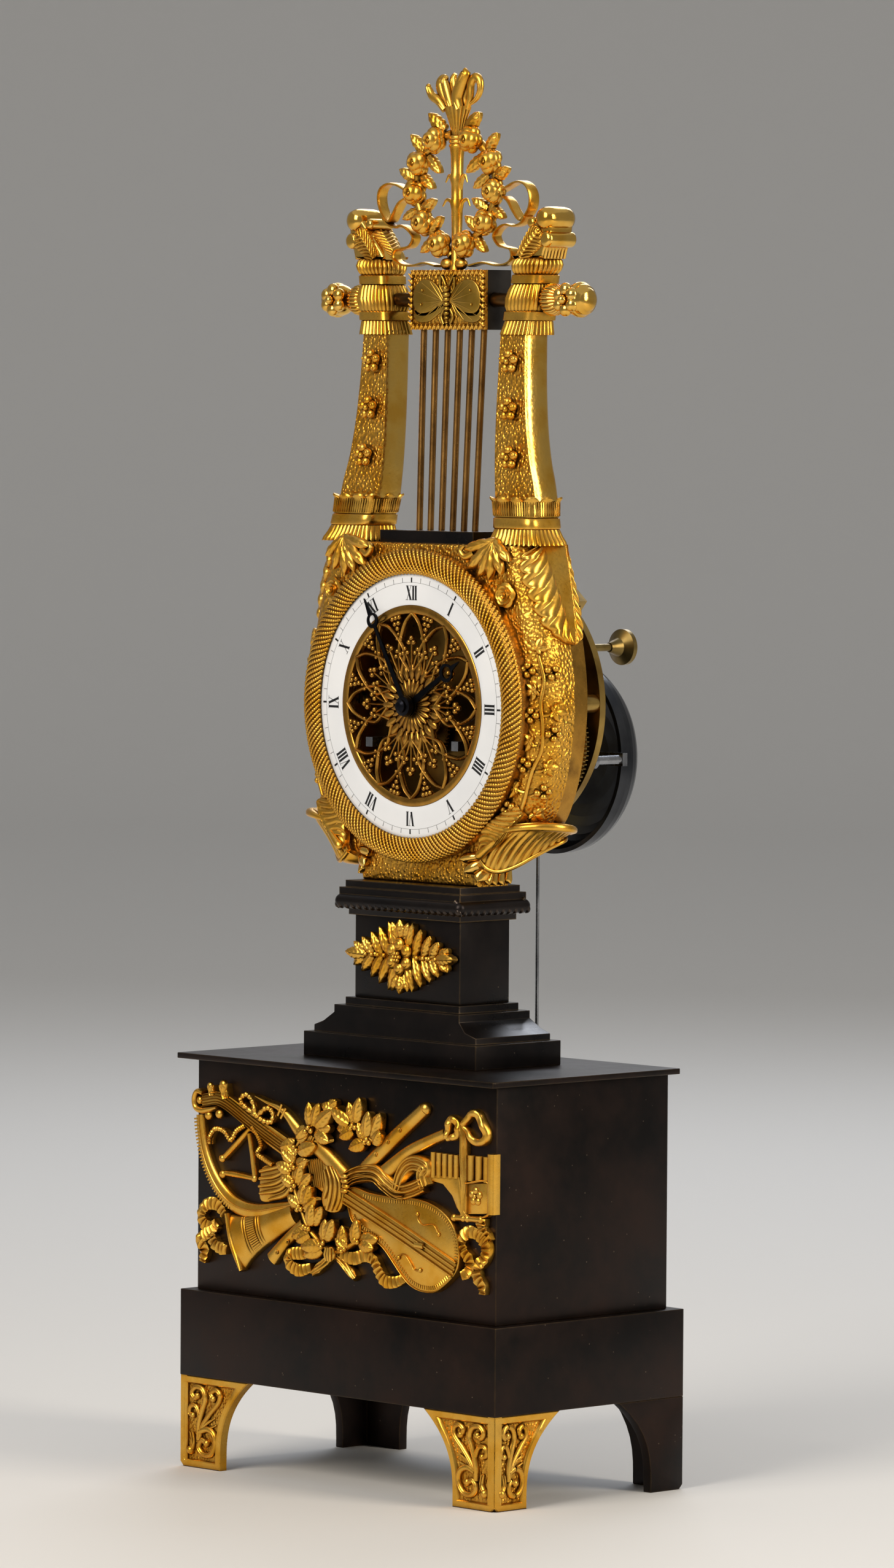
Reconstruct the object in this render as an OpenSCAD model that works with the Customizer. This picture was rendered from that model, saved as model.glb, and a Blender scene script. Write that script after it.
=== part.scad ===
// Lyre mantel clock: a gilt lyre on a dark bronze pedestal and plinth, with a
// round eight-day striking movement, a silk-hung pendulum and a bell behind.
// Millimetres. X to the right, Y to the back, Z up. The floor is at z = 0, and
// the origin is under the middle of the clock's own box, knob and all.

/* [Plinth] */
// Width of the lower plinth block
plinth_w = 154; // [144:1:170]
// Depth of the lower plinth block
plinth_d = 87.6; // [84:0.4:96]
// Height of the lower plinth block
plinth_h = 29.4; // [22:0.2:40]
// Wall of the hollow plinth and box castings
base_wall = 3; // [2.4:0.1:4]
// Width of the inner ledge that carries the upper box
ledge_w = 8; // [7:0.5:12]
// Set-back of the upper box from the plinth block, on each side
box_setback = 4.1; // [3:0.1:5]
// Height of the upper box
box_h = 78.75; // [70:0.25:90]
// Thickness of the slab on the box
slab_t = 1.95; // [1.5:0.05:4]
// Overhang of the slab at the sides
slab_side = 4.2; // [2:0.2:6]
// Overhang of the slab at the front
slab_front = 6; // [3:0.2:8]
// Overhang of the slab at the back
slab_back = 1.4; // [0.4:0.2:3]

/* [Feet] */
// Height of the feet
foot_h = 31.2; // [24:0.2:40]
// Width of a foot's front panel at the top
foot_top_w = 34; // [30:0.5:40]
// Width of a foot's front panel at the floor
foot_floor_w = 20; // [16:0.5:24]
// Width of a foot's side panel at the top
foot_top_d = 30; // [26:0.5:36]
// Width of a foot's side panel at the floor
foot_floor_d = 15; // [12:0.5:20]
// Wall of a foot
foot_wall = 3.6; // [3:0.2:6]
// How far a foot's outer edge leans in at the floor
foot_lean = 1.6; // [0.4:0.2:3]

/* [Pedestal] */
// Width of the pedestal's bottom block
ped_w = 83.9; // [78:0.5:95]
// Depth of the pedestal's bottom block
ped_d = 39.6; // [37:0.4:46]
// Height of the pedestal's bottom block
ped_block_h = 8.3; // [6:0.1:12]
// Height of the cavetto above the block
ped_cove_h = 6.9; // [5:0.1:9]
// Height of each of the two steps above the cavetto
ped_step_h = 2.6; // [2:0.1:4]
// Width of the die
die_w = 51; // [46:0.5:56]
// Depth of the die
die_d = 22.9; // [21:0.1:26]
// Height of the die
die_h = 27.9; // [24:0.1:36]
// Height of the fascia under the gadroons
fascia_h = 2.2; // [1.6:0.1:4]
// Height of the gadrooned band
gadroon_h = 4.8; // [3.6:0.1:7]
// Height of each of the two steps over the gadroons
cornice_step_h = 2.3; // [1.6:0.1:4]
// Overhang of the gadroons past the die
gadroon_out = 5.6; // [4.4:0.1:7]

/* [Lyre body] */
// Width of the lyre's base block
lyre_base_w = 56; // [50:0.5:62]
// Half width of the body at its widest
belly_w = 59.5; // [57:0.5:64]
// Height of the widest place above the pedestal
belly_h = 61; // [56:0.5:66]
// Height of the body above the pedestal
body_h = 114; // [110:0.5:120]
// Half width of the body at its top
shoulder_w = 47.5; // [44:0.5:50]
// Depth of the body
body_d = 20.6; // [18:0.2:24]
// Distance of the body's front face before the middle of the plinth
body_front = 6; // [4:0.2:8]
// Rounding of the body from the front to the sides
body_round = 6.5; // [4:0.5:8]
// Radius of the hole that takes the movement
case_bore_r = 45.2; // [44.8:0.1:47]
// Height of the dial's centre above the pedestal
dial_h = 59.6; // [57:0.2:63]

/* [Arms] */
// Width of an arm at its foot
arm_foot_w = 18.8; // [16:0.2:21]
// Width of an arm at its top
arm_top_w = 11.3; // [9:0.1:14]
// Depth of an arm
arm_d = 11; // [9:0.2:12.4]
// Height of an arm between its collars
arm_h = 53.2; // [46:0.2:60]
// Distance of an arm's foot from the middle
arm_foot_x = 37.4; // [35:0.2:41]
// Distance of an arm's top from the middle
arm_top_x = 33.4; // [31:0.2:37]
// Backward lean of the upper lyre, in degrees
lean = 2.9; // [0:0.1:4]
// Height of the leafy collars under the arms
foot_collar_h = 16.8; // [14:0.2:20]
// Outward lean of the capitals, in degrees
capital_lean = 8.8; // [0:0.2:10]
// Height of the reeded capitals that hold the cross rod
capital_h = 25.5; // [23:0.5:30]
// Height of the scrolled finials
finial_h = 17; // [12:0.5:20]
// Outward reach of the finials
finial_reach = 19; // [15:0.5:24]

/* [Cross rod, strings and crest] */
// Radius of the cross rod
rod_r = 2.4; // [2:0.1:3]
// Distance of the knobs' middles from the centre
knob_x = 57.8; // [55:0.2:64]
// Radius of the flower knobs
knob_r = 6.2; // [5:0.1:8]
// Width of the block between the arms
yoke_w = 36.5; // [32:0.5:40]
// Height of the block between the arms
yoke_h = 20; // [16:0.5:24]
// Depth of the block between the arms
yoke_d = 10.7; // [9:0.1:13]
// Thickness of the plaque on the block
plaque_t = 1.3; // [1:0.1:2]
// Width of the bar under the strings
bar_w = 45.2; // [40:0.4:50]
// Depth of the bar under the strings
bar_d = 11.2; // [10.4:0.2:12]
// Height of the bar under the strings
bar_h = 4.2; // [3:0.1:6]
// Number of strings
string_count = 6; // [4:1:8]
// Distance between two strings at the bar
string_pitch = 5.4; // [4.5:0.05:5.8]
// Widening of that distance up to the block
string_spread = 1.08; // [1:0.01:1.15]
// Radius of a string
string_r = 1.1; // [0.6:0.05:1.2]
// Height of the rose crest
crest_h = 66.3; // [60:0.5:75]
// Half width of the rose crest
crest_w = 19; // [16:0.5:24]
// Radius of a rose
rose_r = 4.3; // [3.6:0.1:5]

/* [Dial] */
// Outer radius of the bezel
bezel_r = 52.3; // [51.5:0.1:54]
// Height of the bezel's crown before the body
bezel_t = 7; // [6:0.2:9]
// Radius of the enamel ring
enamel_r = 44.4; // [44:0.1:44.6]
// Inner radius of the enamel ring
enamel_in_r = 33.8; // [31:0.2:36]
// Thickness of the enamel ring
enamel_t = 1.6; // [1.2:0.1:2.2]
// Radius of the openwork in the dial's middle
openwork_r = 31.2; // [28:0.2:33]
// Thickness of the openwork
openwork_t = 2; // [1.4:0.1:2.6]
// Length of the minute hand
minute_len = 41; // [36:0.5:43]
// Length of the hour hand
hour_len = 29; // [24:0.5:31]
// Time shown by the hands, in minutes after twelve
shown_time = 115; // [0:1:719]

/* [Movement] */
// Radius of the movement's plates
plate_r = 44.2; // [43.8:0.1:44.4]
// Thickness of the plates
plate_t = 2.6; // [2:0.1:3]
// Distance between the plates
plate_gap = 26.9; // [26.5:0.1:28]
// Distance of the front plate's face behind the body's front
movement_in = 11.4; // [10.5:0.1:12]
// Radius of a pillar
pillar_r = 3.1; // [2.6:0.1:3.2]
// Distance of the winding squares from the middle
barrel_x = 20.8; // [20.6:0.1:21.2]
// Drop of the winding squares under the dial's centre
barrel_drop = 12.8; // [12.6:0.1:13.2]
// Teeth of the going great wheel
great_teeth = 84; // [80:1:88]
// Leaves of the centre pinion
centre_leaves = 16; // [15:1:18]
// Teeth of the centre wheel
centre_teeth = 84; // [80:1:86]
// Leaves of the third pinion
third_leaves = 6; // [6:1:7]
// Teeth of the third wheel
third_teeth = 60; // [56:1:60]
// Leaves of the escape pinion
escape_leaves = 6; // [6:1:7]
// Teeth of the escape wheel
escape_teeth = 35; // [30:1:36]
// Teeth of the strike great wheel
strike_teeth = 90; // [86:1:92]
// Leaves of the pin wheel's pinion
pin_leaves = 10; // [9:1:11]
// Teeth of the pin wheel
pin_teeth = 70; // [66:1:72]
// Pins that lift the hammer
lift_pins = 10; // [8:1:12]
// Leaves of the locking wheel's pinion
locking_leaves = 7; // [6:1:8]
// Teeth of the locking wheel
locking_teeth = 56; // [50:1:58]
// Leaves of the fly pinion
fly_leaves = 7; // [6:1:8]

/* [Pendulum and bell] */
// Height of the pendulum's swinging axis above the dial's centre
swing_h = 17.8; // [17.4:0.1:18.4]
// Distance of the pendulum rod behind the middle of the plinth
pendulum_y = 49.5; // [48.8:0.1:50]
// Length of the pendulum from its axis to the middle of the bob
pendulum_len = 153.6; // [146:0.2:158]
// Radius of the bob
bob_r = 12; // [9:0.5:14]
// Thickness of the bob
bob_t = 8; // [5:0.5:8]
// Radius of the pendulum rod
pendulum_r = 0.6; // [0.45:0.05:0.7]
// Radius of the bell's mouth
bell_r = 33.7; // [32:0.1:34]
// Depth of the bell
bell_d = 17.3; // [15:0.1:19]
// Wall of the bell
bell_wall = 1.5; // [1.2:0.1:2]
// Height of the bell's middle under the dial's centre
bell_drop = 18.3; // [18:0.1:20]
// Distance of the bell's mouth behind the back plate
bell_stand_off = 18.2; // [18:0.1:20]
// Radius of the knurled regulating knob
regulator_r = 6.2; // [5:0.1:7]
// Reach of the regulating knob behind the back plate
regulator_reach = 51.5; // [50:0.1:60]

/* [Hidden] */

$fn = 64;
// Facets of the rounded shapes inside a hull
soft = 16;

// Named clearances
run_gap = 0.05;
part_gap = 0.3;
case_gap = 0.1;

// Colours as the photograph shows them
dark_bronze = "#2b211b";
gilt = "#c8962f";
pale_gilt = "#d9ad4e";
enamel_white = "#eceef0";
blue_steel = "#1d1f26";
dull_brass = "#8d7440";
bright_steel = "#8f9296";
bell_metal = "#4d4f52";
silk_colour = "#6b5a45";
string_brass = "#9a7440";

// Heights of the plinth and pedestal
plinth_top = foot_h + plinth_h;
box_top = plinth_top + box_h;
slab_top = box_top + slab_t;
ped_base_top = slab_top + ped_block_h + ped_cove_h + 2 * ped_step_h;
die_top = ped_base_top + die_h;
ped_top = die_top + fascia_h + gadroon_h + 2 * cornice_step_h;
box_w = plinth_w - 2 * box_setback;
box_d = plinth_d - 2 * box_setback;
box_front = -box_d / 2;
cornice_w = die_w + 4.8;
cornice_d = die_d + 4.8;
// How far the gilt mounts reach as drawn, and where they end on their walls
trophy_reach = 72.2;
trophy_margin = 0.7;
spray_reach = 25.5;

// The lyre's stack
dial_z = ped_top + dial_h;
body_top = ped_top + body_h;
bar_top = body_top + bar_h;
body_back = body_d - body_front;
belly_z = ped_top + belly_h;
collar_top = body_top + foot_collar_h;
arm_top = collar_top + arm_h;
capital_top = arm_top + capital_h;
arm_foot_y = 6.5;
arm_steps = 4;
function arm_y(z) = arm_foot_y + (z - collar_top) * tan(lean);
rod_z = arm_top + 0.455 * capital_h;
rod_y = arm_y(rod_z);
yoke_bottom = rod_z - yoke_h / 2;
yoke_top = rod_z + yoke_h / 2;
yoke_front = rod_y - rod_r - 0.8;
crest_y = yoke_front + 2.9;
bar_y = bar_d / 2 - 3.8;
tie_r = 2.5;
tie_y = 0;
tie_plate_t = 3;
tie_nut_h = 4;

// Levels of the dial, from the body's front face forwards
bezel_back = -body_front;
bezel_ledge_t = 1.9;
dial_plate_t = 1;
dial_plate_back = bezel_back - bezel_ledge_t;
enamel_back = dial_plate_back - dial_plate_t;
enamel_front = enamel_back - enamel_t;
hour_hand_back = enamel_front - 0.9;
hand_t = 0.6;
minute_hand_back = hour_hand_back - hand_t - 0.7;

// Levels of the movement, from the front plate backwards
front_plate_y = bezel_back + movement_in;
gap_y = front_plate_y + plate_t;
back_plate_y = gap_y + plate_gap;
back_y = back_plate_y + plate_t;
centre_wheel_y = gap_y + 1.6;
third_wheel_y = gap_y + 5;
escape_wheel_y = gap_y + 14;
pin_wheel_y = gap_y + 3.5;
locking_wheel_y = gap_y + 9;
drum_y = gap_y + 7.5;
great_wheel_y = back_plate_y - 3.7;
strike_wheel_y = back_plate_y - 6.4;
wheel_t = 1.2;

// Wheel sizes and places, as [x, z] from the dial's centre line
centre = [0, dial_z];
barrel = [barrel_x, dial_z - barrel_drop];
strike_barrel_at = [-barrel_x, dial_z - barrel_drop];
great_module = 2 * norm(barrel - centre) / (great_teeth + centre_leaves);
centre_module = 0.28;
third_module = 0.25;
strike_module = 0.44;
pin_module = 0.3;
locking_module = 0.26;
motion_distance = 10.08;
function polar(p, r, a) = [p[0] + r * cos(a), p[1] + r * sin(a)];
function reach(a, b, m) = (a + b) * m / 2;
third_angle = 35;
third = polar(centre, reach(centre_teeth, third_leaves, centre_module), third_angle);
swing = [0, dial_z + swing_h];
escape_r = 7;
pallet_span = 40;
escape_reach = escape_r / cos(pallet_span);
// The right-hand crossing of two circles
function crossing(p, rp, q, rq) =
    let (d = norm(q - p), a = (rp * rp - rq * rq + d * d) / (2 * d),
        h = sqrt(rp * rp - a * a), u = (q - p) / d)
    p + a * u + h * [-u[1], u[0]];
escape = crossing(swing, escape_reach, third, reach(third_teeth, escape_leaves, third_module));
pin_angle = 92.5;
pin_at = polar(strike_barrel_at, reach(strike_teeth, pin_leaves, strike_module), pin_angle);
locking_angle = 50;
locking_at = polar(pin_at, reach(pin_teeth, locking_leaves, pin_module), locking_angle);
fly_angle = 100;
fly_at = polar(locking_at, reach(locking_teeth, fly_leaves, locking_module), fly_angle);
minute_angle = 250;
minute_at = polar(centre, motion_distance, minute_angle);
cannon_teeth = 12;
minute_teeth = 36;
minute_leaves = 10;
hour_teeth = 40;
cannon_module = 2 * motion_distance / (cannon_teeth + minute_teeth);
hour_module = 2 * motion_distance / (minute_leaves + hour_teeth);
pin_circle_r = 8.6;
lift_pin_r = 0.45;
hammer_at = polar(pin_at, 12.6, 168);
hammer_head_at = [-24.5, dial_z - 5.8];
pillar_ring_r = plate_r - pillar_r - 0.1;
pillar_angles = [1.5, 88, 178.5, 270];
strap_angles = [50, 230];
strap_r = case_bore_r + 2.2;
barrel_drum_r = 16;
barrel_arbor_r = 2;
arbor_r = 1;
fine_r = 0.6;
pivot_r = 0.4;
cannon_r = 1.5;
hour_pipe_r = 2.2;

// Phase that puts a follower's gap on its driver's tooth, seen along the line a
function meshed(a, driver, n_driver, n) = a + 180 + 180 / n + (a - driver) * n_driver / n;
centre_phase = 0;
great_phase = meshed(180 + atan2(centre[1] - barrel[1], centre[0] - barrel[0]), centre_phase,
    centre_leaves, great_teeth);
third_phase = meshed(third_angle, centre_phase, centre_teeth, third_leaves);
escape_angle = atan2(escape[1] - third[1], escape[0] - third[0]);
escape_phase = meshed(escape_angle, third_phase, third_teeth, escape_leaves);
pin_phase = meshed(pin_angle, 0, strike_teeth, pin_leaves);
locking_phase = meshed(locking_angle, pin_phase, pin_teeth, locking_leaves);
fly_phase = meshed(fly_angle, locking_phase, locking_teeth, fly_leaves);
minute_phase = meshed(minute_angle, 0, cannon_teeth, minute_teeth);
hour_phase = meshed(minute_angle + 180, minute_phase, minute_leaves, hour_teeth);

// Depth of the whole clock, which sets where its middle lies
clock_front = box_front - slab_front;
clock_back = back_y + regulator_reach + 1.5;
frame_shift = -(clock_front + clock_back) / 2;

// Places a piece in the clock's own frame
module placed() {
    translate([0, frame_shift, 0]) children();
}

// A rectangular block centred on x and y, from height z0 to z1
module slab_block(w, d, z0, z1, y = 0) {
    translate([-w / 2, y - d / 2, z0]) cube([w, d, z1 - z0]);
}

// A drawing in the upright plane, from depth y0 backwards
module upright(y0, t) {
    translate([0, y0 + t, 0]) rotate([90, 0, 0]) linear_extrude(height = t) children();
}

// A drawing in the upright side plane, from x0 to the right
module sideways(x0, t) {
    translate([x0, 0, 0]) rotate([90, 0, 90]) linear_extrude(height = t) children();
}

// A shape turned about an axis that runs to the back through p
module turned(p, y0 = 0) {
    translate([p[0], y0, p[1]]) rotate([-90, 0, 0]) rotate_extrude() children();
}

// A round rod that runs to the back, from y0 to y1
module rod_y_dir(p, r, y0, y1) {
    translate([p[0], y0, p[1]]) rotate([-90, 0, 0]) cylinder(r = r, h = y1 - y0);
}

// A rectangle with rounded corners
module round_rect(w, d, r) {
    square([w - 2 * r, d], center = true);
    square([w, d - 2 * r], center = true);
    for (x = [-1, 1], y = [-1, 1])
        translate([x * (w / 2 - r), y * (d / 2 - r)]) circle(r = r);
}

// A thin slice of a rounded section, for hulls
module slice(w, d, r, h) {
    linear_extrude(height = h) round_rect(w, d, r, $fn = soft);
}

// The toothed outline of a wheel or pinion, slim enough to run free
module toothed(n, m, phase, tip, deep, root_k, mid_k, tip_k) {
    rp = n * m / 2;
    a = 360 / n;
    polygon([for (i = [0:n - 1]) for (c = [[rp - deep * m, -root_k], [rp, -mid_k],
            [rp + tip * m, -tip_k], [rp + tip * m, tip_k], [rp, mid_k], [rp - deep * m, root_k]])
        [c[0] * cos(phase + (i + c[1]) * a), c[0] * sin(phase + (i + c[1]) * a)]]);
}

module wheel_outline(n, m, phase) {
    toothed(n, m, phase, 0.9, 1.3, 0.27, 0.205, 0.09);
}

module pinion_outline(n, m, phase) {
    toothed(n, m, phase, 0.7, 1.35, 0.2, 0.19, 0.09);
}

// A spoked wheel blank in the upright plane, to be toothed at its rim
module crossed_wheel(p, y0, n, m, phase, hub_r, arms) {
    rim_r = n * m / 2 - 2.6 * m - 1.1;
    upright(y0, wheel_t) translate(p) difference() {
        wheel_outline(n, m, phase);
        difference() {
            circle(r = rim_r);
            circle(r = hub_r);
            for (i = [0:arms - 1]) rotate(phase + i * 360 / arms)
                translate([0, -0.6]) square([rim_r + 1, 1.2]);
        }
    }
}

module pinion(p, y0, y1, n, m, phase) {
    upright(y0, y1 - y0) translate(p) pinion_outline(n, m, phase);
}

// An arbor with a pivot in each plate, thicker from y0 backwards
module arbor(p, y0) {
    rod_y_dir(p, fine_r, y0, back_plate_y - part_gap);
    rod_y_dir(p, pivot_r, front_plate_y + 0.4, back_y - 0.2);
}

// The plinth block: four walls and a ledge under the upper box
module base_band() color(dark_bronze) placed() {
    difference() {
        slab_block(plinth_w, plinth_d, foot_h, plinth_top);
        slab_block(plinth_w - 2 * base_wall, plinth_d - 2 * base_wall, foot_h - 1,
            plinth_top - base_wall);
        slab_block(box_w - 2 * ledge_w, box_d - 2 * ledge_w, foot_h - 1, plinth_top + 1);
    }
}

// The upper box: four walls under a drilled top
module base_box() color(dark_bronze) placed() {
    difference() {
        slab_block(box_w, box_d, plinth_top, box_top);
        slab_block(box_w - 2 * base_wall, box_d - 2 * base_wall, plinth_top - 1,
            box_top - base_wall);
        tie_hole(box_top);
    }
}

module base_top_slab() color(dark_bronze) placed() {
    difference() {
        translate([-box_w / 2 - slab_side, box_front - slab_front, box_top])
            cube([box_w + 2 * slab_side, box_d + slab_front + slab_back, slab_t]);
        tie_hole(slab_top);
    }
}

// A foot stands under one corner, its panels along the front and the side
module foot(side, back) {
    mirror([side < 0 ? 0 : 1, 0, 0]) mirror([0, back, 0])
        translate([-plinth_w / 2, -plinth_d / 2, 0]) {
            translate([0, foot_wall, 0]) rotate([90, 0, 0])
                linear_extrude(height = foot_wall) foot_outline(foot_top_w, foot_floor_w);
            rotate([90, 0, 90])
                linear_extrude(height = foot_wall) foot_outline(foot_top_d, foot_floor_d);
        }
}

module foot_outline(top_w, floor_w) {
    steps = 7;
    polygon(concat([[0, foot_h], [0, foot_lean], [foot_lean, 0], [floor_w, 0]],
        [for (i = [0:steps]) [floor_w + (top_w - floor_w) * pow(i / steps, 2.6),
            foot_h * (0.12 + 0.88 * i / steps)]]));
}

module front_left_foot() color(gilt) placed() foot(-1, 0);
module front_right_foot() color(gilt) placed() foot(1, 0);
module rear_left_foot() color(dark_bronze) placed() foot(-1, 1);
module rear_right_foot() color(dark_bronze) placed() foot(1, 1);

// The hole for the tie rod through everything that it clamps
module tie_hole(z) {
    translate([0, tie_y, z - 60]) cylinder(r = tie_r + part_gap, h = 120);
}
// The tie rod, its nut and the iron bar that it pulls up against the ledge
module tie_rod() color(bright_steel) placed() {
    under = plinth_top - base_wall;
    translate([0, tie_y, under - tie_plate_t - tie_nut_h - 3])
        cylinder(r = tie_r, h = ped_top + 7 - (under - tie_plate_t - tie_nut_h - 3));
    difference() {
        slab_block(box_w - 6, 14, under - tie_plate_t, under, tie_y);
        tie_hole(under);
    }
    translate([0, tie_y, under - tie_plate_t - tie_nut_h - run_gap]) difference() {
        cylinder(r = 4.6, h = tie_nut_h, $fn = 6);
        translate([0, 0, -1]) cylinder(r = tie_r + case_gap, h = tie_nut_h + 2);
    }
}

// Pedestal base: block, fillet, cavetto and two steps
module pedestal_base() color(dark_bronze) placed() {
    z1 = slab_top + ped_block_h;
    z2 = z1 + ped_cove_h;
    step1 = [die_w + 10, die_d + 10];
    difference() {
        union() {
            slab_block(ped_w, ped_d, slab_top, z1);
            hull() {
                slab_block(ped_w - 5, ped_d - 5, z1 - 0.1, z1 + 2.2);
                slab_block(step1[0] + 8, step1[1] + 2.5, z1, z1 + ped_cove_h * 0.55);
            }
            hull() {
                slab_block(step1[0] + 8, step1[1] + 2.5, z1, z1 + ped_cove_h * 0.55);
                slab_block(step1[0], step1[1], z1, z2);
            }
            slab_block(step1[0], step1[1], z2 - 0.1, z2 + ped_step_h);
            slab_block(die_w + 4.6, die_d + 4.6, z2, ped_base_top);
        }
        tie_hole(slab_top + 30);
    }
}

module pedestal_die() color(dark_bronze) placed() {
    difference() {
        slab_block(die_w, die_d, ped_base_top, die_top);
        tie_hole(die_top - 20);
    }
}

// Cornice: fascia, a half-round band for the gadroons, and two steps
module pedestal_cornice() color(dark_bronze) placed() {
    w = die_w + 2 * gadroon_out;
    d = die_d + 2 * gadroon_out;
    r = gadroon_h / 2;
    zb = die_top + fascia_h;
    difference() {
        union() {
            slab_block(die_w + 3.2, die_d + 3.2, die_top, zb + 0.5);
            slab_block(w - 2 * r, d - 2 * r, zb, zb + gadroon_h);
            for (s = [-1, 1]) {
                translate([-w / 2 + r, s * (d / 2 - r), zb + r]) rotate([0, 90, 0])
                    cylinder(r = r, h = w - 2 * r);
                translate([s * (w / 2 - r), -d / 2 + r, zb + r]) rotate([-90, 0, 0])
                    cylinder(r = r, h = d - 2 * r);
                for (q = [-1, 1]) translate([s * (w / 2 - r), q * (d / 2 - r), zb + r])
                    sphere(r = r);
            }
            slab_block(cornice_w + 3, cornice_d + 3, zb + gadroon_h - 0.5,
                zb + gadroon_h + cornice_step_h);
            slab_block(cornice_w, cornice_d, zb + gadroon_h, ped_top);
        }
        tie_hole(ped_top - 20);
    }
}

// A gilt leaf laid on a wall that faces the front, from p to q
module relief_leaf(p, q, w, t, y0) {
    m = (p + q) / 2;
    hull() {
        on_wall(p, 0.3, t * 0.5, y0);
        on_wall(m, w, t, y0);
        on_wall(q, 0.3, t * 0.5, y0);
    }
}

// A round boss on a wall that faces the front; $across widens the whole relief with its wall
module on_wall(p, r, t, y0) {
    translate([p[0] * $across, y0, p[1]]) rotate([90, 0, 0])
        cylinder(r1 = r * $across, r2 = r * $across * 0.7, h = t, $fn = 8);
}

module relief_bar(p, q, r1, r2, t, y0) {
    hull() {
        on_wall(p, r1, t, y0);
        on_wall(q, r2, t, y0);
    }
}

// Crossed sprays of leaves round a flower, on the die's front
module leaf_spray_mount() color(pale_gilt) placed() {
    $across = die_w / 2 / spray_reach;
    y0 = -die_d / 2;
    zc = ped_base_top + die_h / 2 + 1;
    on_wall([0, zc], 6, 3.4, y0);
    for (s = [-1, 1]) {
        relief_leaf([s * 20, zc], [s * 25.5, zc + 0.5], 2.4, 2.4, y0);
        relief_leaf([0, zc + s * 3], [0, zc + s * 12.6], 2.8, 2.6, y0);
        for (i = [0:4]) for (q = [-1, 1])
            relief_leaf([s * (2 + 4.1 * i), zc], [s * (5 + 4.4 * i), zc + q * (10.5 - 1.9 * i)],
                2.1, 2.4, y0);
        relief_bar([0, zc], [s * 22, zc], 1.2, 0.8, 3, y0);
    }
}

// The musical trophy on the box's front: harp, pipes, lute, wreath and ribbons
module trophy_mount() color(gilt) placed() {
    $across = (box_w / 2 - trophy_margin) / trophy_reach;
    y0 = box_front;
    zb = plinth_top;
    // Harp: neck, curved soundbox and bow
    relief_bar([-69, zb + 64.5], [-56, zb + 67], 3.2, 2.6, 4, y0);
    relief_bar([-56, zb + 67], [-18, zb + 46], 2.6, 3.2, 3.6, y0);
    harp = [[-70.4, 60], [-69, 47], [-64, 36], [-55, 28.5], [-42, 27.5], [-26, 31]];
    for (i = [0:len(harp) - 2])
        relief_bar([harp[i][0], zb + harp[i][1]], [harp[i + 1][0], zb + harp[i + 1][1]],
            1.8 + 0.3 * i, 2.1 + 0.3 * i, 3.4, y0);
    relief_bar([-44, zb + 56], [-59, zb + 42], 0.8, 0.8, 2, y0);
    relief_bar([-44, zb + 56], [-40, zb + 34], 0.8, 0.8, 2, y0);
    relief_bar([-40, zb + 34], [-57, zb + 36], 0.8, 0.8, 2, y0);
    // Hunting horn with its flared mouth
    relief_bar([-48, zb + 17], [-13, zb + 27], 8.2, 4, 4, y0);
    relief_bar([-53, zb + 25], [-47, zb + 4], 3, 3, 4, y0);
    // Oboe, flutes and the short pipe
    relief_bar([-40, zb + 67], [-20, zb + 57], 1, 4, 3, y0);
    relief_bar([-20, zb + 57], [4, zb + 36], 4, 5.2, 3.4, y0);
    relief_bar([8, zb + 43], [39, zb + 69], 3, 3.2, 2.6, y0);
    relief_bar([17, zb + 43], [51, zb + 60], 3, 2.4, 2.8, y0);
    relief_bar([-33, zb + 14], [-19, zb + 26], 4.2, 3.4, 3, y0);
    // Lute
    hull() {
        on_wall([34, zb + 23], 13.5, 4, y0);
        on_wall([43, zb + 12], 9.5, 4, y0);
        on_wall([9, zb + 40], 3, 3.4, y0);
    }
    relief_bar([3, zb + 40], [49, zb + 15], 2.2, 2.6, 5, y0);
    // Reed pipes
    hull() {
        on_wall([46.5, zb + 51], 2, 3.4, y0);
        on_wall([70, zb + 52], 2, 3.4, y0);
        on_wall([57, zb + 36], 2, 3.4, y0);
        on_wall([70, zb + 29], 2, 3.4, y0);
    }
    relief_bar([61, zb + 52], [62, zb + 62], 2.2, 2.6, 3, y0);
    // Drapery knot
    relief_bar([5, zb + 43], [24, zb + 41], 2.6, 3.4, 3.6, y0);
    relief_bar([24, zb + 41], [40, zb + 49], 3.4, 4.2, 3.4, y0);
    relief_bar([-36, zb + 37], [-12, zb + 44], 5.5, 3, 3, y0);
    // Wreath of bay leaves
    wreath = [[-2, 66], [-14, 58], [-17, 48], [-18, 37], [-14, 25], [-8, 15], [4, 11], [12, 17]];
    for (i = [0:len(wreath) - 2]) {
        relief_bar([wreath[i][0], zb + wreath[i][1]], [wreath[i + 1][0], zb + wreath[i + 1][1]],
            3.6, 3.6, 3.8, y0);
    }
    relief_bar([2, zb + 64], [18, zb + 54], 4, 4, 3.2, y0);
    relief_bar([14, zb + 64], [19, zb + 58], 3, 3, 3, y0);
    // Ribbons
    relief_bar([-65, zb + 26], [-62, zb + 13], 4.6, 3.2, 2.2, y0);
    relief_bar([-62, zb + 13], [-68, zb + 3], 2, 1.2, 2, y0);
    relief_bar([-23, zb + 7], [8, zb + 9], 3.6, 3, 2.2, y0);
    relief_bar([16, zb + 11], [27, zb + 4], 2.6, 2.4, 2.2, y0);
    relief_bar([61, zb + 18], [63, zb + 8], 3.6, 2.2, 2.2, y0);
    relief_bar([67, zb + 27], [69.5, zb + 4], 2.6, 1.6, 2.4, y0);
    relief_bar([52, zb + 61], [70, zb + 60], 3.2, 2.6, 2.6, y0);
}

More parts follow.
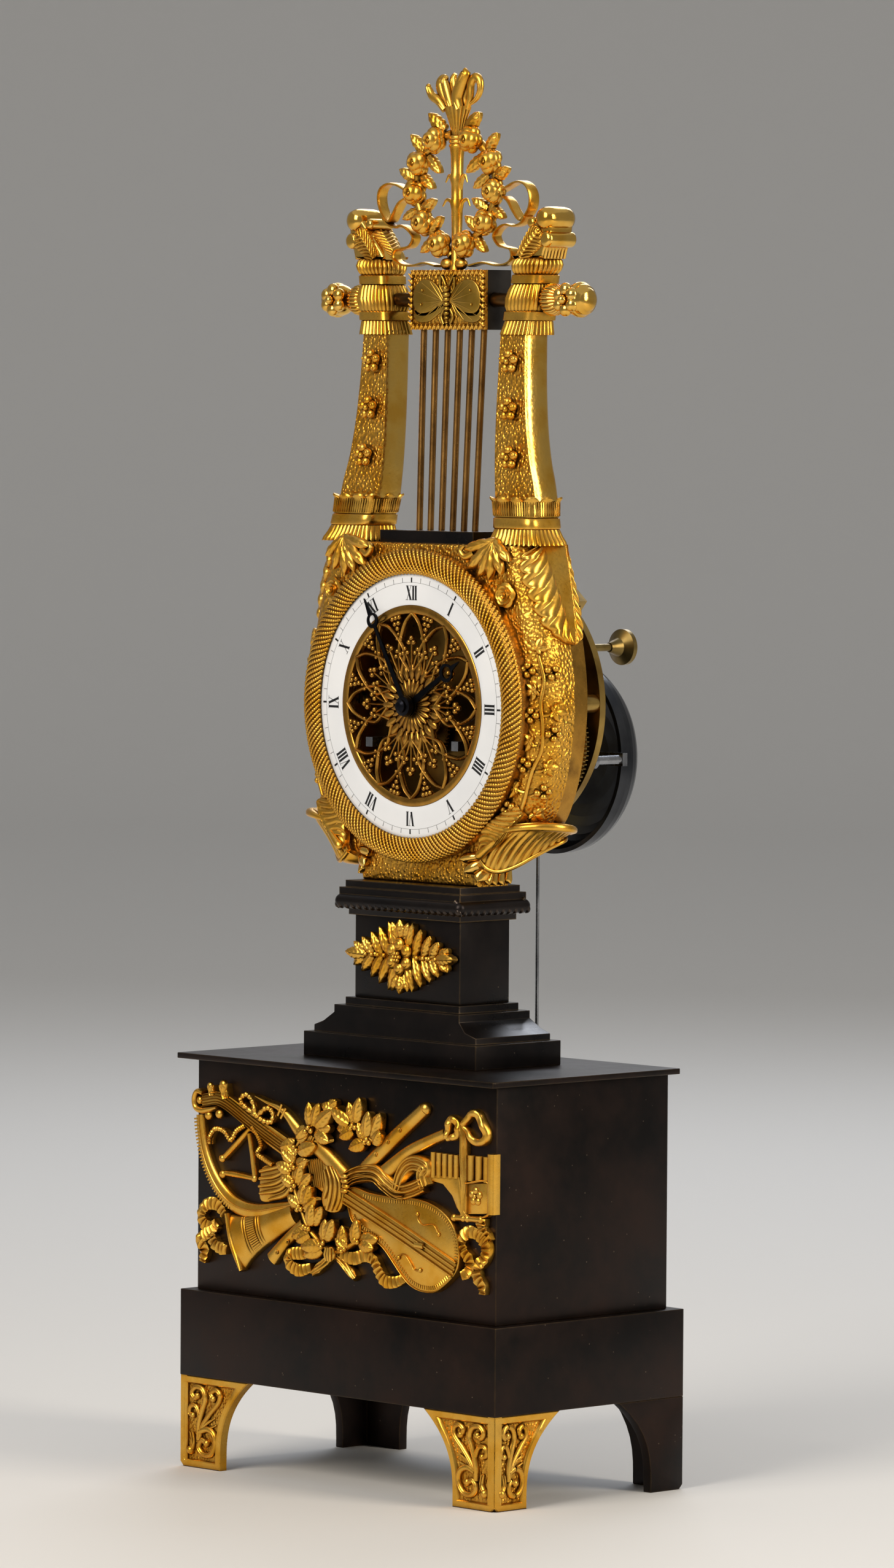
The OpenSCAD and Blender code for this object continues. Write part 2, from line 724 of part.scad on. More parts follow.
// Half widths of the body at heights above the pedestal, bottom to top
function body_profile() = [[lyre_base_w / 2 + 2, 6], [lyre_base_w / 2 + 10, 13], [belly_w - 9, 24], [belly_w - 5, 34],
    [belly_w - 1.8, 46], [belly_w - 0.3, 55], [belly_w, belly_h], [belly_w - 0.6, belly_h + 9],
    [belly_w - 2.3, belly_h + 20], [belly_w - 5, belly_h + 31], [(belly_w - 5 + shoulder_w) / 2,
    belly_h + 42], [shoulder_w, body_h]];

module body_outline(inset) {
    side = [for (p = body_profile()) [p[0] - inset, ped_top + min(p[1], body_h)]];
    low = len(side) - 1;
    polygon(concat(side, [for (i = [0:low]) [-side[low - i][0], side[low - i][1]]]));
}

// The cast body, with shoulder leaves, side leaf cups and a pebbled base block
module lyre_case() color(gilt) placed() {
    difference() {
        union() {
            hull() {
                upright(-body_front, 0.2) body_outline(body_round);
                upright(-body_front + body_round * 0.3, 0.2) body_outline(body_round * 0.35);
                upright(-body_front + body_round, body_d - body_round) body_outline(0);
            }
            slab_block(lyre_base_w, body_d - 3.2, ped_top, ped_top + 26, body_back - body_d / 2
                - 1.4);
            for (s = [-1, 1]) {
                // Long feather leaf over the shoulder
                hull() {
                    translate([s * (shoulder_w - 6), 1, body_top - 0.2]) slice(13, 12, 4, 0.2);
                    translate([s * (belly_w - 4.6), 4, belly_z + 20]) scale([1, 1.3, 1])
                        sphere(r = 4, $fn = 12);
                    translate([s * (belly_w - 6.6), 5, belly_z + 31]) scale([1, 1.5, 1])
                        sphere(r = 5.4, $fn = 12);
                }
                // Fluted leaf cup beside the base block
                hull() {
                    translate([s * (belly_w - 9), 6, ped_top + 20]) scale([1, 1.9, 0.55])
                        sphere(r = 5.6, $fn = 12);
                    translate([s * (lyre_base_w / 2 + 2), 4, ped_top + 9]) scale([1, 1.5, 1])
                        sphere(r = 4.5, $fn = 12);
                    translate([s * (lyre_base_w / 2 - 3), 3, ped_top + 20]) sphere(r = 5, $fn = 8);
                }
            }
        }
        rod_y_dir(centre, case_bore_r, -40, 60);
        translate([-100, -60, body_top]) cube([200, 120, 20]);
        translate([0, tie_y, ped_top - 1]) cylinder(r = tie_r + case_gap, h = 9);
    }
}

// An arm: flat in front, rounded at the sides, narrowing upwards
module arm(s) {
    for (i = [0:arm_steps - 1]) hull() {
        arm_slice(s, i / arm_steps, 0);
        arm_slice(s, (i + 1) / arm_steps, -0.2);
    }
}

// A slice of the arm at a share of its height: the outer side sweeps in as it rises
module arm_slice(s, u, down) {
    z = collar_top + u * arm_h;
    x = arm_top_x + (arm_foot_x - arm_top_x) * pow(1 - u, 2.2);
    w = arm_top_w + (arm_foot_w - arm_top_w) * pow(1 - u, 1.35);
    translate([s * x, arm_y(z), z + down]) slice(w, arm_d, arm_d * 0.2, 0.2);
}

module left_arm() color(gilt) placed() arm(-1);
module right_arm() color(gilt) placed() arm(1);

// Fluted skirt, plain ring and leafy collar under each arm
module arm_foot_collars() color(gilt) placed() {
    z1 = body_top + 0.34 * foot_collar_h;
    z2 = body_top + 0.56 * foot_collar_h;
    x0 = shoulder_w - 7;
    for (s = [-1, 1]) {
        hull() {
            translate([s * (x0 + 1.6), 3.9, body_top]) slice(23, 18.6, 6, 0.4);
            translate([s * x0, 5.4, z1 - 0.2]) slice(18, 15, 5, 0.2);
        }
        translate([s * (x0 - 0.6), 5.8, z1]) linear_extrude(height = z2 - z1)
            round_rect(18.6, 15.4, 5.4);
        hull() {
            translate([s * (x0 - 1.2), 6, z2]) slice(17.6, 14.4, 5, 0.2);
            translate([s * (arm_foot_x + 1), arm_foot_y, collar_top - 0.2])
                slice(arm_foot_w + 3.2, arm_d + 5.2, 5, 0.2);
        }
    }
}

// Height and distance from the middle of a moulding in the capitals
function cap_z(z) = arm_top + z * capital_h / 25.5;
function cap_x(z) = arm_top_x + 0.3 + (cap_z(z) - arm_top) * tan(capital_lean);

// Puts a moulding on the capital's leaning middle line
module cap_place(s, z) {
    translate([s * cap_x(z), arm_y(cap_z(z)), cap_z(z)]) children();
}

module cap_ring(s, z0, z1, w, d) {
    translate([s * cap_x((z0 + z1) / 2), arm_y(cap_z((z0 + z1) / 2)), cap_z(z0)])
        linear_extrude(height = cap_z(z1) - cap_z(z0)) round_rect(w, d, 4);
}

// Skirt, rings, reeded drum and gadrooned collar over each arm, bored for the rod
module arm_capitals() color(gilt) placed() {
    difference() {
        for (s = [-1, 1]) {
            hull() {
                cap_place(s, 0) slice(arm_top_w + 2.8, arm_d + 2.4, 4.4, 0.3);
                cap_place(s, 4.8) slice(arm_top_w + 0.4, arm_d, 4, 0.2);
            }
            cap_ring(s, 5, 8, arm_top_w + 1.8, arm_d + 1.2);
            cap_ring(s, 8, 16.8, arm_top_w + 2.9, arm_d + 2.4);
            cap_ring(s, 16.8, 20, arm_top_w + 1, arm_d + 1);
            hull() {
                cap_place(s, 20) slice(arm_top_w + 0.8, arm_d + 0.6, 4, 0.2);
                cap_place(s, 22.6) slice(arm_top_w + 3, arm_d + 2.4, 4.8, 0.8);
                cap_place(s, 25.3) slice(arm_top_w, arm_d - 0.6, 4, capital_top - cap_z(25.3));
            }
        }
        translate([-80, rod_y, rod_z]) rotate([0, 90, 0]) cylinder(r = rod_r + case_gap, h = 160);
    }
}

// Scrolls that lean outwards and curl over at the tip
module arm_finials() color(gilt) placed() {
    for (s = [-1, 1]) {
        hull() {
            cap_place(s, 25.5) slice(arm_top_w - 0.6, arm_d - 1, 3.6, 0.3);
            finial_ball(s, 0.45, 0.7, 3.6, 1.3);
        }
        hull() {
            finial_ball(s, 0.38, 0.66, 4.2, 1.3);
            finial_ball(s, 0.78, 0.73, 4.5, 1.3);
        }
        hull() {
            finial_ball(s, 0.5, 0.46, 2.6, 1.3);
            finial_ball(s, 0.86, 0.36, 2.5, 1.5);
        }
    }
}

// A ball of the finial at shares of its reach and height
module finial_ball(s, u, v, r, wide) {
    translate([s * (cap_x(25.5) + u * finial_reach), arm_y(capital_top),
            capital_top + v * finial_h])
        scale([1, wide, 1]) sphere(r = r, $fn = 12);
}

module string_bar() color(dark_bronze) placed() {
    slab_block(bar_w, bar_d, body_top, bar_top, bar_y);
}

// Strings fan out a little and run slightly back from the bar to the block
module strings() color(string_brass) placed() {
    y_low = bar_y + bar_d / 2 - 1.4 * string_r;
    run = yoke_bottom - bar_top;
    back = yoke_front + 1.7 * string_r - y_low;
    tilt = atan2(back, run);
    for (i = [0:string_count - 1]) {
        x = (i - (string_count - 1) / 2) * string_pitch;
        fan = atan2(x * (string_spread - 1), run);
        intersection() {
            translate([x, y_low, bar_top]) rotate([-tilt, fan, 0]) translate([0, 0, -3])
                cylinder(r = string_r, h = run + 8);
            slab_block(60, 80, bar_top, yoke_bottom);
        }
    }
}

module yoke_block() color(bright_steel) placed() {
    difference() {
        translate([-yoke_w / 2, yoke_front, yoke_bottom]) cube([yoke_w, yoke_d, yoke_h]);
        translate([-40, rod_y, rod_z]) rotate([0, 90, 0]) cylinder(r = rod_r + case_gap, h = 80);
    }
}

// The butterfly plaque with its raised border
module yoke_plaque() color(pale_gilt) placed() {
    rim = 1.6;
    difference() {
        translate([-yoke_w / 2, yoke_front - plaque_t, yoke_bottom]) cube([yoke_w, plaque_t, yoke_h]);
        translate([-yoke_w / 2 + rim, yoke_front - plaque_t - 1, yoke_bottom + rim])
            cube([yoke_w - 2 * rim, 1.5, yoke_h - 2 * rim]);
    }
    for (s = [-1, 1]) {
        relief_leaf([s * 1.6, rod_z + 1], [s * 14, rod_z + 5.5], 3.2, 0.9, yoke_front - plaque_t + 0.5);
        relief_leaf([s * 1.6, rod_z - 1], [s * 10, rod_z - 6], 2.4, 0.9, yoke_front - plaque_t + 0.5);
    }
}

module cross_rod() color(dark_bronze) placed() {
    translate([-knob_x + knob_r * 0.5, rod_y, rod_z]) rotate([0, 90, 0])
        cylinder(r = rod_r, h = 2 * knob_x - knob_r);
}

// A leafy cone and a bud of petals on each end of the rod
module flower_knobs() color(gilt) placed() {
    capital_out = cap_x(12.4) + (arm_top_w + 2.9) / 2;
    difference() {
        for (s = [-1, 1]) translate([0, rod_y, rod_z]) rotate([0, s * 90, 0]) {
            translate([0, 0, capital_out]) cylinder(r1 = 5.4, r2 = 3.2, h = knob_x - capital_out);
            translate([0, 0, knob_x]) sphere(r = knob_r);
        }
        translate([-knob_x + knob_r * 0.5 - part_gap, rod_y, rod_z]) rotate([0, 90, 0])
            cylinder(r = rod_r + case_gap, h = 2 * knob_x - knob_r + 2 * part_gap);
    }
}

// A point of the crest, from the middle of the block's top
function crest_at(x, z) = [x * crest_w / 19, crest_y, yoke_top + z * crest_h / 66.3];

// A flattened ball of the crest
module crest_ball(p, r, n = 10) {
    translate(p) scale([1, 0.72, 1]) sphere(r = r, $fn = n);
}

module crest_bar(p, q, r1, r2) {
    hull() {
        crest_ball(p, r1, 8);
        crest_ball(q, r2, 8);
    }
}

// A pointed garland of ten roses about a thorny stem, with sheaf and flames
module rose_crest() color(gilt) placed() {
    ring = [[6, 9.1], [15.1, 16.4], [19, 26.6], [17.3, 36.6], [8.7, 44]];
    translate([0, crest_y, yoke_top]) linear_extrude(height = 4.6) square([12, 4.4], center = true);
    crest_bar(crest_at(0, 4), crest_at(0, 46), 1.9, 1.9);
    for (z = [16, 30]) crest_bar(crest_at(-3.4, z + 2), crest_at(3.4, z + 2), 0.9, 0.9);
    for (s = [-1, 1]) {
        crest_bar(crest_at(0, 6), crest_at(s * ring[0][0], ring[0][1]), 2.4, 2.4);
        for (p = ring) crest_ball(crest_at(s * p[0], p[1]), rose_r);
        for (i = [0:len(ring) - 2])
            crest_bar(crest_at(s * ring[i][0], ring[i][1]),
                crest_at(s * ring[i + 1][0], ring[i + 1][1]), 2.4, 2.4);
        // Ribbon loop and tails
        crest_bar(crest_at(s * 17, 20), crest_at(s * 25, 19), 1.5, 1.3);
        crest_bar(crest_at(s * 25, 19), crest_at(s * 27, 26), 1.3, 1.3);
        crest_bar(crest_at(s * 27, 26), crest_at(s * 21, 29), 1.3, 1.2);
        crest_bar(crest_at(s * 12, 12), crest_at(s * 23, 6), 1.4, 1.4);
        crest_bar(crest_at(s * 23, 6), crest_at(s * 22, 12), 1.3, 1.2);
    }
    // Tied sheaf and flames
    hull() {
        crest_ball(crest_at(0, 44), 2.6);
        crest_ball(crest_at(-4.2, 58), 2.2);
        crest_ball(crest_at(4.2, 58), 2.2);
    }
    for (f = [[-7.6, 62.2], [-3, 64.4], [0.6, 64.9], [4.6, 64], [8, 60.8]])
        crest_bar(crest_at(f[0] * 0.55, 56), crest_at(f[0], f[1]), 2.2, 1.4);
}

// Engine-turned bezel: a convex ring with an inner ledge for the dial
module bezel() color(gilt) placed() {
    in_r = enamel_r + case_gap;
    steps = 8;
    mid = (in_r + bezel_r) / 2;
    half = (bezel_r - in_r) / 2;
    turned(centre) polygon(concat(
        [[enamel_in_r + 8, dial_plate_back], [enamel_in_r + 8, bezel_back],
            [bezel_r, bezel_back]],
        [for (i = [0:steps]) [mid + half * cos(180 * i / steps),
            bezel_back - 3.2 - 2.3 * i / steps - (bezel_t - 4.4) * sin(180 * i / steps)]],
        [[in_r, dial_plate_back]]));
}

module enamel_ring() color(enamel_white) placed() {
    turned(centre, enamel_front) polygon([[enamel_in_r, 0], [enamel_r - 0.4, 0],
        [enamel_r, 0.4], [enamel_r, enamel_t], [enamel_in_r, enamel_t]]);
}

// The dial plate behind the enamel, with a gilt ring and pierced middle in front
module dial_openwork() color(gilt) placed() {
    flat_in = openwork_r;
    difference() {
        union() {
            turned(centre) polygon([[flat_in, enamel_front], [enamel_in_r - case_gap, enamel_front],
                [enamel_in_r - case_gap, enamel_back], [enamel_r, enamel_back],
                [enamel_r, dial_plate_back], [flat_in, dial_plate_back]]);
            upright(enamel_front + 0.2, openwork_t) translate(centre) difference() {
                circle(r = flat_in + 0.5);
                for (i = [0:11]) rotate(30 * i) {
                    translate([24.2, 0]) intersection() {
                        translate([0, 7.6]) circle(r = 12);
                        translate([0, -7.6]) circle(r = 12);
                    }
                    rotate(15) translate([27.2, 0]) circle(r = 2.1);
                    rotate(15) translate([14.6, 0]) circle(r = 1.9);
                }
            }
        }
        rod_y_dir(centre, hour_pipe_r + part_gap, -30, 5);
    }
}

// Angle of a hand from twelve o'clock, clockwise
function hand_turn(turns) = 90 - 360 * turns;

// A moon hand: tapered stalk, pierced ring and a fine point
module moon_hand(len, root, ring_at, ring_r) {
    difference() {
        union() {
            polygon([[0, -root], [ring_at - ring_r + 0.6, -root * 0.55],
                [ring_at - ring_r + 0.6, root * 0.55], [0, root]]);
            translate([ring_at, 0]) circle(r = ring_r);
            polygon([[ring_at + ring_r * 0.6, -1.1], [len, -0.12], [len, 0.12],
                [ring_at + ring_r * 0.6, 1.1]]);
            circle(r = 3.6);
        }
        translate([ring_at + 0.35, 0]) circle(r = ring_r - 1.05);
    }
}

module hour_hand() color(blue_steel) placed() {
    difference() {
        upright(hour_hand_back - hand_t, hand_t) translate(centre)
            rotate(hand_turn(shown_time / 720)) moon_hand(hour_len, 1.3, hour_len - 7.4, 3.1);
        rod_y_dir(centre, hour_pipe_r - 0.3, -40, 0);
    }
}

module minute_hand() color(blue_steel) placed() {
    difference() {
        upright(minute_hand_back - hand_t, hand_t) translate(centre)
            rotate(hand_turn(shown_time / 60)) moon_hand(minute_len, 1.1, minute_len - 8.4, 2.6);
        rod_y_dir(centre, cannon_r - 0.2, -40, 0);
    }
}

// Dark collet with a polished cap that holds the minute hand
module hand_collet() color(bright_steel) placed() {
    y1 = minute_hand_back - hand_t;
    turned(centre, y1 - 3.4) polygon([[0, 0], [1.4, 0.2], [2.2, 0.9], [2.2, 1.9], [3.3, 2.2],
        [3.5, 3.4], [arbor_r + run_gap, 3.4], [arbor_r + run_gap, 1.6], [0, 1.6]]);
}

// The front plate, drilled for its arbors, with a stud for the minute wheel
module front_plate() color(dull_brass) placed() {
    difference() {
        union() {
            rod_y_dir(centre, plate_r, front_plate_y, gap_y);
            rod_y_dir(minute_at, 0.8, front_plate_y - 9.2, front_plate_y + 1);
        }
        plate_holes(front_plate_y - 1, gap_y + 1);
    }
}

module back_plate() color(dull_brass) placed() {
    difference() {
        rod_y_dir(centre, plate_r, back_plate_y, back_y);
        plate_holes(back_plate_y - 1, back_y + 1);
        rod_y_dir(swing, 2.2, back_plate_y - 1, back_y + 1);
        rod_y_dir(strike_barrel_at, 2.9 + run_gap, back_plate_y - 1, back_y + 1);
        for (a = strap_angles) rod_y_dir(polar(centre, plate_r - 2.6, a), 1.05,
            back_plate_y - 1, back_y + 1);
        for (x = [-5.5, 5.5]) rod_y_dir([x, swing[1] + 15], 1.05, back_plate_y - 1, back_y + 1);
    }
}

module plate_holes(y0, y1) {
    rod_y_dir(centre, arbor_r + run_gap, y0, y1);
    rod_y_dir(barrel, barrel_arbor_r + run_gap, y0, y1);
    rod_y_dir(strike_barrel_at, barrel_arbor_r + run_gap, y0, y1);
    for (p = [third, escape, locking_at, fly_at]) rod_y_dir(p, pivot_r + run_gap, y0, y1);
    rod_y_dir(pin_at, fine_r + run_gap, y0, y1);
    rod_y_dir(swing, 0.8 + run_gap, y0, y1);
    rod_y_dir(hammer_at, 0.9 + run_gap, y0, y1);
    for (a = pillar_angles) rod_y_dir(polar(centre, pillar_ring_r, a), 1.05, y0, y1);
}

module plate_pillars() color(dull_brass) placed() {
    for (a = pillar_angles) difference() {
        rod_y_dir(polar(centre, pillar_ring_r, a), pillar_r, gap_y, back_plate_y);
        rod_y_dir(polar(centre, pillar_ring_r, a), 1.05, gap_y - 1, gap_y + 5);
        rod_y_dir(polar(centre, pillar_ring_r, a), 1.05, back_plate_y - 5, back_plate_y + 1);
    }
}

// Two straps from the body's back over the edge of the back plate
module movement_straps() color(dull_brass) placed() {
    for (a = strap_angles) difference() {
        translate([centre[0], 0, centre[1]]) rotate([0, -a, 0]) {
            translate([strap_r - 1, body_back, -3]) cube([2, back_y + 1.6 - body_back, 6]);
            translate([plate_r - 5.6, back_y, -3]) cube([strap_r + 1 - plate_r + 5.6, 1.6, 6]);
            translate([strap_r - 1, body_back, -3]) cube([4, 1.6, 6]);
        }
        rod_y_dir(polar(centre, plate_r - 2.6, a), 1.05, back_y - 1, back_y + 3);
    }
}

// Slotted screws: four on each plate, two on the straps, two on the cock
module screw(p, y_head, dir, shank) {
    translate([p[0], y_head, p[1]]) rotate([dir > 0 ? -90 : 90, 0, 0]) {
        difference() {
            cylinder(r = 2, h = 1.2);
            translate([-0.3, -3, 0.7]) cube([0.6, 6, 1]);
        }
        translate([0, 0, -shank]) cylinder(r = 1, h = shank + 0.2);
    }
}

module movement_screws() color(bright_steel) placed() {
    for (a = pillar_angles) {
        screw(polar(centre, pillar_ring_r, a), back_y, 1, 6);
        screw(polar(centre, pillar_ring_r, a), front_plate_y, -1, 6);
    }
    for (a = strap_angles) screw(polar(centre, plate_r - 2.6, a), back_y + 1.6, 1, 4);
    for (x = [-5.5, 5.5]) screw([x, swing[1] + 15], back_y + 2.5, 1, 5);
}

// A spring barrel: drum with its great wheel, turning on the winding arbor
module spring_barrel(p, y_wheel, n, m, phase) {
    difference() {
        union() {
            rod_y_dir(p, barrel_drum_r, drum_y, y_wheel);
            upright(y_wheel, wheel_t) translate(p) wheel_outline(n, m, phase);
            rod_y_dir(p, 4, drum_y - 1, y_wheel + wheel_t + 0.8);
        }
        rod_y_dir(p, barrel_arbor_r + run_gap, drum_y - 5, y_wheel + 20);
    }
}

// Winding arbor: square for the key, ratchet wheel before the plate, pivots
module winding_arbor(p, y_end) {
    key_back = front_plate_y - 5;
    translate([p[0] - 1.6, enamel_front + 0.5, p[1] - 1.6])
        cube([3.2, key_back - enamel_front - 0.4, 3.2]);
    rod_y_dir(p, barrel_arbor_r, key_back, y_end);
    upright(front_plate_y - 2, 1.4) translate(p) ratchet(24, 6.4);
}

// Saw teeth of a ratchet or an escape wheel
module ratchet(n, r, depth = 0.9) {
    a = 360 / n;
    polygon([for (i = [0:n - 1]) for (c = [[r, 0], [r - depth, 0.16]])
        [c[0] * cos((i + c[1]) * a), c[0] * sin((i + c[1]) * a)]]);
}

module going_barrel() color(dull_brass) placed()
    spring_barrel(barrel, great_wheel_y, great_teeth, great_module, great_phase);

module strike_barrel() color(dull_brass) placed() difference() {
    union() {
        spring_barrel(strike_barrel_at, strike_wheel_y, strike_teeth, strike_module, 0);
        // Pipe through the back plate, which carries the count wheel
        rod_y_dir(strike_barrel_at, 2.9, strike_wheel_y, back_y + 4.4);
    }
    rod_y_dir(strike_barrel_at, barrel_arbor_r + run_gap, drum_y - 5, back_y + 5);
}

module going_arbor() color(bright_steel) placed() winding_arbor(barrel, back_y + 0.4);
module strike_arbor() color(bright_steel) placed() winding_arbor(strike_barrel_at, back_y + 4.2);

module centre_wheel() color(dull_brass) placed() {
    crossed_wheel(centre, centre_wheel_y, centre_teeth, centre_module, centre_phase, 2.4, 4);
    rod_y_dir(centre, arbor_r, minute_hand_back - hand_t - 1.4, back_y - 0.2);
    pinion(centre, great_wheel_y - 1.2, great_wheel_y + 2.4, centre_leaves, great_module,
        centre_phase);
}

module third_wheel() color(dull_brass) placed() {
    crossed_wheel(third, third_wheel_y, third_teeth, third_module, third_phase, 1.8, 4);
    arbor(third, centre_wheel_y + 1.9);
    pinion(third, centre_wheel_y - 0.6, centre_wheel_y + 2, third_leaves, centre_module, third_phase);
}

module escape_wheel() color(dull_brass) placed() {
    upright(escape_wheel_y, wheel_t) translate(escape) difference() {
        ratchet(escape_teeth, escape_r, 1.5);
        difference() {
            circle(r = escape_r - 2.3);
            circle(r = 1.6);
            for (i = [0:3]) rotate(90 * i) translate([0, -0.5]) square([escape_r - 2, 1]);
        }
    }
    arbor(escape, third_wheel_y + 1.9);
    pinion(escape, third_wheel_y - 0.6, third_wheel_y + 2, escape_leaves, third_module, escape_phase);
}

// Anchor over the escape wheel, its arbor, and the crutch behind the plate
crutch_len = 22;
module pallet_anchor() color(bright_steel) placed() {
    aim = atan2(swing[1] - escape[1], swing[0] - escape[0]);
    clear = 0.5;
    upright(escape_wheel_y - 0.2, wheel_t + 0.4) {
        translate(escape) intersection() {
            difference() {
                circle(r = escape_r + clear + 1.4);
                circle(r = escape_r + clear);
            }
            polygon([[0, 0], for (t = [-1, 0, 1]) [14 * cos(aim + t * (pallet_span + 6)),
                14 * sin(aim + t * (pallet_span + 6))]]);
        }
        translate(swing) circle(r = 1.6);
    }
    rod_y_dir(swing, 0.8, front_plate_y + 0.4, cock_lug_y + 1.4);
    // Crutch: arm, then a fork that passes the pendulum rod
    translate([-0.9, back_y + 2, swing[1] - crutch_len]) cube([1.8, 1.4, crutch_len]);
    rod_y_dir(swing, 1.9, back_y + 2, back_y + 3.4);
    for (s = [-1, 1]) translate([s * (pendulum_r + case_gap + 0.5) - 0.5, back_y + 2,
            swing[1] - crutch_len])
        cube([1, pendulum_y + 1.5 - back_y - 2, 1.2]);
    translate([-1.6, back_y + 2, swing[1] - crutch_len]) cube([3.2, 1.4, 1.2]);
}

// The cock behind the back plate: it carries the pallet arbor and the regulator
cock_lug_y = back_y + 4.8;
cock_rear_y = pendulum_y + 2.5;
module suspension_cock() color(dull_brass) placed() {
    lug_low = swing[1] - 3;
    arm_z = swing[1] + 5.4;
    difference() {
        union() {
            translate([-8.5, back_y, arm_z]) cube([17, 2.5, 13.5]);
            translate([-3.5, back_y, arm_z]) cube([7, cock_rear_y + 2.5 - back_y, 4.5]);
            translate([-3.5, cock_lug_y, lug_low]) cube([7, 3, arm_z - lug_low + 1]);
            translate([-3.5, cock_rear_y, lug_low]) cube([7, 2.5, arm_z - lug_low + 1]);
        }
        rod_y_dir(swing, 0.8 + run_gap, cock_lug_y - 1, cock_lug_y + 4);
        rod_y_dir(swing, 1.3 + run_gap, cock_rear_y - 1, cock_rear_y + 4);
        for (x = [-5.5, 5.5]) rod_y_dir([x, swing[1] + 15], 1.05, back_y - 1, back_y + 4);
    }
}

// Arbor that winds the silk, with its knurled knob clear of the bell
module regulator_arbor() color(dull_brass) placed() {
    knob_y = back_y + regulator_reach;
    rod_y_dir(swing, 0.8, cock_lug_y + 1.7, cock_lug_y + 4);
    rod_y_dir(swing, 1.3, cock_lug_y + 3.4, knob_y);
    rod_y_dir(swing, 1.6, cock_lug_y + 3.4, cock_rear_y - part_gap);
    turned(swing, knob_y - 6) polygon([[0, 0], [1.7, 0], [2.4, 2], [3.2, 4], [5.2, 5.2],
        [regulator_r, 5.8], [regulator_r, 7.5], [4.6, 7], [2, 6.8], [0, 7.5]]);
}

silk_r = 0.25;
silk_half = 1.6;
silk_len = 12.6;
silk_z = swing[1] - silk_len;
// The silk loop, from the winding arbor down round the pendulum's eye
module silk_loop() color(silk_colour) placed() {
    for (s = [-1, 1]) translate([0, pendulum_y + s * silk_half, silk_z + silk_half])
        cylinder(r = silk_r, h = silk_len - silk_half - 1.95);
    translate([0, pendulum_y, silk_z + silk_half]) rotate([-90, 0, 90])
        rotate_extrude(angle = 180) translate([silk_half, 0]) circle(r = silk_r);
}

// Steel rod with an eye over the silk and a nut under the bob
module pendulum_rod() color(bright_steel) placed() {
    eye_r = pendulum_r + 0.65;
    eye_z = silk_z - eye_r + pendulum_r + silk_r + 0.5;
    bob_z = swing[1] - pendulum_len;
    end_z = bob_z - bob_r - 5;
    translate([0, pendulum_y, eye_z]) rotate([90, 0, 0]) rotate_extrude()
        translate([eye_r, 0]) circle(r = pendulum_r);
    translate([0, pendulum_y, end_z]) cylinder(r = pendulum_r, h = eye_z - eye_r - end_z);
    translate([0, pendulum_y, bob_z - bob_r - 3.2]) cylinder(r = 2.2, h = 3);
}

// Lens-shaped bob, drilled for the rod
module pendulum_bob() color(gilt) placed() {
    lens_r = (bob_r * bob_r + bob_t * bob_t / 4) / bob_t;
    bob_z = swing[1] - pendulum_len;
    difference() {
        translate([0, pendulum_y, bob_z]) rotate([90, 0, 0]) intersection() {
            translate([0, 0, lens_r - bob_t / 2]) sphere(r = lens_r);
            translate([0, 0, bob_t / 2 - lens_r]) sphere(r = lens_r);
            cylinder(r = bob_r - 0.3, h = bob_t, center = true);
        }
        translate([0, pendulum_y, bob_z - bob_r - 1]) cylinder(r = pendulum_r + run_gap,
            h = 2 * bob_r + 2);
    }
}

// Motion work between the front plate and the dial
cannon_y = front_plate_y - 4;
hour_wheel_y = front_plate_y - 7.4;
module cannon_pinion() color(bright_steel) placed() {
    difference() {
        union() {
            pinion(centre, cannon_y, cannon_y + 2.8, cannon_teeth, cannon_module, 0);
            rod_y_dir(centre, cannon_r, minute_hand_back, cannon_y + 0.1);
            rod_y_dir(centre, cannon_r - 0.2, minute_hand_back - hand_t, cannon_y);
        }
        rod_y_dir(centre, arbor_r + run_gap, -40, 20);
    }
}

module minute_wheel() color(dull_brass) placed() {
    difference() {
        union() {
            upright(cannon_y + 0.8, wheel_t) translate(minute_at)
                wheel_outline(minute_teeth, cannon_module, minute_phase);
            pinion(minute_at, hour_wheel_y - 0.8, cannon_y + 0.9, minute_leaves, hour_module,
                minute_phase);
        }
        rod_y_dir(minute_at, 0.8 + run_gap, -40, 20);
    }
}

module hour_wheel() color(dull_brass) placed() {
    difference() {
        union() {
            upright(hour_wheel_y, wheel_t) translate(centre)
                wheel_outline(hour_teeth, hour_module, hour_phase);
            rod_y_dir(centre, hour_pipe_r, hour_hand_back, hour_wheel_y + 0.1);
            rod_y_dir(centre, hour_pipe_r - 0.3, hour_hand_back - hand_t, hour_wheel_y);
        }
        rod_y_dir(centre, cannon_r + run_gap, -40, 20);
    }
}

// The bell, mouth forwards, with an upright rim and a domed back
bell_at = [0, dial_z - bell_drop];
bell_y = back_y + bell_stand_off;
bell_rim = 3.6;
function dome(r, d, t) = [r * pow(cos(t), 0.62), bell_rim + (d - bell_rim) * sin(t)];
module bell() color(bell_metal) placed() {
    steps = 10;
    turned(bell_at, bell_y) polygon(concat([[bell_r - bell_wall, 0], [bell_r, 0]],
        [for (i = [0:steps - 1]) dome(bell_r, bell_d, 88 * i / (steps - 1))],
        [[1.5, bell_d], [1.5, bell_d - bell_wall]],
        [for (i = [steps - 1:-1:0]) dome(bell_r - bell_wall, bell_d - bell_wall,
            88 * i / (steps - 1))]));
}

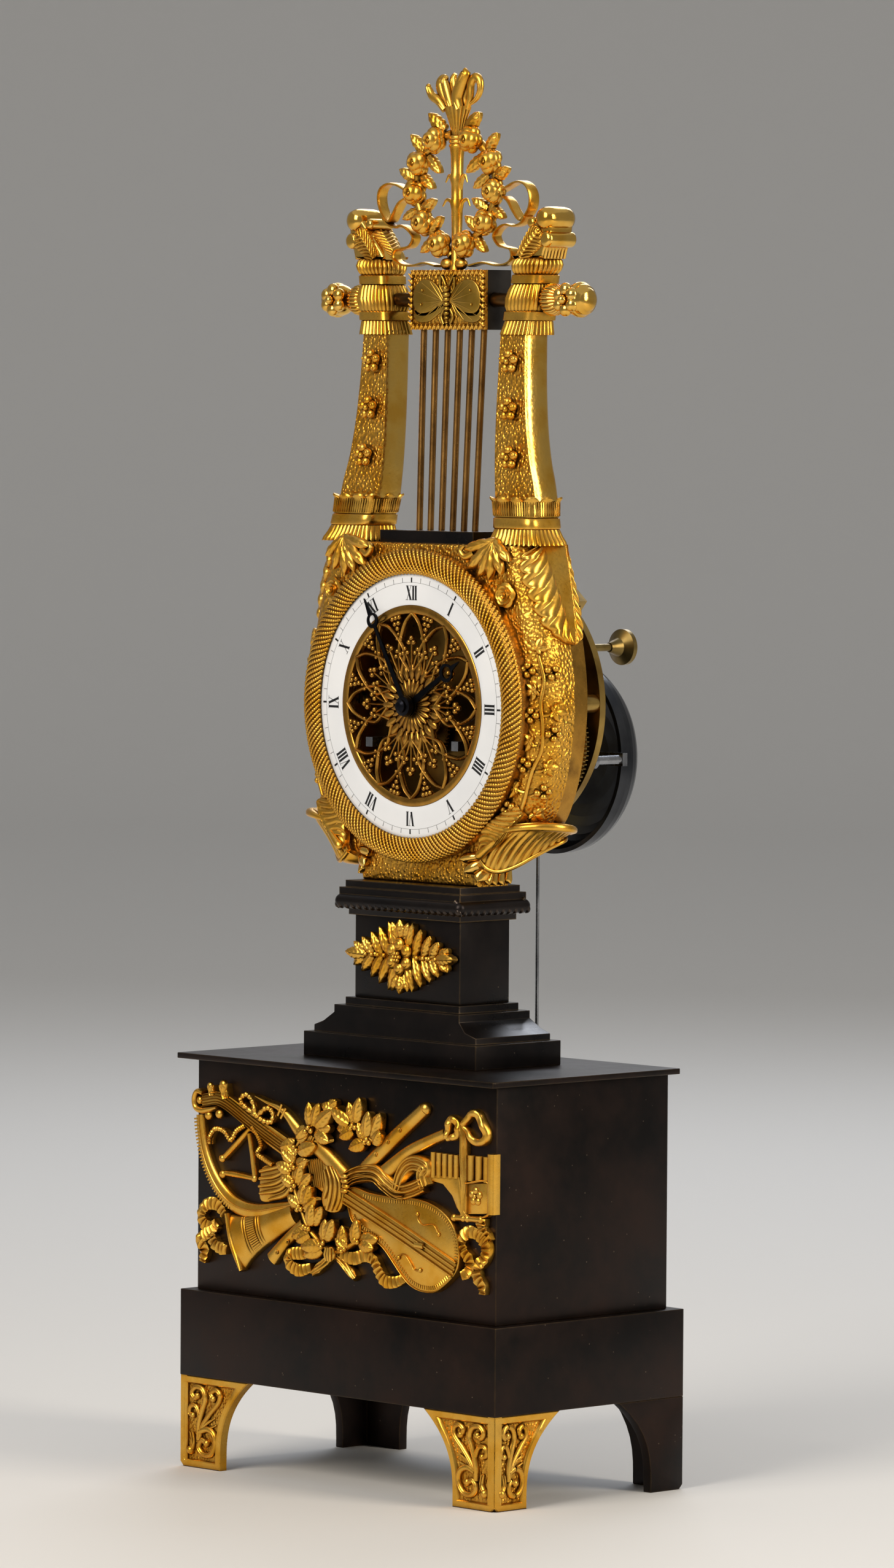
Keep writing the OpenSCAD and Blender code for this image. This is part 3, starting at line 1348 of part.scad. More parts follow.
// Stand that reaches round the pendulum to the middle of the bell, and its nut
module bell_stand() color(bright_steel) placed() {
    foot_x = plate_r - 7.2;
    strap_y = pendulum_y + 1.7;
    z = bell_at[1];
    rod_y_dir([foot_x, z], 3, back_y, back_y + 1.6);
    rod_y_dir([foot_x, z], 1.6, back_y, strap_y + 1);
    translate([-2.6, strap_y, z - 2.2]) cube([foot_x + 4.4, 2.2, 4.4]);
    rod_y_dir([0, z], 2.2, strap_y + 1, bell_y + bell_d - bell_wall);
    rod_y_dir([0, z], 1.3, strap_y + 1, bell_y + bell_d + 4);
    difference() {
        rod_y_dir([0, z], 3.6, bell_y + bell_d, bell_y + bell_d + 2.8);
        rod_y_dir([0, z], 1.3 + case_gap, bell_y + bell_d - 1, bell_y + bell_d + 4);
    }
}

// Hammer: tail by the lifting pins, arbor through the plates, head in the bell
module hammer() color(bright_steel) placed() {
    tail = 12.6 - pin_circle_r - lift_pin_r - part_gap;
    out = hammer_head_at - hammer_at;
    arbor_end = back_y + 6.6;
    rod_y_dir(hammer_at, 0.9, front_plate_y + 0.4, arbor_end);
    upright(pin_wheel_y - 2.2, 1.6) translate(hammer_at) {
        circle(r = 1.8);
        rotate(atan2(pin_at[1] - hammer_at[1], pin_at[0] - hammer_at[0]))
            translate([0, -0.7]) square([tail, 1.4]);
    }
    upright(back_y + 4.5, 2) {
        translate(hammer_at) circle(r = 2.2);
        translate(hammer_at) rotate(atan2(out[1], out[0])) translate([0, -0.9])
            square([norm(out), 1.8]);
        translate(hammer_head_at) circle(r = 1.4);
    }
    rod_y_dir(hammer_head_at, 0.9, back_y + 5, bell_y - 2);
    rod_y_dir(hammer_head_at, 2.8, bell_y - 2.2, bell_y + 4);
}

// Count wheel on the strike barrel's pipe, notched between the hours
module count_wheel() color(dull_brass) placed() {
    r = 13;
    strokes = 90;
    upright(back_y + 1.5, 1.4) translate(strike_barrel_at) difference() {
        circle(r = r);
        circle(r = 2.9);
        for (h = [0:11]) rotate((h * (h + 1) / 2 + h) * 360 / strokes)
            translate([r - 1.6, -0.45]) square([3, 0.9]);
        for (i = [0:4]) rotate(72 * i) translate([7.6, 0]) circle(r = 2.6);
    }
}

module pin_wheel() color(dull_brass) placed() {
    crossed_wheel(pin_at, pin_wheel_y, pin_teeth, pin_module, pin_phase, 2.2, 4);
    rod_y_dir(pin_at, 1, gap_y + part_gap, back_plate_y - part_gap);
    rod_y_dir(pin_at, fine_r, front_plate_y + 0.4, back_y - 0.2);
    pinion(pin_at, strike_wheel_y - 1, strike_wheel_y + 2.2, pin_leaves, strike_module, pin_phase);
    for (i = [0:lift_pins - 1]) rod_y_dir(polar(pin_at, pin_circle_r, pin_phase
        + (i + 0.5) * 360 / lift_pins), lift_pin_r, pin_wheel_y - 2.4, pin_wheel_y + 0.2);
}

module locking_wheel() color(dull_brass) placed() {
    crossed_wheel(locking_at, locking_wheel_y, locking_teeth, locking_module, locking_phase, 1.8, 4);
    arbor(locking_at, pin_wheel_y + 1.9);
    pinion(locking_at, pin_wheel_y - 0.6, pin_wheel_y + 2, locking_leaves, pin_module,
        locking_phase);
    rod_y_dir(polar(locking_at, 5.6, locking_phase), 0.35, locking_wheel_y - 1.6,
        locking_wheel_y + 0.2);
}

// The fly: an air brake of thin sheet on the last arbor
module fly() color(dull_brass) placed() {
    arbor(fly_at, locking_wheel_y + 1.9);
    pinion(fly_at, locking_wheel_y - 0.8, locking_wheel_y + 2, fly_leaves, locking_module, fly_phase);
    translate([fly_at[0] - 6.2, locking_wheel_y + 4, fly_at[1] - 0.2]) cube([12.4, 11, 0.4]);
    rod_y_dir(fly_at, 1, locking_wheel_y + 4, locking_wheel_y + 15);
}

base_band();
base_box();
base_top_slab();
front_left_foot();
front_right_foot();
rear_left_foot();
rear_right_foot();
trophy_mount();
pedestal_base();
pedestal_die();
pedestal_cornice();
leaf_spray_mount();
tie_rod();
lyre_case();
left_arm();
right_arm();
arm_foot_collars();
arm_capitals();
arm_finials();
string_bar();
strings();
yoke_block();
yoke_plaque();
cross_rod();
flower_knobs();
rose_crest();
bezel();
enamel_ring();
dial_openwork();
hour_hand();
minute_hand();
hand_collet();
front_plate();
back_plate();
plate_pillars();
movement_straps();
movement_screws();
going_barrel();
going_arbor();
strike_barrel();
strike_arbor();
centre_wheel();
third_wheel();
escape_wheel();
pallet_anchor();
suspension_cock();
regulator_arbor();
silk_loop();
pendulum_rod();
pendulum_bob();
cannon_pinion();
minute_wheel();
hour_wheel();
bell();
bell_stand();
hammer();
count_wheel();
pin_wheel();
locking_wheel();
fly();
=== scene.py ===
# %% [markdown]
# # A gilt lyre clock on a dark bronze plinth
# The clock is a bronze founder's work: a lyre cast in parts, chased, stippled and fire-gilt, on a
# pedestal and a box of brown-black patinated bronze. This lesson loads the engineering model as a
# fixed frame, then dresses each part in the relief and the finishes that the real one has.
# %% Load the frame
import math

import bmesh
import bpy
import numpy as np
from mathutils import Matrix, Vector


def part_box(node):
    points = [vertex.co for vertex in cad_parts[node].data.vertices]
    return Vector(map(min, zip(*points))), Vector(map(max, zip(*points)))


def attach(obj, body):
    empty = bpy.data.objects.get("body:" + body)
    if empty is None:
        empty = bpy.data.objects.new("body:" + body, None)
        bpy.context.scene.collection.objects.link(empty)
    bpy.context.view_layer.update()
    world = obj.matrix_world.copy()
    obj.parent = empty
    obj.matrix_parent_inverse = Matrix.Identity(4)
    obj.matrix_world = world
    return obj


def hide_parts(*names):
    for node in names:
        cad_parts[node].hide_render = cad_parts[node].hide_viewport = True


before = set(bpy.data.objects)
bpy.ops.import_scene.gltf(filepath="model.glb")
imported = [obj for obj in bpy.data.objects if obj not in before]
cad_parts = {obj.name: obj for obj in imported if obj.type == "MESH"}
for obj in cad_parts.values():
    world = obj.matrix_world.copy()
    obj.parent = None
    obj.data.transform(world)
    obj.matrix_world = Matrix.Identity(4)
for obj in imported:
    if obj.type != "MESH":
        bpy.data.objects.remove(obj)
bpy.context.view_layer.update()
MM = 0.001
# The frame sits a little forward of the plinth's middle; the lyre's front face is at y = -6 mm
BACK_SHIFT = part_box("lyre_case")[0].y / MM + 6.0
DIAL_X, DIAL_Z = 0.0, (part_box("enamel_ring")[0].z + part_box("enamel_ring")[1].z) / 2 / MM


# %% [markdown]
# Shapes are gathered in millimetres in a Form, a growing list of points and faces. A Form can be
# mirrored or turned about the dial, and becomes one Blender object when it is finished.
# %% A form that grows, and the step that makes it a piece
class Form:
    """Points in millimetres (x right, y back, z up) with their faces."""

    def __init__(self, points=(), faces=()):
        self.points = np.array(points, float).reshape(-1, 3)
        self.faces = [tuple(f) for f in faces]

    def add(self, *others):
        for other in others:
            start = len(self.points)
            self.points = np.vstack([self.points, other.points])
            self.faces += [tuple(i + start for i in f) for f in other.faces]
        return self

    def shifted(self, x, y, z):
        return Form(self.points + np.array([x, y, z]), self.faces)

    def scaled(self, x=1.0, y=1.0, z=1.0):
        faces = self.faces if x * y * z > 0 else [f[::-1] for f in self.faces]
        return Form(self.points * np.array([x, y, z]), faces)

    def turned(self, degrees):
        """Turned about the axis that runs to the back."""
        m = np.array(Matrix.Rotation(math.radians(degrees), 3, "Y"))
        return Form(self.points @ m.T, self.faces)

    def both_sides(self):
        return Form(self.points, self.faces).add(self.scaled(x=-1))


def linked(name, mesh):
    obj = bpy.data.objects.new(name, mesh)
    bpy.context.scene.collection.objects.link(obj)
    return obj


def edited(mesh, step=None):
    """Runs a step of mesh editing, and then turns all faces outwards."""
    edit = bmesh.new()
    edit.from_mesh(mesh)
    if step:
        step(edit)
    bmesh.ops.recalc_face_normals(edit, faces=edit.faces)
    edit.to_mesh(mesh)
    edit.free()


def dressed(obj, finish, replaces="", slot="gilt_bronze", sharp=38):
    """Gives a mesh its finish, and says what it rides on and what it replaces; slot is not used."""
    mesh = obj.data
    for p in mesh.polygons:
        p.use_smooth = True
    mesh.set_sharp_from_angle(angle=math.radians(sharp))
    mesh.materials.clear()
    for m in finish if isinstance(finish, tuple) else (finish,):
        mesh.materials.append(m)
    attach(obj, "case")
    if replaces:
        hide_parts(*replaces.split())
    print(f"{obj.name}: {len(mesh.polygons)} faces")
    return obj


def piece(name, form, finish, **more):
    mesh = bpy.data.meshes.new(name)
    mesh.from_pydata(((form.points + np.array([0, BACK_SHIFT, 0])) * MM).tolist(), [], form.faces)
    edited(mesh, lambda e: bmesh.ops.remove_doubles(e, verts=e.verts, dist=2e-7))
    return dressed(linked(name, mesh), finish, **more)


# %% [markdown]
# Castings are mostly turned, swept or lofted. These helpers return Forms: a lathe about an axis
# that runs to the back, a tube along a path, a loft of equal rings, and a small ball for berries.
# %% Lathe, loft, tube and ball
def loft(rings, close_ends=True, wrap=False):
    rings = [np.asarray(r, float) for r in rings]
    n, count = len(rings[0]), len(rings)
    faces = []
    for j in range(count if wrap else count - 1):
        a, b = j * n, ((j + 1) % count) * n
        for i in range(n):
            k = (i + 1) % n
            faces.append((a + i, a + k, b + k, b + i))
    if close_ends and not wrap:
        faces.append(tuple(range(n - 1, -1, -1)))
        faces.append(tuple((count - 1) * n + i for i in range(n)))
    return Form(np.vstack(rings), faces)


def ring(radius, y, steps, x=0.0, z=0.0):
    """A circle that faces the front; its radius and depth may change round it."""
    t = np.linspace(0, 2 * np.pi, steps, endpoint=False)
    y = np.broadcast_to(y, steps)
    return np.column_stack([x + radius * np.cos(t), y, z + radius * np.sin(t)])


def lathe(profile, steps, x=0.0, z=0.0, closed=False):
    """profile holds (radius, y); a closed profile is a ring, an open one ends on the axis."""
    return loft([ring(r, y, steps, x, z) for r, y in profile], not closed, closed)


def smooth_path(points, steps):
    """Catmull-Rom line through the points."""
    p = np.array(points, float)
    p = np.vstack([2 * p[0] - p[1], p, 2 * p[-1] - p[-2]])
    out = []
    for i in range(1, len(p) - 2):
        for t in np.linspace(0, 1, max(2, steps // (len(p) - 3)), endpoint=False):
            a, b, c, d = p[i - 1], p[i], p[i + 1], p[i + 2]
            out.append(0.5 * (2 * b + (c - a) * t + (2 * a - 5 * b + 4 * c - d) * t * t
                              + (3 * b - a - 3 * c + d) * t ** 3))
    out.append(p[-2])
    return np.array(out)


def flat_path(points, y, steps):
    """A smooth line in the upright plane at y, through (x, z) points."""
    return smooth_path([(x, y, z) for x, z in points], steps)


def around(count, radius, start=0.0):
    """Places round a circle, each (sideways, up) from its middle."""
    turns = [2 * math.pi * i / count + start for i in range(count)]
    return [(radius * math.cos(a), radius * math.sin(a)) for a in turns]


def frames_along(path, normal):
    """Tangent, side and normal at each point, with the normal kept near the one given."""
    t = np.gradient(path, axis=0)
    t /= np.linalg.norm(t, axis=1)[:, None] + 1e-12
    n = np.broadcast_to(np.asarray(normal, float), path.shape).copy()
    n -= (n * t).sum(1)[:, None] * t
    n /= np.linalg.norm(n, axis=1)[:, None] + 1e-12
    return t, np.cross(t, n), n


def tube(path, radius, sides, normal=(0, -1, 0), flat=1.0, square=2.0):
    """A rod along the path; flat squeezes it along the normal and square fattens its corners."""
    path = np.asarray(path, float)
    r = np.broadcast_to(np.asarray(radius, float), (len(path),))
    _, side, n = frames_along(path, normal)
    a = np.linspace(0, 2 * np.pi, sides, endpoint=False) + np.pi / sides
    ca, sa = np.cos(a), np.sin(a)
    k = 2.0 / square
    ca, sa = np.sign(ca) * np.abs(ca) ** k, np.sign(sa) * np.abs(sa) ** k
    rings = [path[i] + r[i] * (ca[:, None] * side[i] + flat * sa[:, None] * n[i])
             for i in range(len(path))]
    return loft(rings)


def ball(x, y, z, r, steps=8, squash=(1, 1, 1)):
    lat = np.linspace(-np.pi / 2, np.pi / 2, max(4, steps // 2 + 2))[1:-1]
    f = loft([ring(np.cos(a), np.sin(a), steps) for a in lat], close_ends=False)
    tip, last = len(f.points), len(f.points) - steps
    f.points = np.vstack([f.points, [[0, -1, 0], [0, 1, 0]]]) * squash * r + [x, y, z]
    for i in range(steps):
        k = (i + 1) % steps
        f.faces += [(tip, k, i), (tip + 1, last + i, last + k)]
    return f


print("shape helpers ready")


# %% [markdown]
# Nearly all the relief is leaves: acanthus, bay, ivy, feathers and petals. On a real casting each
# is a crowned blade whose lobes are rounded ridges that run slantwise from the midrib, with a
# scalloped edge. One function draws them all: the blade follows a path, and the ridges and the
# notches of the edge share one wave, so that each lobe ends in its own rounded tip.
# %% One leaf for every ornament
def along_path(path, normal=(0, -1, 0)):
    """Returns a place function, that sets leaves and bars on a line in space, and its length."""
    path = np.asarray(path, float)
    _, side, n = frames_along(path, normal)
    run = np.concatenate([[0], np.cumsum(np.linalg.norm(np.diff(path, axis=0), axis=1))])

    def place(s, across, height):
        at = lambda a: np.stack([np.interp(s, run, a[:, i]) for i in range(3)], -1)
        return at(path) + at(side) * across[..., None] + at(n) * height[..., None]
    return place, run[-1]


def sheet(place, s, across, top, bottom):
    """A closed sheet from grids of lengths, widths, and heights of its two faces."""
    rows, cols = across.shape
    points = np.vstack([place(s, across, h).reshape(-1, 3) for h in (top, bottom)])
    faces, half = [], rows * cols
    for i in range(rows - 1):
        for j in range(cols - 1):
            a = i * cols + j
            faces.append((a, a + 1, a + cols + 1, a + cols))
            faces.append((half + a, half + a + cols, half + a + cols + 1, half + a + 1))
        for j in (0, cols - 1):
            a = i * cols + j
            faces.append((a, a + cols, half + a + cols, half + a))
    for i in (0, rows - 1):
        for j in range(cols - 1):
            a = i * cols + j
            faces.append((a, half + a, half + a + 1, a + 1))
    return Form(points, faces)


def leaf(place, length, width, other=None, thick=1.0, lobes=5, slant=0.9, notch=0.25, ridge=0.5,
         rib=0.4, crown=0.5, point=0.55, base=0.35, rows=40, cols=14, sink=0.3):
    """width and other are the half widths left and right of the midrib; point and base shape the
    outline's two ends."""
    u = np.linspace(0, 1, rows)[:, None]
    v = np.linspace(-1, 1, cols * 2 + 1)[None, :]
    outline = (np.clip(u / base, 0, 1) ** 0.6 * 0.5 + 0.5) * np.clip((1 - u) / point, 0, 1) ** 0.5
    wave = np.abs(np.sin(np.pi * (lobes * u - slant * np.abs(v))))
    edge = 1 - notch * (1 - np.abs(np.sin(np.pi * (lobes * u - slant))) ** 0.7)
    half = np.where(v < 0, width, width if other is None else other)
    full = np.clip(outline * 1.6, 0.15, 1)
    round_off = np.sqrt(np.clip(1 - v ** 2, 0, 1))
    ribbed = np.clip(np.abs(v) / 0.15, 0, 1)
    top = thick * (0.35 + crown * round_off) + rib * np.exp(-(v / 0.11) ** 2) * full
    top = top + ridge * wave ** 0.8 * round_off ** 0.5 * ribbed * full
    return sheet(place, u * length + 0 * v, v * half * outline * edge, top, -sink * thick + 0 * top)


PLAIN = dict(lobes=1, slant=0, notch=0, ridge=0)


def small_leaf(x, z, angle, length, width, y, lift=0.6, **more):
    """A leaf on an upright plane that faces the front; the angle is from +X towards +Z."""
    a = math.radians(angle)
    t = np.linspace(0, 1, 7)[:, None]
    path = np.array([x, y, z]) + np.array([math.cos(a), 0, math.sin(a)]) * length * t
    path = path - np.array([0, lift, 0]) * np.sin(np.pi * t * 0.8)
    given = PLAIN | dict(rib=0.25, crown=0.6, thick=0.8, rows=9, cols=3, point=0.7, base=0.5)
    return leaf(*along_path(path), width, **(given | more))


def leaf_to(x0, z0, x1, z1, width, y, **more):
    """A small leaf from its stalk's end to its tip."""
    angle = math.degrees(math.atan2(z1 - z0, x1 - x0))
    return small_leaf(x0, z0, angle, math.hypot(x1 - x0, z1 - z0), width, y, **more)


print("leaf ready")


# %% [markdown]
# The finishes. Colours are written as sRGB hex values and turned to Blender's linear values by one
# function. Each finish is a small node tree, so one helper adds a node with its settings and links.
# %% Colour and node helpers
def colour(value):
    """Linear colour of an sRGB hex value, or a plain grey for a number; sockets pass through."""
    if isinstance(value, (int, float)):
        return (value, value, value, 1.0)
    if not isinstance(value, str):
        return value
    channels = [int(value[i:i + 2], 16) / 255 for i in (1, 3, 5)]
    return tuple(c / 12.92 if c <= 0.04045 else ((c + 0.055) / 1.055) ** 2.4
                 for c in channels) + (1.0,)


def add_node(tree, kind, inputs=None, **settings):
    """Adds one node; inputs maps a socket's name or number to a value or to another socket."""
    made = tree.nodes.new(kind)
    for key, value in settings.items():
        setattr(made, key, value)
    for key, value in (inputs or {}).items():
        if isinstance(value, bpy.types.NodeSocket):
            tree.links.new(value, made.inputs[key])
        else:
            made.inputs[key].default_value = value
    return made


class Finish:
    """A material, with one short call for each kind of node that the finishes here use."""

    def __init__(self, name, **shader):
        self.material = bpy.data.materials.new(name)
        self.material.use_nodes = True
        self.tree = self.material.node_tree
        self.tree.nodes.clear()
        self.bsdf = self.add("BsdfPrincipled", shader)
        self.add("OutputMaterial", {"Surface": self.bsdf.outputs[0]})
        self.place = self.add("TexCoord").outputs["Object"]

    def add(self, kind, inputs=None, **settings):
        return add_node(self.tree, "ShaderNode" + kind, inputs, **settings)

    def noise(self, scale, detail=2.0, at=None, rough=0.5):
        return self.add("TexNoise", {"Vector": at or self.place, "Scale": scale, "Detail": detail,
                                     "Roughness": rough}).outputs["Fac"]

    def lines(self, x, y, z):
        """Fine noise drawn out along an axis, as polishing or drawing leaves it."""
        stretch = self.add("Mapping", {"Vector": self.place, "Scale": (x, y, z)})
        return self.noise(1.0, 3.0, stretch.outputs[0])

    def cells(self, scale, **settings):
        return self.add("TexVoronoi", {"Vector": self.place, "Scale": scale}, **settings)

    def maths(self, operation, *values):
        return self.add("Math", dict(enumerate(values)), operation=operation).outputs[0]

    def tone(self, value, low, high, start=0.0, end=1.0):
        return self.add("MapRange", {"Value": value, "From Min": start, "From Max": end,
                                     "To Min": low, "To Max": high}).outputs[0]

    def mix(self, share, below, above):
        return self.add("MixRGB", {"Fac": share, "Color1": colour(below),
                                   "Color2": colour(above)}).outputs[0]

    def ramp(self, source, *stops):
        """A ramp between two stops, each a place and a colour or a grey."""
        made = self.add("ValToRGB", {"Fac": source})
        for point, (place, value) in zip(made.color_ramp.elements, stops):
            point.position, point.color = place, colour(value)
        return made.outputs["Color"]

    # Painted shade: an ambient occlusion mask, ramped so that a colour darkens where surfaces close
    # in.
    def painted_shade_in_hollows(self, reach_mm, samples, *stops):
        shade = self.add("AmbientOcclusion", {"Distance": reach_mm * MM}, samples=samples)
        return self.ramp(shade.outputs["AO"], *stops)

    def surface(self, base, rough=None, height=None, strength=0.0, depth_mm=0.1):
        sources = {"Base Color": base, "Roughness": rough}
        if height:
            sources["Normal"] = self.add("Bump", {"Height": height, "Strength": strength,
                                                  "Distance": depth_mm * MM}).outputs[0]
        for socket, source in sources.items():
            if source:
                self.tree.links.new(source, self.bsdf.inputs[socket])
        return self.material


# %% [markdown]
# Fire-gilt bronze is a thin skin of gold on a chased casting. It is never one colour: it is pale
# and warm on the rubbed high places, and matt where the chaser's punch stippled it. Painted shade
# darkens the hollows: ambient occlusion turns them a dark orange-brown and makes them rougher.
# Voronoi cells give the punch marks, about 0.9 mm apart, and noise gives the uneven tarnish.
# %% Gilt finishes
def gilt(name, rough, stipple=0.0, pitch_mm=0.9, high="#f0bd55", mid="#d99b2b", deep="#472c10",
         tarnish="#9a6a22", tarnish_share=0.35, scratch=0.0, depth_mm=0.32):
    f = Finish(name, Metallic=1.0)
    patches, fine = f.noise(90.0, 5.0), f.noise(900.0, 3.0)
    worn = f.mix(f.ramp(patches, (0.52, 0), (0.72, tarnish_share)),
                 f.ramp(patches, (0.35, mid), (0.65, high)), tarnish)
    # Painted shade: ambient occlusion marks the hollows, which take the dark deep colour and more
    # roughness.
    hollow = f.painted_shade_in_hollows(2.2, 6, (0.25, 1), (0.85, 0))
    hollow_roughness = f.maths("MULTIPLY_ADD", hollow, 0.25, f.tone(fine, rough * 0.8, rough * 1.35))
    height, strength = fine, 0.05 + scratch * 0.1
    if stipple:
        cells = f.cells(1000.0 / pitch_mm, feature="SMOOTH_F1")
        cells.inputs["Randomness"].default_value = 0.85
        domes = f.tone(cells.outputs["Distance"], 1.0, 0.0, end=0.75)
        height, strength = f.maths("MULTIPLY_ADD", fine, 0.15, domes), stipple
    # The colour goes from worn to deep in the hollows: painted shade.
    return f.surface(f.mix(hollow, worn, deep), hollow_roughness, height, strength, depth_mm)


# Each gilt's deep colour is the painted shade colour of its hollows.
gilt_relief = gilt("fire_gilt_chased_relief", rough=0.27)
gilt_ground = gilt("fire_gilt_stippled_ground", stipple=1.0, pitch_mm=1.08, rough=0.32,
                   high="#e0aa45", mid="#c98c26", depth_mm=0.45)
gilt_bright = gilt("fire_gilt_burnished", rough=0.13, high="#f4c766", mid="#e3ab42", deep="#8a5412",
                   tarnish="#b58238", scratch=1.0)
gilt_dull = gilt("fire_gilt_rubbed_and_brown", rough=0.24, high="#c9963f", mid="#9d7030",
                 deep="#3f2408", tarnish="#5d4020", tarnish_share=0.8)
gilt_dull_light = gilt("fire_gilt_flat_relief", rough=0.3, high="#c9a04a", mid="#a8822f",
                       deep="#4a2c0a", tarnish="#7d602a", tarnish_share=0.5)
print("gilt finishes ready")


# %% [markdown]
# The plinth is bronze given a brown-black patina with chemicals and wax. It is satin, mottled with
# red-brown where it is thin, finely scratched, and rubbed to bare brassy metal along its edges. A
# Bevel node turns the shading normal near an edge, and where that differs from the real normal
# the edge colour comes in, so the wear follows every edge of any mesh.
# %% Patinated bronze
def patina(name, dark="#120e0c", brown="#2a1b14", edge="#9a7c4c", rough=0.34, wear=0.5):
    f = Finish(name, Metallic=0.75)
    cloud = f.noise(28.0, 7.0, rough=0.65)
    specks = f.ramp(f.cells(220.0).outputs["Distance"], (0.03, 0.55), (0.06, 0))
    dusty = f.mix(specks, f.ramp(cloud, (0.38, dark), (0.68, brown)), "#80705f")
    rounded = f.add("Bevel", {"Radius": 0.7 * MM}, samples=4).outputs[0]
    true = f.add("NewGeometry").outputs["True Normal"]
    dot = f.add("VectorMath", {0: rounded, 1: true}, operation="DOT_PRODUCT").outputs["Value"]
    broken = f.maths("MULTIPLY", f.maths("SUBTRACT", 1.0, dot), f.noise(350.0, 4.0))
    share = f.maths("MULTIPLY", f.ramp(broken, (0.02, 0), (0.25, 1)), wear)
    return f.surface(f.mix(share, dusty, edge), f.tone(cloud, rough - 0.07, rough + 0.1, 0.3, 0.7),
                     f.lines(900.0, 900.0, 40.0), 0.12, 0.05)


patinated = patina("patinated_bronze_plinth")
patinated_black = patina("patinated_bronze_pedestal", dark="#110f10", brown="#231c19", rough=0.3)
patinated_rubbed = patina("patinated_bronze_rubbed_gadroons", dark="#1f1b1a", brown="#40362f",
                          edge="#a8926c", rough=0.25, wear=0.9)
print("patina ready")


# %% [markdown]
# The dial is white enamel: glass fused on copper, glossy, faintly cool, and painted with black
# vitreous paint. The hands are steel polished and blued almost to black. The movement is brass
# under old lacquer, its arbors are grey steel, and the bell is turned grey bell metal.
# %% Enamel, steel, brass and bell metal
def plain_metal(name, light, dark, rough, brushed=(700.0, 700.0, 700.0), metallic=1.0):
    f = Finish(name, Metallic=metallic)
    base = f.ramp(f.noise(60.0, 6.0), (0.35, dark), (0.62, light))
    # Painted shade: ambient occlusion darkens the hollows towards a near-black brown.
    base_with_painted_shade = f.mix(f.painted_shade_in_hollows(1.5, 4, (0.3, 0.8), (0.8, 0)), base, "#1c140a")
    lines = f.lines(*brushed)
    return f.surface(base_with_painted_shade, f.tone(lines, rough * 0.8, rough * 1.3), lines, 0.06)


clock_brass = plain_metal("lacquered_clock_brass", "#b0914f", "#7d6230", 0.3)
dull_brass = plain_metal("old_regulator_brass", "#8f7a48", "#5e4c28", 0.34)
steel = plain_metal("polished_grey_steel", "#a4a6aa", "#6f7175", 0.25)
blued = plain_metal("blued_steel_hands", "#1d1e23", "#0f1013", 0.32)
dark_steel = plain_metal("dark_grey_steel_block", "#4f4b47", "#322f2d", 0.34)
rod_bronze = plain_metal("brown_bronze_rod", "#5f4526", "#3a2813", 0.32)
bell_metal = plain_metal("turned_bell_metal", "#4a4c50", "#34363a", 0.3, (60.0, 2500.0, 60.0))
string_brass = plain_metal("drawn_brass_strings", "#a77c42", "#6d4d28", 0.28)
silk = plain_metal("twisted_silk", "#6b5a45", "#4e4032", 0.8, metallic=0.0)


def enamel_white():
    f = Finish("white_fired_enamel", Roughness=0.12, IOR=1.52,
               **{"Coat Weight": 0.6, "Coat Roughness": 0.04})
    return f.surface(f.ramp(f.noise(35.0, 4.0), (0.3, "#dfe2e6"), (0.7, "#eceef0")),
                     height=f.noise(160.0), strength=0.05)


def dial_black():
    f = Finish("black_vitreous_paint", Roughness=0.3, IOR=1.5)
    return f.surface(f.ramp(f.noise(500.0, 3.0), (0.4, "#0e0e10"), (0.75, "#26262a")))


enamel, paint = enamel_white(), dial_black()
print(len(bpy.data.materials), "finishes ready")

# %% [markdown]
# The lyre's body is one hollow casting, bored to take the movement. Its front is flat round the
# dial, rolls over a wide corner into the sides, and ends in a burnished band at the back. The
# outline is drawn once as half widths; the same outline gives skin(), the place on the rolled
# corner where the vine and the shoulder leaves lie.
# %% The lyre's body
FRONT, BACK, BORE = -6.0, 14.6, 45.5
HALF_WIDTH = flat_path([(28, 201.2), (29.5, 207), (38, 214), (48.5, 222), (54, 232), (57.6, 245),
                        (59.5, 262), (58.3, 277), (55, 292), (51, 305), (47.5, 315.2)], 0, 120)
ROLL_X, ROLL_Y = 8.0, 9.6
ROLL = math.pi / 2 * math.sqrt((ROLL_X ** 2 + ROLL_Y ** 2) / 2)
GROUND_BACK = 8.0


def half_width(z):
    return np.interp(z, HALF_WIDTH[:, 2], HALF_WIDTH[:, 0])


def skin(a, z, h, side):
    """The point h mm off the body at height z; a is the way round the corner from the front."""
    a, z, h = np.broadcast_arrays(np.asarray(a, float), z, h)
    width = half_width(z)
    phi = np.clip(a / ROLL, 0, 1) * math.pi / 2
    x = width - ROLL_X + ROLL_X * np.sin(phi) + np.minimum(a, 0)
    y = FRONT + ROLL_Y * (1 - np.cos(phi)) + np.maximum(a - ROLL, 0)
    n = np.stack([np.sin(phi) / ROLL_X, -np.cos(phi) / ROLL_Y,
                  -(half_width(z + 0.5) - half_width(z - 0.5)) * np.sin(phi) / ROLL_X], -1)
    n /= np.linalg.norm(n, axis=-1)[..., None]
    return (np.stack([x, y, z], -1) + n * h[..., None]) * np.array([side, 1, 1])


def along_skin(a, z, angle, side):
    """Place function for an ornament that grows over the skin; angle 0 points to the back."""
    c, s = math.cos(math.radians(angle)), math.sin(math.radians(angle))
    return lambda u, v, h: skin(a + u * c - v * s, z + u * s + v * c, h, side)


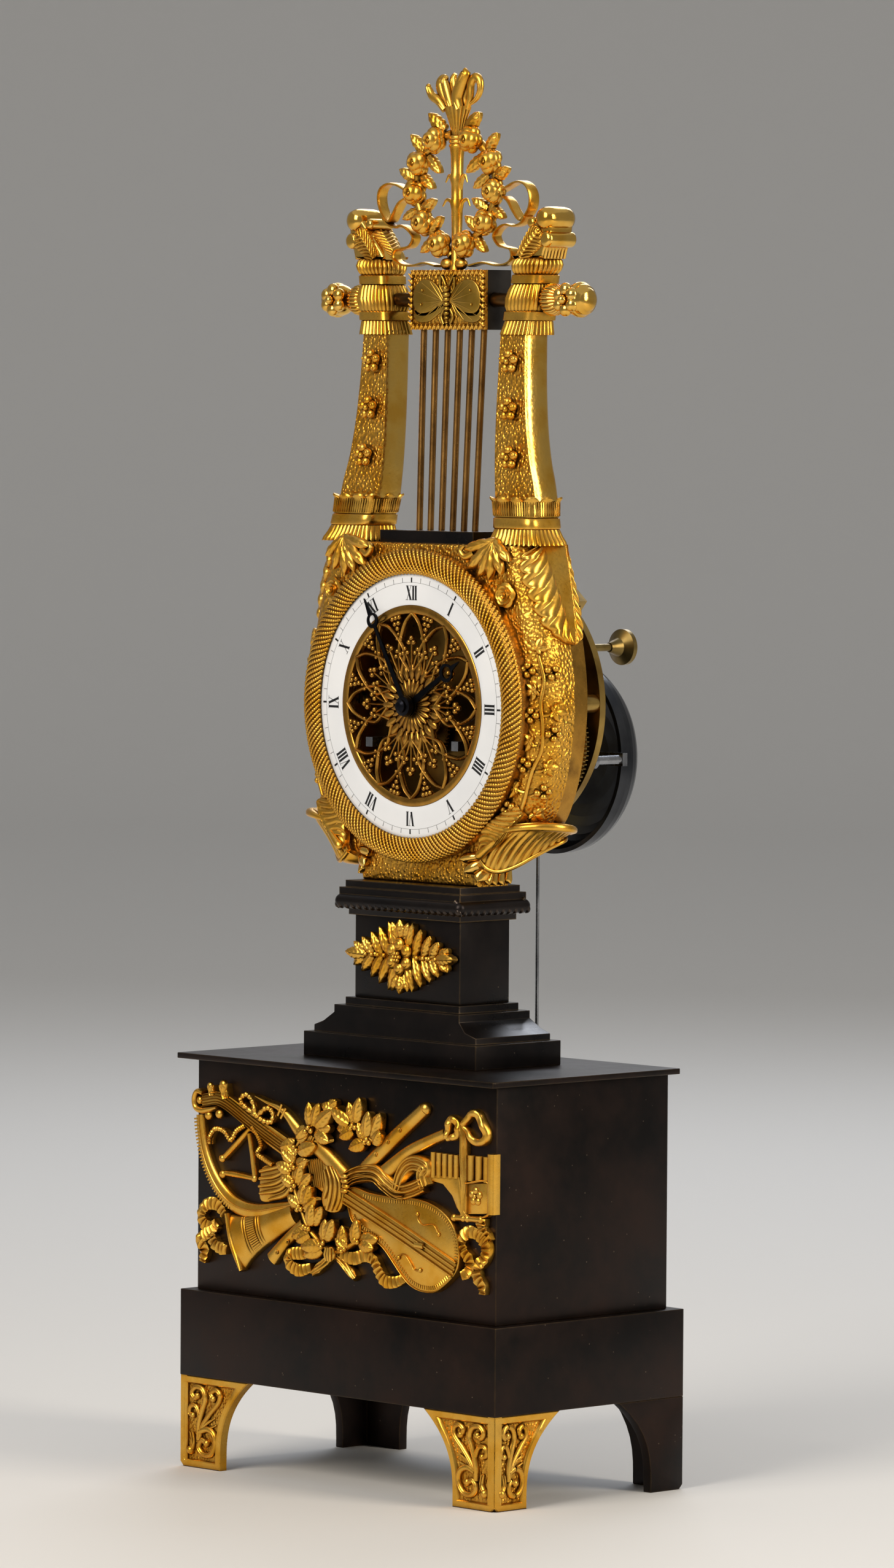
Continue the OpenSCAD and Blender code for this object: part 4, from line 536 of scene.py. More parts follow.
def body_form():
    right = HALF_WIDTH[:, [0, 2]]
    top = np.column_stack([np.linspace(47.5, -47.5, 48), np.full(48, 315.2)])[1:-1]
    bottom = np.column_stack([np.linspace(-28, 28, 28), np.full(28, 201.2)])[1:-1]
    left = right[::-1] * np.array([-1, 1])
    rim = np.vstack([right, top, left, bottom])
    middle = np.array([DIAL_X, DIAL_Z])
    ray = rim - middle
    bore = middle + ray / np.linalg.norm(ray, axis=1)[:, None] * BORE
    rolled = np.clip((np.abs(rim[:, 0]) - 30) / 12, 0, 1) * np.clip((rim[:, 1] - 205) / 14, 0, 1)
    inward = -ray / np.linalg.norm(ray, axis=1)[:, None] * (1 - rolled[:, None])
    inward[:, 0] -= np.sign(rim[:, 0]) * rolled
    inward /= np.linalg.norm(inward, axis=1)[:, None]
    roll_x, roll_y = 1.0 + (ROLL_X - 1) * rolled, 1.0 + (ROLL_Y - 1) * rolled
    flat = rim + inward * roll_x[:, None]
    rings = []

    def level(xz, y):
        rings.append(np.column_stack([xz[:, 0], np.broadcast_to(y, len(xz)), xz[:, 1]]))
    back = np.interp(rim[:, 1], [206.5, 212.5], [8.9, BACK])
    level(bore, BACK)
    for t in np.linspace(0, 1, 10):
        level(bore + (flat - bore) * t, FRONT)
    for phi in np.linspace(0, math.pi / 2, 10)[1:]:
        level(flat + (rim - flat) * math.sin(phi), FRONT + roll_y * (1 - math.cos(phi)))
    for t in (0.25, 0.5, 0.75):
        level(rim, np.minimum(back - 1.4, np.maximum(FRONT + roll_y, FRONT + roll_y
                                                    + (GROUND_BACK - FRONT - roll_y) * t)))
    side_start = len(rings)
    level(rim, np.minimum(np.maximum(FRONT + roll_y, GROUND_BACK), back - 1.2))
    level(rim, back - 0.8)
    level(rim + inward * 0.8, back)
    form = loft(rings, wrap=True)
    return form, side_start * len(rim)


form, band_from = body_form()
body = piece("lyre_body", form, (gilt_ground, gilt_dull), replaces="lyre_case")
for p in body.data.polygons:
    if min(p.vertices) >= band_from:
        p.material_index = 1

# %% [markdown]
# A feather-like acanthus leaf hangs over each shoulder, wrapped round the corner. Its midrib is a
# flat tapering blade, left plain and burnished. The lobes inside it are seven long S-shaped
# ridges; those behind it are short, as the casting ends there.
# %% Shoulder leaves
def shoulder_leaf(side):
    top = np.array([18.8, 315.4])
    tip = np.array([19.1, 282.4])
    run = tip - top
    length = float(np.linalg.norm(run))
    rows, cols = 110, 56
    u = np.linspace(0, 1, rows)[:, None]
    v = np.linspace(-1, 1, cols * 2 + 1)[None, :]
    near = np.interp(u, [0, 0.12, 0.3, 0.47, 0.66, 0.8, 0.91, 0.97, 1],
                     [7.3, 14.0, 15.2, 14.3, 12.8, 11.0, 7.6, 4.4, 0.5])
    far = np.interp(u, [0, 0.85, 0.94, 1], [5.8, 5.6, 4.2, 0.5])
    rib = np.interp(u, [0, 0.92, 1], [5.2, 0.9, 0.2]) / np.where(v < 0, near, far)
    out = np.clip((np.abs(v) - rib) / (1 - rib), 0, 1)
    phase = np.where(v < 0, 7.0 * u - 2.1 * out ** 0.8 + 2.1, 8.0 * u - 1.2 * out + 1.2)
    lobe = np.abs(np.sin(np.pi * phase))
    tip_phase = np.where(v < 0, 7.0 * u, 8.0 * u)
    scallop = 1 - 0.13 * (1 - np.abs(np.sin(np.pi * tip_phase)) ** 0.7) * (u > 0.02)
    across = v * np.where(v < 0, near, far) * (1 - out * (1 - scallop))
    inside = np.clip((np.abs(v) - rib) / 0.06, 0, 1)
    edge = np.sqrt(np.clip(1 - out ** 5, 0, 1))
    top_h = 1.0 + inside * (0.25 + 1.15 * lobe ** 0.9 * (0.35 + 0.65 * out)) * edge
    top_h = top_h + 0.35 * (1 - inside) - 0.9 * (1 - edge)
    c, s = run / length

    def place(along, off, h):
        return skin(top[0] + along * c - off * s, top[1] + along * s, h, side)
    return sheet(place, u * length + 0 * v, across, top_h, -0.5 + 0 * top_h)


piece("shoulder_leaves", shoulder_leaf(1).add(shoulder_leaf(-1)), gilt_relief, sharp=60)

# %% [markdown]
# A vine climbs each side: one wavy stem with ivy leaves and berries that alternate left and right
# of it. The founder soldered or cast them with the body, and the chaser then stippled round them.
# %% Vine
STEM = [(4.2, 226.5), (4.1, 231), (4.3, 240), (6.5, 248), (6.2, 256), (5.2, 263.5), (6.5, 271),
        (5.4, 279)]
IVY = [(5.2, 281.5, 60, 1.0), (3.0, 267.6, 200, 0.95), (9.8, 260.6, -5, 1.0),
       (2.4, 250.6, 190, 0.95), (9.2, 242, 10, 0.95), (-0.6, 235, 190, 1.0),
       (8.8, 226.6, -20, 0.95)]
BERRIES = [(9.2, 273.6, -30), (1.7, 274.3, 170), (2.4, 259.4, 180), (9.5, 253.3, 0),
           (1.4, 243, 190), (9.0, 234, 10), (-1.2, 228.4, 200)]


def ivy(a, z, angle, size, side):
    form = Form()
    for turn, length, width in ((0, 4.2, 1.9), (62, 3.6, 1.7), (-62, 3.6, 1.7), (125, 2.4, 1.2),
                                (-125, 2.4, 1.2)):
        form.add(leaf(along_skin(a, z, angle + turn, side), length * size, width * size, thick=0.9,
                      lobes=2, slant=0.8, notch=0.12, ridge=0.25, rib=0.3, crown=0.9, point=0.8,
                      base=0.6, rows=10, cols=4))
    stalk = [skin(a + (5.2 - a) * t, z - 2.0 * t * (1 - t) - 1.2 * t, 0.5, side)
             for t in np.linspace(0, 0.9, 7)]
    return form.add(tube(stalk, 0.45, 6))


def berries(a, z, angle, side):
    form = Form()
    for turn, reach in ((0, 1.9), (75, 1.6), (-75, 1.6), (180, 1.5)):
        t = math.radians(angle + turn)
        centre = skin(a + reach * math.cos(t), z + reach * math.sin(t), 0.9, side)
        form.add(ball(*centre, 1.25, 10))
    stalk = [skin(a + (5.3 - a) * t, z - 1.6 * t, 0.45, side) for t in np.linspace(0, 0.9, 6)]
    return form.add(tube(stalk, 0.4, 6))


def vine(side):
    path = flat_path(STEM, 0, 70)
    form = tube(skin(path[:, 0], path[:, 2], 0.5, side), 0.75, 8)
    for a, z, angle, size in IVY:
        form.add(ivy(a, z, angle, size, side))
    for a, z, angle in BERRIES:
        form.add(berries(a, z, angle, side))
    return form


piece("vines", vine(1).add(vine(-1)), gilt_relief, sharp=50)

# %% [markdown]
# Under each side a console leaf stands out from the body like the mouth of a cup: a ribbed wall
# that flares up into a thick burnished lip. Its other half lies flat along the bezel. Below it a
# fluted shell is folded round the corner of the base block.
# %% Consoles and corner shells
LIP = [(42.5, -8.0, 220.0), (49, -7.6, 221.3), (54.8, -4.6, 221.9), (58.6, 0.5, 221.8),
       (59.3, 5.6, 221.2), (56.8, 10.2, 220.4), (52, 13.4, 219.4)]
CREASE = [(32.4, -8.6, 210.4), (35.4, -8.4, 207.8), (39.0, -6.4, 206.9), (43.6, -3.2, 208.8),
          (48.4, 0.4, 212.2), (52.0, 4.6, 215.2), (53.6, 9.0, 217.2), (51.0, 12.6, 217.8)]
SEAT = [(28.4, -7.0, 208.6), (29.4, -4.6, 206.4), (30.6, -0.6, 206.4), (33.6, 3.4, 209.6),
        (38.6, 7.6, 213.6), (42.6, 11.6, 216.4), (45.0, 13.6, 217.8)]
BLOCK_HALF, BLOCK_ROUND = 28.0, 3.0


def flared_wall(foot, lip, ribs=1, thick=1.6, sag=0.0):
    """A wall between two lines that flares outwards to the lip, with upright ribs."""
    rows, cols = 18, 120
    low, high = smooth_path(foot, 60), smooth_path(lip, 60)
    at = np.linspace(0, 1, cols)
    pick = lambda line: np.stack([np.interp(at, np.linspace(0, 1, len(line)), line[:, i])
                                  for i in range(3)], -1)
    low, high = pick(low), pick(high)
    t = np.linspace(0, 1, rows)[:, None, None]
    wall = low + (high - low) * t
    out = high - low
    out[:, 2] = 0
    out /= np.linalg.norm(out, axis=1)[:, None]
    wall = wall - out[None] * (sag * np.sin(np.pi * t))
    n = np.cross(np.gradient(wall, axis=1), np.gradient(wall, axis=0))
    n /= np.linalg.norm(n, axis=2)[..., None] + 1e-9
    if (n * out[None]).sum() < 0:
        n = -n
    wave = np.abs(np.sin(np.pi * (ribs * at[None, :] + 0.2 * t[..., 0]))) ** 0.7
    lift = 0.75 * wave * np.sin(np.pi * np.clip(t[..., 0] * 1.1, 0, 1)) ** 0.4
    index = np.arange(rows)[:, None] + np.zeros((1, cols))
    front, rear = wall + n * lift[..., None], wall - n * thick

    def place(s, across, height):
        return np.where(height[..., None] > 0, front, rear)
    return sheet(place, index, index, np.ones((rows, cols)), -np.ones((rows, cols)))


def corner(w, z, h, side):
    """Round the upright corner of the base block; w is the way from the corner to the back."""
    arc = math.pi / 2 * BLOCK_ROUND
    phi = np.clip((w + arc / 2) / arc, 0, 1) * math.pi / 2
    x = BLOCK_HALF - BLOCK_ROUND + BLOCK_ROUND * np.sin(phi)
    x = x + np.minimum(w + arc / 2, 0) + h * np.sin(phi)
    y = FRONT + BLOCK_ROUND * (1 - np.cos(phi)) + np.maximum(w - arc / 2, 0) - h * np.cos(phi)
    return np.stack([x * side, y, z + 0 * w], -1)


def console(side):
    form = flared_wall(CREASE, LIP, 13, 1.3, 2.0).add(flared_wall(SEAT, CREASE))
    lip = smooth_path(LIP, 60) + np.array([0.3, -0.2, 0.5])
    form.add(tube(lip, 1.0 + 0.9 * np.sin(np.linspace(0.15, 3.0, len(lip))) ** 1.5, 12,
                  normal=(0, 0, 1), flat=0.8, square=2.6))
    form.add(tube(smooth_path(CREASE, 60), 0.75, 8))
    floor_low = smooth_path([(x - 7, y + 1, 220.6) for x, y, z in LIP], 60)
    form.add(flared_wall(floor_low, [(x, y, z + 0.4) for x, y, z in LIP]))
    half_leaf = smooth_path([(50.0, -5.6, 226.4), (46.4, -7.4, 222.4), (42.6, -8.6, 218.6),
                             (38.2, -9.2, 215.2), (33.6, -9.4, 211.8)], 40)
    place, length = along_path(half_leaf)
    form.add(leaf(place, length, 1.4, 9.2, thick=1.0, lobes=8, slant=2.6, notch=0.04, ridge=0.8,
                  rib=0.9, crown=0.2, point=0.35, base=0.9, rows=90, cols=14, sink=1.6))
    bud = smooth_path([(40.4, -9.9, 217.2), (36.6, -10.6, 214.2), (32.8, -11.0, 211.3)], 16)
    form.add(tube(bud, np.interp(np.linspace(0, 1, len(bud)), [0, 0.3, 0.8, 0.95, 1],
                                 [0.7, 1.2, 1.7, 1.3, 0.3]), 12))
    return form if side > 0 else form.scaled(x=-1)


LOBES = [(1.8, 211.8, -5.4, 210.4, 2.1), (2.6, 210.4, -3.2, 206.0, 2.25),
         (3.6, 209.0, 0.0, 203.1, 2.2), (4.6, 208.2, 2.4, 201.9, 1.9),
         (5.8, 207.6, 5.4, 201.6, 1.75), (8.8, 207.6, 8.7, 201.6, 1.85),
         (12.2, 207.8, 12.2, 201.9, 2.0)]


def shell(side):
    form = Form()
    for w0, z0, w1, z1, half in LOBES:
        length = math.hypot(w1 - w0, z1 - z0)
        c, s = (w1 - w0) / length, (z1 - z0) / length
        place = lambda u, v, h: corner(w0 + u * c - v * s, z0 + u * s + v * c, h, side)
        form.add(leaf(place, length, half, thick=1.9, rib=0, crown=1.15, point=0.22, base=1.0,
                      rows=26, cols=9, sink=0.8, **PLAIN))
    return form


piece("console_leaves", console(1).add(console(-1)), gilt_relief, sharp=50)
piece("base_shells", shell(1).add(shell(-1)), gilt_bright, sharp=50)

# %% [markdown]
# A rose is drawn as layers of petals that overlap like scales: each layer rises to a rolled edge
# and drops to the next. One sits as a boss on each side of the body, where a palmette opens.
# %% Roses, palmettes and bosses
def rose(radius, dome):
    """Faces the front with its middle at the origin."""
    layers, petals, steps = 4, 5, 60
    t = np.linspace(0, 2 * np.pi, steps, endpoint=False)
    rings = [ring(0.02, -dome, steps)]
    for k in range(layers):
        wave = np.abs(np.cos(petals / 2 * t + k * np.pi / petals + 0.3 * k)) ** 0.6
        for f in (0.06, 0.4, 0.75, 0.93, 1.0):
            share = k / layers * 0.94 * (1 - f) + (k + 1) / layers * f
            lip = 0.16 * (f ** 2 - 0.55 - (0.5 if f == 1.0 else 0))
            height = dome * np.sqrt(np.clip(1 - (share * 0.96) ** 2, 0, 1)) + lip
            rings.append(ring(share * (1 - 0.16 * (1 - wave) * f), -height, steps))
    rings.append(ring(0.7, 0.2, steps))
    return loft(rings).scaled(radius, radius, radius)


def aimed(form, direction, x, y, z):
    """Turns a form that faces the front towards a direction and puts it in its place."""
    m = np.array(Vector((0, -1, 0)).rotation_difference(Vector(direction)).to_matrix())
    return Form(form.points @ m.T, form.faces).shifted(x, y, z)


def palmette():
    form = Form()
    for angle, length, width in ((193, 13.5, 2.3), (220, 15.0, 2.6), (242, 13.6, 2.4),
                                 (263, 12.8, 2.4), (290, 11.6, 2.3), (320, 10.2, 2.1)):
        form.add(small_leaf(36.5, 316.8, angle, length, width, -6.2, lift=1.6, thick=1.1, lobes=3,
                            slant=0.8, notch=0.18, ridge=0.3, rib=0.35, crown=1.0, point=0.35,
                            base=1.0, rows=22, cols=6))
    curl = [(27, -7.5, 312.6), (23.8, -8.4, 311.2), (21.8, -8.8, 313.2), (23.2, -8.6, 315.0)]
    form.add(tube(smooth_path(curl, 16), np.linspace(1.5, 0.7, 16), 8))
    return form


bosses = palmette().add(aimed(rose(4.4, 0.55), (0.12, -1, 0), 41.6, -6.6, 298.8))
piece("palmettes_and_bosses", bosses.both_sides(), gilt_relief, sharp=50)

# %% [markdown]
# Two things repeat all over this clock: ornaments set round a circle, and ornaments set at chosen
# places. Each is one Geometry Nodes tree, built here and applied at once, so that the finished
# piece is a plain mesh.
# %% Geometry Nodes: set round a circle, or set on points
def ornament_tree(name, round_a_circle):
    tree = bpy.data.node_groups.new(name, "GeometryNodeTree")
    for label, kind in (("Geometry", "Geometry"), ("Ornament", "Object"), ("Count", "Int"),
                        ("Finish", "Material")):
        tree.interface.new_socket(label, in_out="INPUT", socket_type="NodeSocket" + kind)
    tree.interface.new_socket("Geometry", in_out="OUTPUT", socket_type="NodeSocketGeometry")
    node = lambda kind, inputs=None, **settings: add_node(tree, kind, inputs, **settings).outputs
    given = node("NodeGroupInput")
    if round_a_circle:
        count = given["Count"]
        points = node("GeometryNodeMeshLine", {"Count": count, "Offset": (0.0, 0.0, 0.0)})[0]
        step = node("ShaderNodeMath", {0: 2 * math.pi, 1: count}, operation="DIVIDE")[0]
        index = node("GeometryNodeInputIndex")[0]
        angle = node("ShaderNodeMath", {0: index, 1: step}, operation="MULTIPLY")[0]
        turn = node("ShaderNodeCombineXYZ", {"Y": angle})[0]
    else:
        points = given["Geometry"]
        turn = node("GeometryNodeInputNamedAttribute", {"Name": "turn"},
                    data_type="FLOAT_VECTOR")[0]
    ornament = node("GeometryNodeObjectInfo", {"Object": given["Ornament"]})["Geometry"]
    placed = node("GeometryNodeInstanceOnPoints", {"Points": points, "Instance": ornament,
                                                   "Rotation": turn})[0]
    real = node("GeometryNodeRealizeInstances", {"Geometry": placed})[0]
    done = node("GeometryNodeSetMaterial", {"Geometry": real, "Material": given["Finish"]})[0]
    node("NodeGroupOutput", {0: done})
    return tree


ROUND_A_CIRCLE = ornament_tree("set_round_a_circle", True)
ON_POINTS = ornament_tree("set_on_points", False)


def raw_object(name, points, faces=()):
    mesh = bpy.data.meshes.new(name)
    mesh.from_pydata([tuple(q) for q in points], [], list(faces))
    return linked(name, mesh)


def applied(name, form, carrier, tree, finish, count=0):
    """Runs the tree on the carrier and keeps the result as a plain mesh object."""
    inputs = {"Ornament": raw_object(name + "_one", form.points * MM, form.faces), "Count": count,
              "Finish": finish}
    modifier = carrier.modifiers.new("ornament", "NODES")
    modifier.node_group = tree
    for item in tree.interface.items_tree:
        if item.in_out == "INPUT" and item.name in inputs:
            modifier[item.identifier] = inputs[item.name]
    bpy.context.view_layer.update()
    seen = carrier.evaluated_get(bpy.context.evaluated_depsgraph_get())
    obj = linked(name, bpy.data.meshes.new_from_object(seen))
    for spare in (carrier, inputs["Ornament"]):
        old = spare.data
        bpy.data.objects.remove(spare)
        bpy.data.meshes.remove(old)
    edited(obj.data)
    return obj


def set_round_dial(name, form, count, finish, sharp):
    """The form is drawn about the dial's centre; its copies turn about that axis."""
    carrier = raw_object(name + "_points", [(0, 0, 0)])
    obj = applied(name, form, carrier, ROUND_A_CIRCLE, finish, count)
    obj.data.transform(Matrix.Translation((DIAL_X * MM, BACK_SHIFT * MM, DIAL_Z * MM)))
    return dressed(obj, finish, sharp=sharp)


def set_on_points(name, form, points, turns, finish, slot="gilt_bronze"):
    """Copies of a small form at points in millimetres, with Euler turns."""
    carrier = raw_object(name + "_points", (np.array(points, float) + [0, BACK_SHIFT, 0]) * MM)
    made = carrier.data.attributes.new("turn", "FLOAT_VECTOR", "POINT")
    made.data.foreach_set("vector", np.array(turns, float).ravel())
    return dressed(applied(name, form, carrier, ON_POINTS, finish), finish, slot=slot, sharp=50)


# %% [markdown]
# The bezel was engine-turned: a rose engine cut slanting rows of tiny beads that twist across the
# moulding like the strands of a rope. One row is modelled, and set 170 times round the dial over
# a smooth ring.
# %% Bezel
BEZEL_IN, BEZEL_OUT, ROWS, BEADS = 44.55, 52.3, 170, 13


def bezel_section(t):
    """Radius and y of the moulding from the inner edge (0) to the outer edge (1)."""
    angle = math.pi * (1 - t)
    middle, half = (BEZEL_IN + BEZEL_OUT) / 2, (BEZEL_OUT - BEZEL_IN) / 2
    return middle + half * np.cos(angle), -10.3 - 2.2 * np.sin(angle) ** 0.8 + 1.1 * t


def bezel_ring():
    t = np.linspace(0, 1, 14)
    radius, y = bezel_section(t)
    profile = [(BEZEL_IN, -8.6)] + list(zip(radius, y)) + [(BEZEL_OUT, -6.0), (41.9, -6.0),
                                                            (41.9, -7.8), (44.0, -7.9)]
    return lathe(profile, 180, DIAL_X, DIAL_Z, closed=True)


def bead_row():
    steps = BEADS * 4 + 1
    t = np.linspace(0.03, 0.97, steps)
    radius, y = bezel_section(t)
    turn = np.radians(9.0) * (t - 0.5) + math.pi / 2
    path = np.column_stack([radius * np.cos(turn), y, radius * np.sin(turn)])
    bead = 0.44 + 0.24 * np.abs(np.sin(np.pi * BEADS * np.linspace(0, 1, steps)))
    return tube(path, bead * np.interp(t, [0, 0.1, 0.9, 1], [0.7, 1, 1, 0.7]), 6)


piece("bezel_ring", bezel_ring(), gilt_dull, replaces="bezel")
set_round_dial("bezel_guilloche", bead_row(), ROWS, gilt_relief, sharp=70)

# %% [markdown]
# The chapter ring is enamel fused on copper, very slightly domed, with Roman numerals that stand
# on the ring's inner side and read from the middle. The paint is thin, so it is a layer of flat
# strokes: a thick stroke, a hairline and serifs, as a dial painter's brush makes them.
# %% Enamel ring and its numerals
ENAMEL_IN, ENAMEL_OUT, GLAZE = 33.85, 44.4, -10.5


def enamel_form():
    mid = (ENAMEL_IN + ENAMEL_OUT) / 2
    front = [(mid + (ENAMEL_OUT - mid) * q, GLAZE + 0.35 * abs(q) ** 6)
             for q in np.linspace(-1, 1, 17)]
    return lathe([(ENAMEL_IN, -8.95)] + front + [(ENAMEL_OUT, -8.95)], 256, DIAL_X, DIAL_Z,
                 closed=True)


def stroke(p, q, width, angle, radius):
    """A flat stroke from p to q, which are (sideways, outwards) from the numeral's middle."""
    p, q = np.array(p, float), np.array(q, float)
    side = np.array([-(q - p)[1], (q - p)[0]])
    side = side / np.linalg.norm(side) * width / 2
    flat = np.array([p - side, p + side, q + side, q - side])
    return painted(flat, angle, radius)


def painted(flat, angle, radius):
    """A polygon in the numeral's own plane, laid on the enamel as a thin closed layer."""
    c, s = math.cos(angle), math.sin(angle)
    x = DIAL_X + (radius + flat[:, 1]) * c + flat[:, 0] * s
    z = DIAL_Z + (radius + flat[:, 1]) * s - flat[:, 0] * c
    lower = np.column_stack([x, np.full(len(flat), GLAZE + 0.05), z])
    upper = np.column_stack([x, np.full(len(flat), GLAZE - 0.05), z])
    return loft([lower, upper])


TALL, THICK, THIN, SERIF = 4.7, 0.8, 0.16, 0.13
NUMERALS_AT, MINUTES_AT = 37.9, 42.2
WIDTHS = {"I": 1.25, "V": 2.7, "X": 2.9}
NUMERALS = ["XII", "I", "II", "III", "IIII", "V", "VI", "VII", "VIII", "IX", "X", "XI"]


def numeral(text, angle):
    form, x, h = Form(), -sum(WIDTHS[c] for c in text) / 2, TALL / 2
    draw = lambda p, q, width: form.add(stroke(p, q, width, angle, NUMERALS_AT))
    for c in text:
        w = WIDTHS[c]
        m = x + w / 2
        if c == "I":
            draw((m, -h), (m, h), THICK)
            ends = [(m, h), (m, -h)]
        elif c == "V":
            draw((x + 0.55, h), (m + 0.1, -h), THICK)
            draw((x + w - 0.35, h), (m + 0.15, -h), THIN)
            ends = [(x + 0.5, h), (x + w - 0.35, h)]
        else:
            draw((x + 0.6, h), (x + w - 0.6, -h), THICK)
            draw((x + w - 0.5, h), (x + 0.5, -h), THIN)
            ends = [(x + 0.6, h), (x + w - 0.5, h), (x + 0.5, -h), (x + w - 0.6, -h)]
        for at, level in ends:
            draw((at - 0.62, level), (at + 0.62, level), SERIF)
        x += w
    return form


def dial_paint():
    form = Form()
    for hour, text in enumerate(NUMERALS):
        form.add(numeral(text, math.radians(90 - 30 * hour)))
    for minute in range(60):
        width = SERIF if minute % 5 else 0.62
        form.add(stroke((0, -0.8), (0, 0.8), width, math.radians(90 - 6 * minute), MINUTES_AT))
    line = [(41.35, 0.05), (41.35, -0.04), (41.42, -0.04), (41.42, 0.05)]
    return form.add(lathe([(r, GLAZE + y) for r, y in line], 180, DIAL_X, DIAL_Z, closed=True))


piece("enamel_chapter_ring", enamel_form(), enamel, replaces="enamel_ring", slot="enamel")
piece("dial_numerals", dial_paint(), paint, slot=None, sharp=20)

# %% [markdown]
# The middle of the dial is gilt openwork, cast and pierced like the tracery of a rose window.
# Twelve pointed arches stand on the hours and cross their neighbours, each holding a spray that
# ends in berries; the sprays give way to the two winding holes at four and eight.
# %% Dial openwork
WEB_Y = -9.7


def dial_point(radius, degrees, y):
    a = math.radians(degrees)
    return np.array([DIAL_X + radius * math.cos(a), y, DIAL_Z + radius * math.sin(a)])


def web(points, width, y=WEB_Y):
    """A bevelled bar through (radius, degrees) points."""
    return tube(smooth_path([dial_point(r, a, y) for r, a in points], 26), width, 6, flat=1.5)


def trefoil(radius, degrees, size=1.05):
    return Form().add(*(ball(*dial_point(radius + dr, degrees + da * 22 / radius, -10.2), size, 8)
                        for dr, da in ((0.75, 0), (-0.65, 2.9), (-0.65, -2.9))))


def dial_spray(at):
    form = web([(12, at), (17, at), (21, at)], 0.42, -10.0).add(trefoil(22.0, at))
    for s in (-1, 1):
        form.add(web([(12.5, at + s * 3), (15.5, at + s * 6.5), (17.5, at + s * 9.0)], 0.4, -10.0))
        form.add(trefoil(18.6, at + s * 9.4, 0.95))
    return form


def dial_tracery():
    form = lathe([(31.0, -8.5), (33.75, -8.5), (33.75, -10.3), (33.5, -10.5), (31.3, -10.5),
                  (31.0, -10.25)], 144, DIAL_X, DIAL_Z, closed=True)
    for hour in range(12):
        at = 90 - 30 * hour
        for s in (-1, 1):
            form.add(web([(31.2, at), (28, at + s * 7), (22.2, at + s * 15), (18.4, at + s * 18.6),
                          (15.2, at + s * 15), (11.6, at + s * 4)], 0.8))
        if hour not in (4, 8):
            form.add(dial_spray(at))
        half = at + 15
        for r, a in ((30.2, -3.2), (30.2, 0), (30.2, 3.2), (28.3, -1.8), (28.3, 1.8), (26.6, 0)):
            form.add(ball(*dial_point(r, half + a, -10.1), 1.0, 8))
        form.add(web([(22.4, half), (24.5, half), (26.4, half)], 0.4))
        form.add(trefoil(24.0, half, 0.7))
    return form


def dial_rosette():
    form = lathe([(2.7, -8.4), (14.0, -8.4), (14.0, -9.2), (9.0, -9.5), (2.7, -9.7)], 96, DIAL_X,
                 DIAL_Z, closed=True)
    for i in range(24):
        for inner, outer, wide, level, turn in ((9.0, 14.2, 1.55, -9.3, 0),
                                                (3.2, 9.4, 1.0, -9.6, 7.5)):
            a = 15 * i + turn
            path = [dial_point(inner, a, level), dial_point((inner + outer) / 2, a, level - 0.5),
                    dial_point(outer, a, level + 0.1)]
            form.add(leaf(*along_path(smooth_path(path, 8)), wide, thick=0.7, rib=0, crown=1.1,
                          point=0.3, base=0.8, rows=10, cols=3, **PLAIN))
    return form


piece("dial_openwork_web", dial_tracery().add(dial_rosette()), gilt_dull,
      replaces="dial_openwork", sharp=50)

# %% [markdown]
# The arms stand in leafy collars and carry capitals: mouldings that are filed square on a
# mandrel, then fluted, reeded or gadrooned all round. A stack lofts such mouldings from a list of
# levels along a leaning axis; at each level the section is a rounded rectangle with flutes.
# %% Mouldings of the collars and capitals
def rounded_square(count, aspect):
    """Equal steps round a rounded square, so that flutes come out equally wide."""
    t = np.linspace(0, 2 * np.pi, 2001)
    x, y = (np.sign(c) * np.abs(c) ** 0.4 for c in (np.cos(t), np.sin(t)))
    run = np.concatenate([[0], np.cumsum(np.hypot(np.diff(x) * aspect, np.diff(y)))])
    at = np.linspace(0, run[-1], count, endpoint=False)
    return np.column_stack([np.interp(at, run, x), np.interp(at, run, y)])


def stack(levels, stand, flutes, steps_per=6, turn=0.0):
    """levels hold (height, half width, half depth, flute depth, scallop); the last two may be
    left out; stand is the foot and the leaning axis."""
    foot, axis = np.array(stand, float)
    count = flutes * steps_per
    shape = rounded_square(count, levels[1][1] / levels[1][2])
    wave = 1 - np.abs(np.sin(np.pi * (np.arange(count) / steps_per + turn))) ** 0.8
    rings = []
    for level in levels:
        height, half_x, half_y, depth, scallop = (*level, 0, 0)[:5]
        r = shape * np.array([half_x, half_y])
        r = r - depth * wave[:, None] * r / np.linalg.norm(r, axis=1)[:, None]
        rings.append(foot + axis * height + np.column_stack([r, scallop * wave]))
    return loft(rings)


COLLAR = (40.6, 4.0, 315.25), (-0.15, 0.09, 1.0)
CAPITAL = (34.2, 9.3, 385.2), (0.155, 0.05, 1.0)


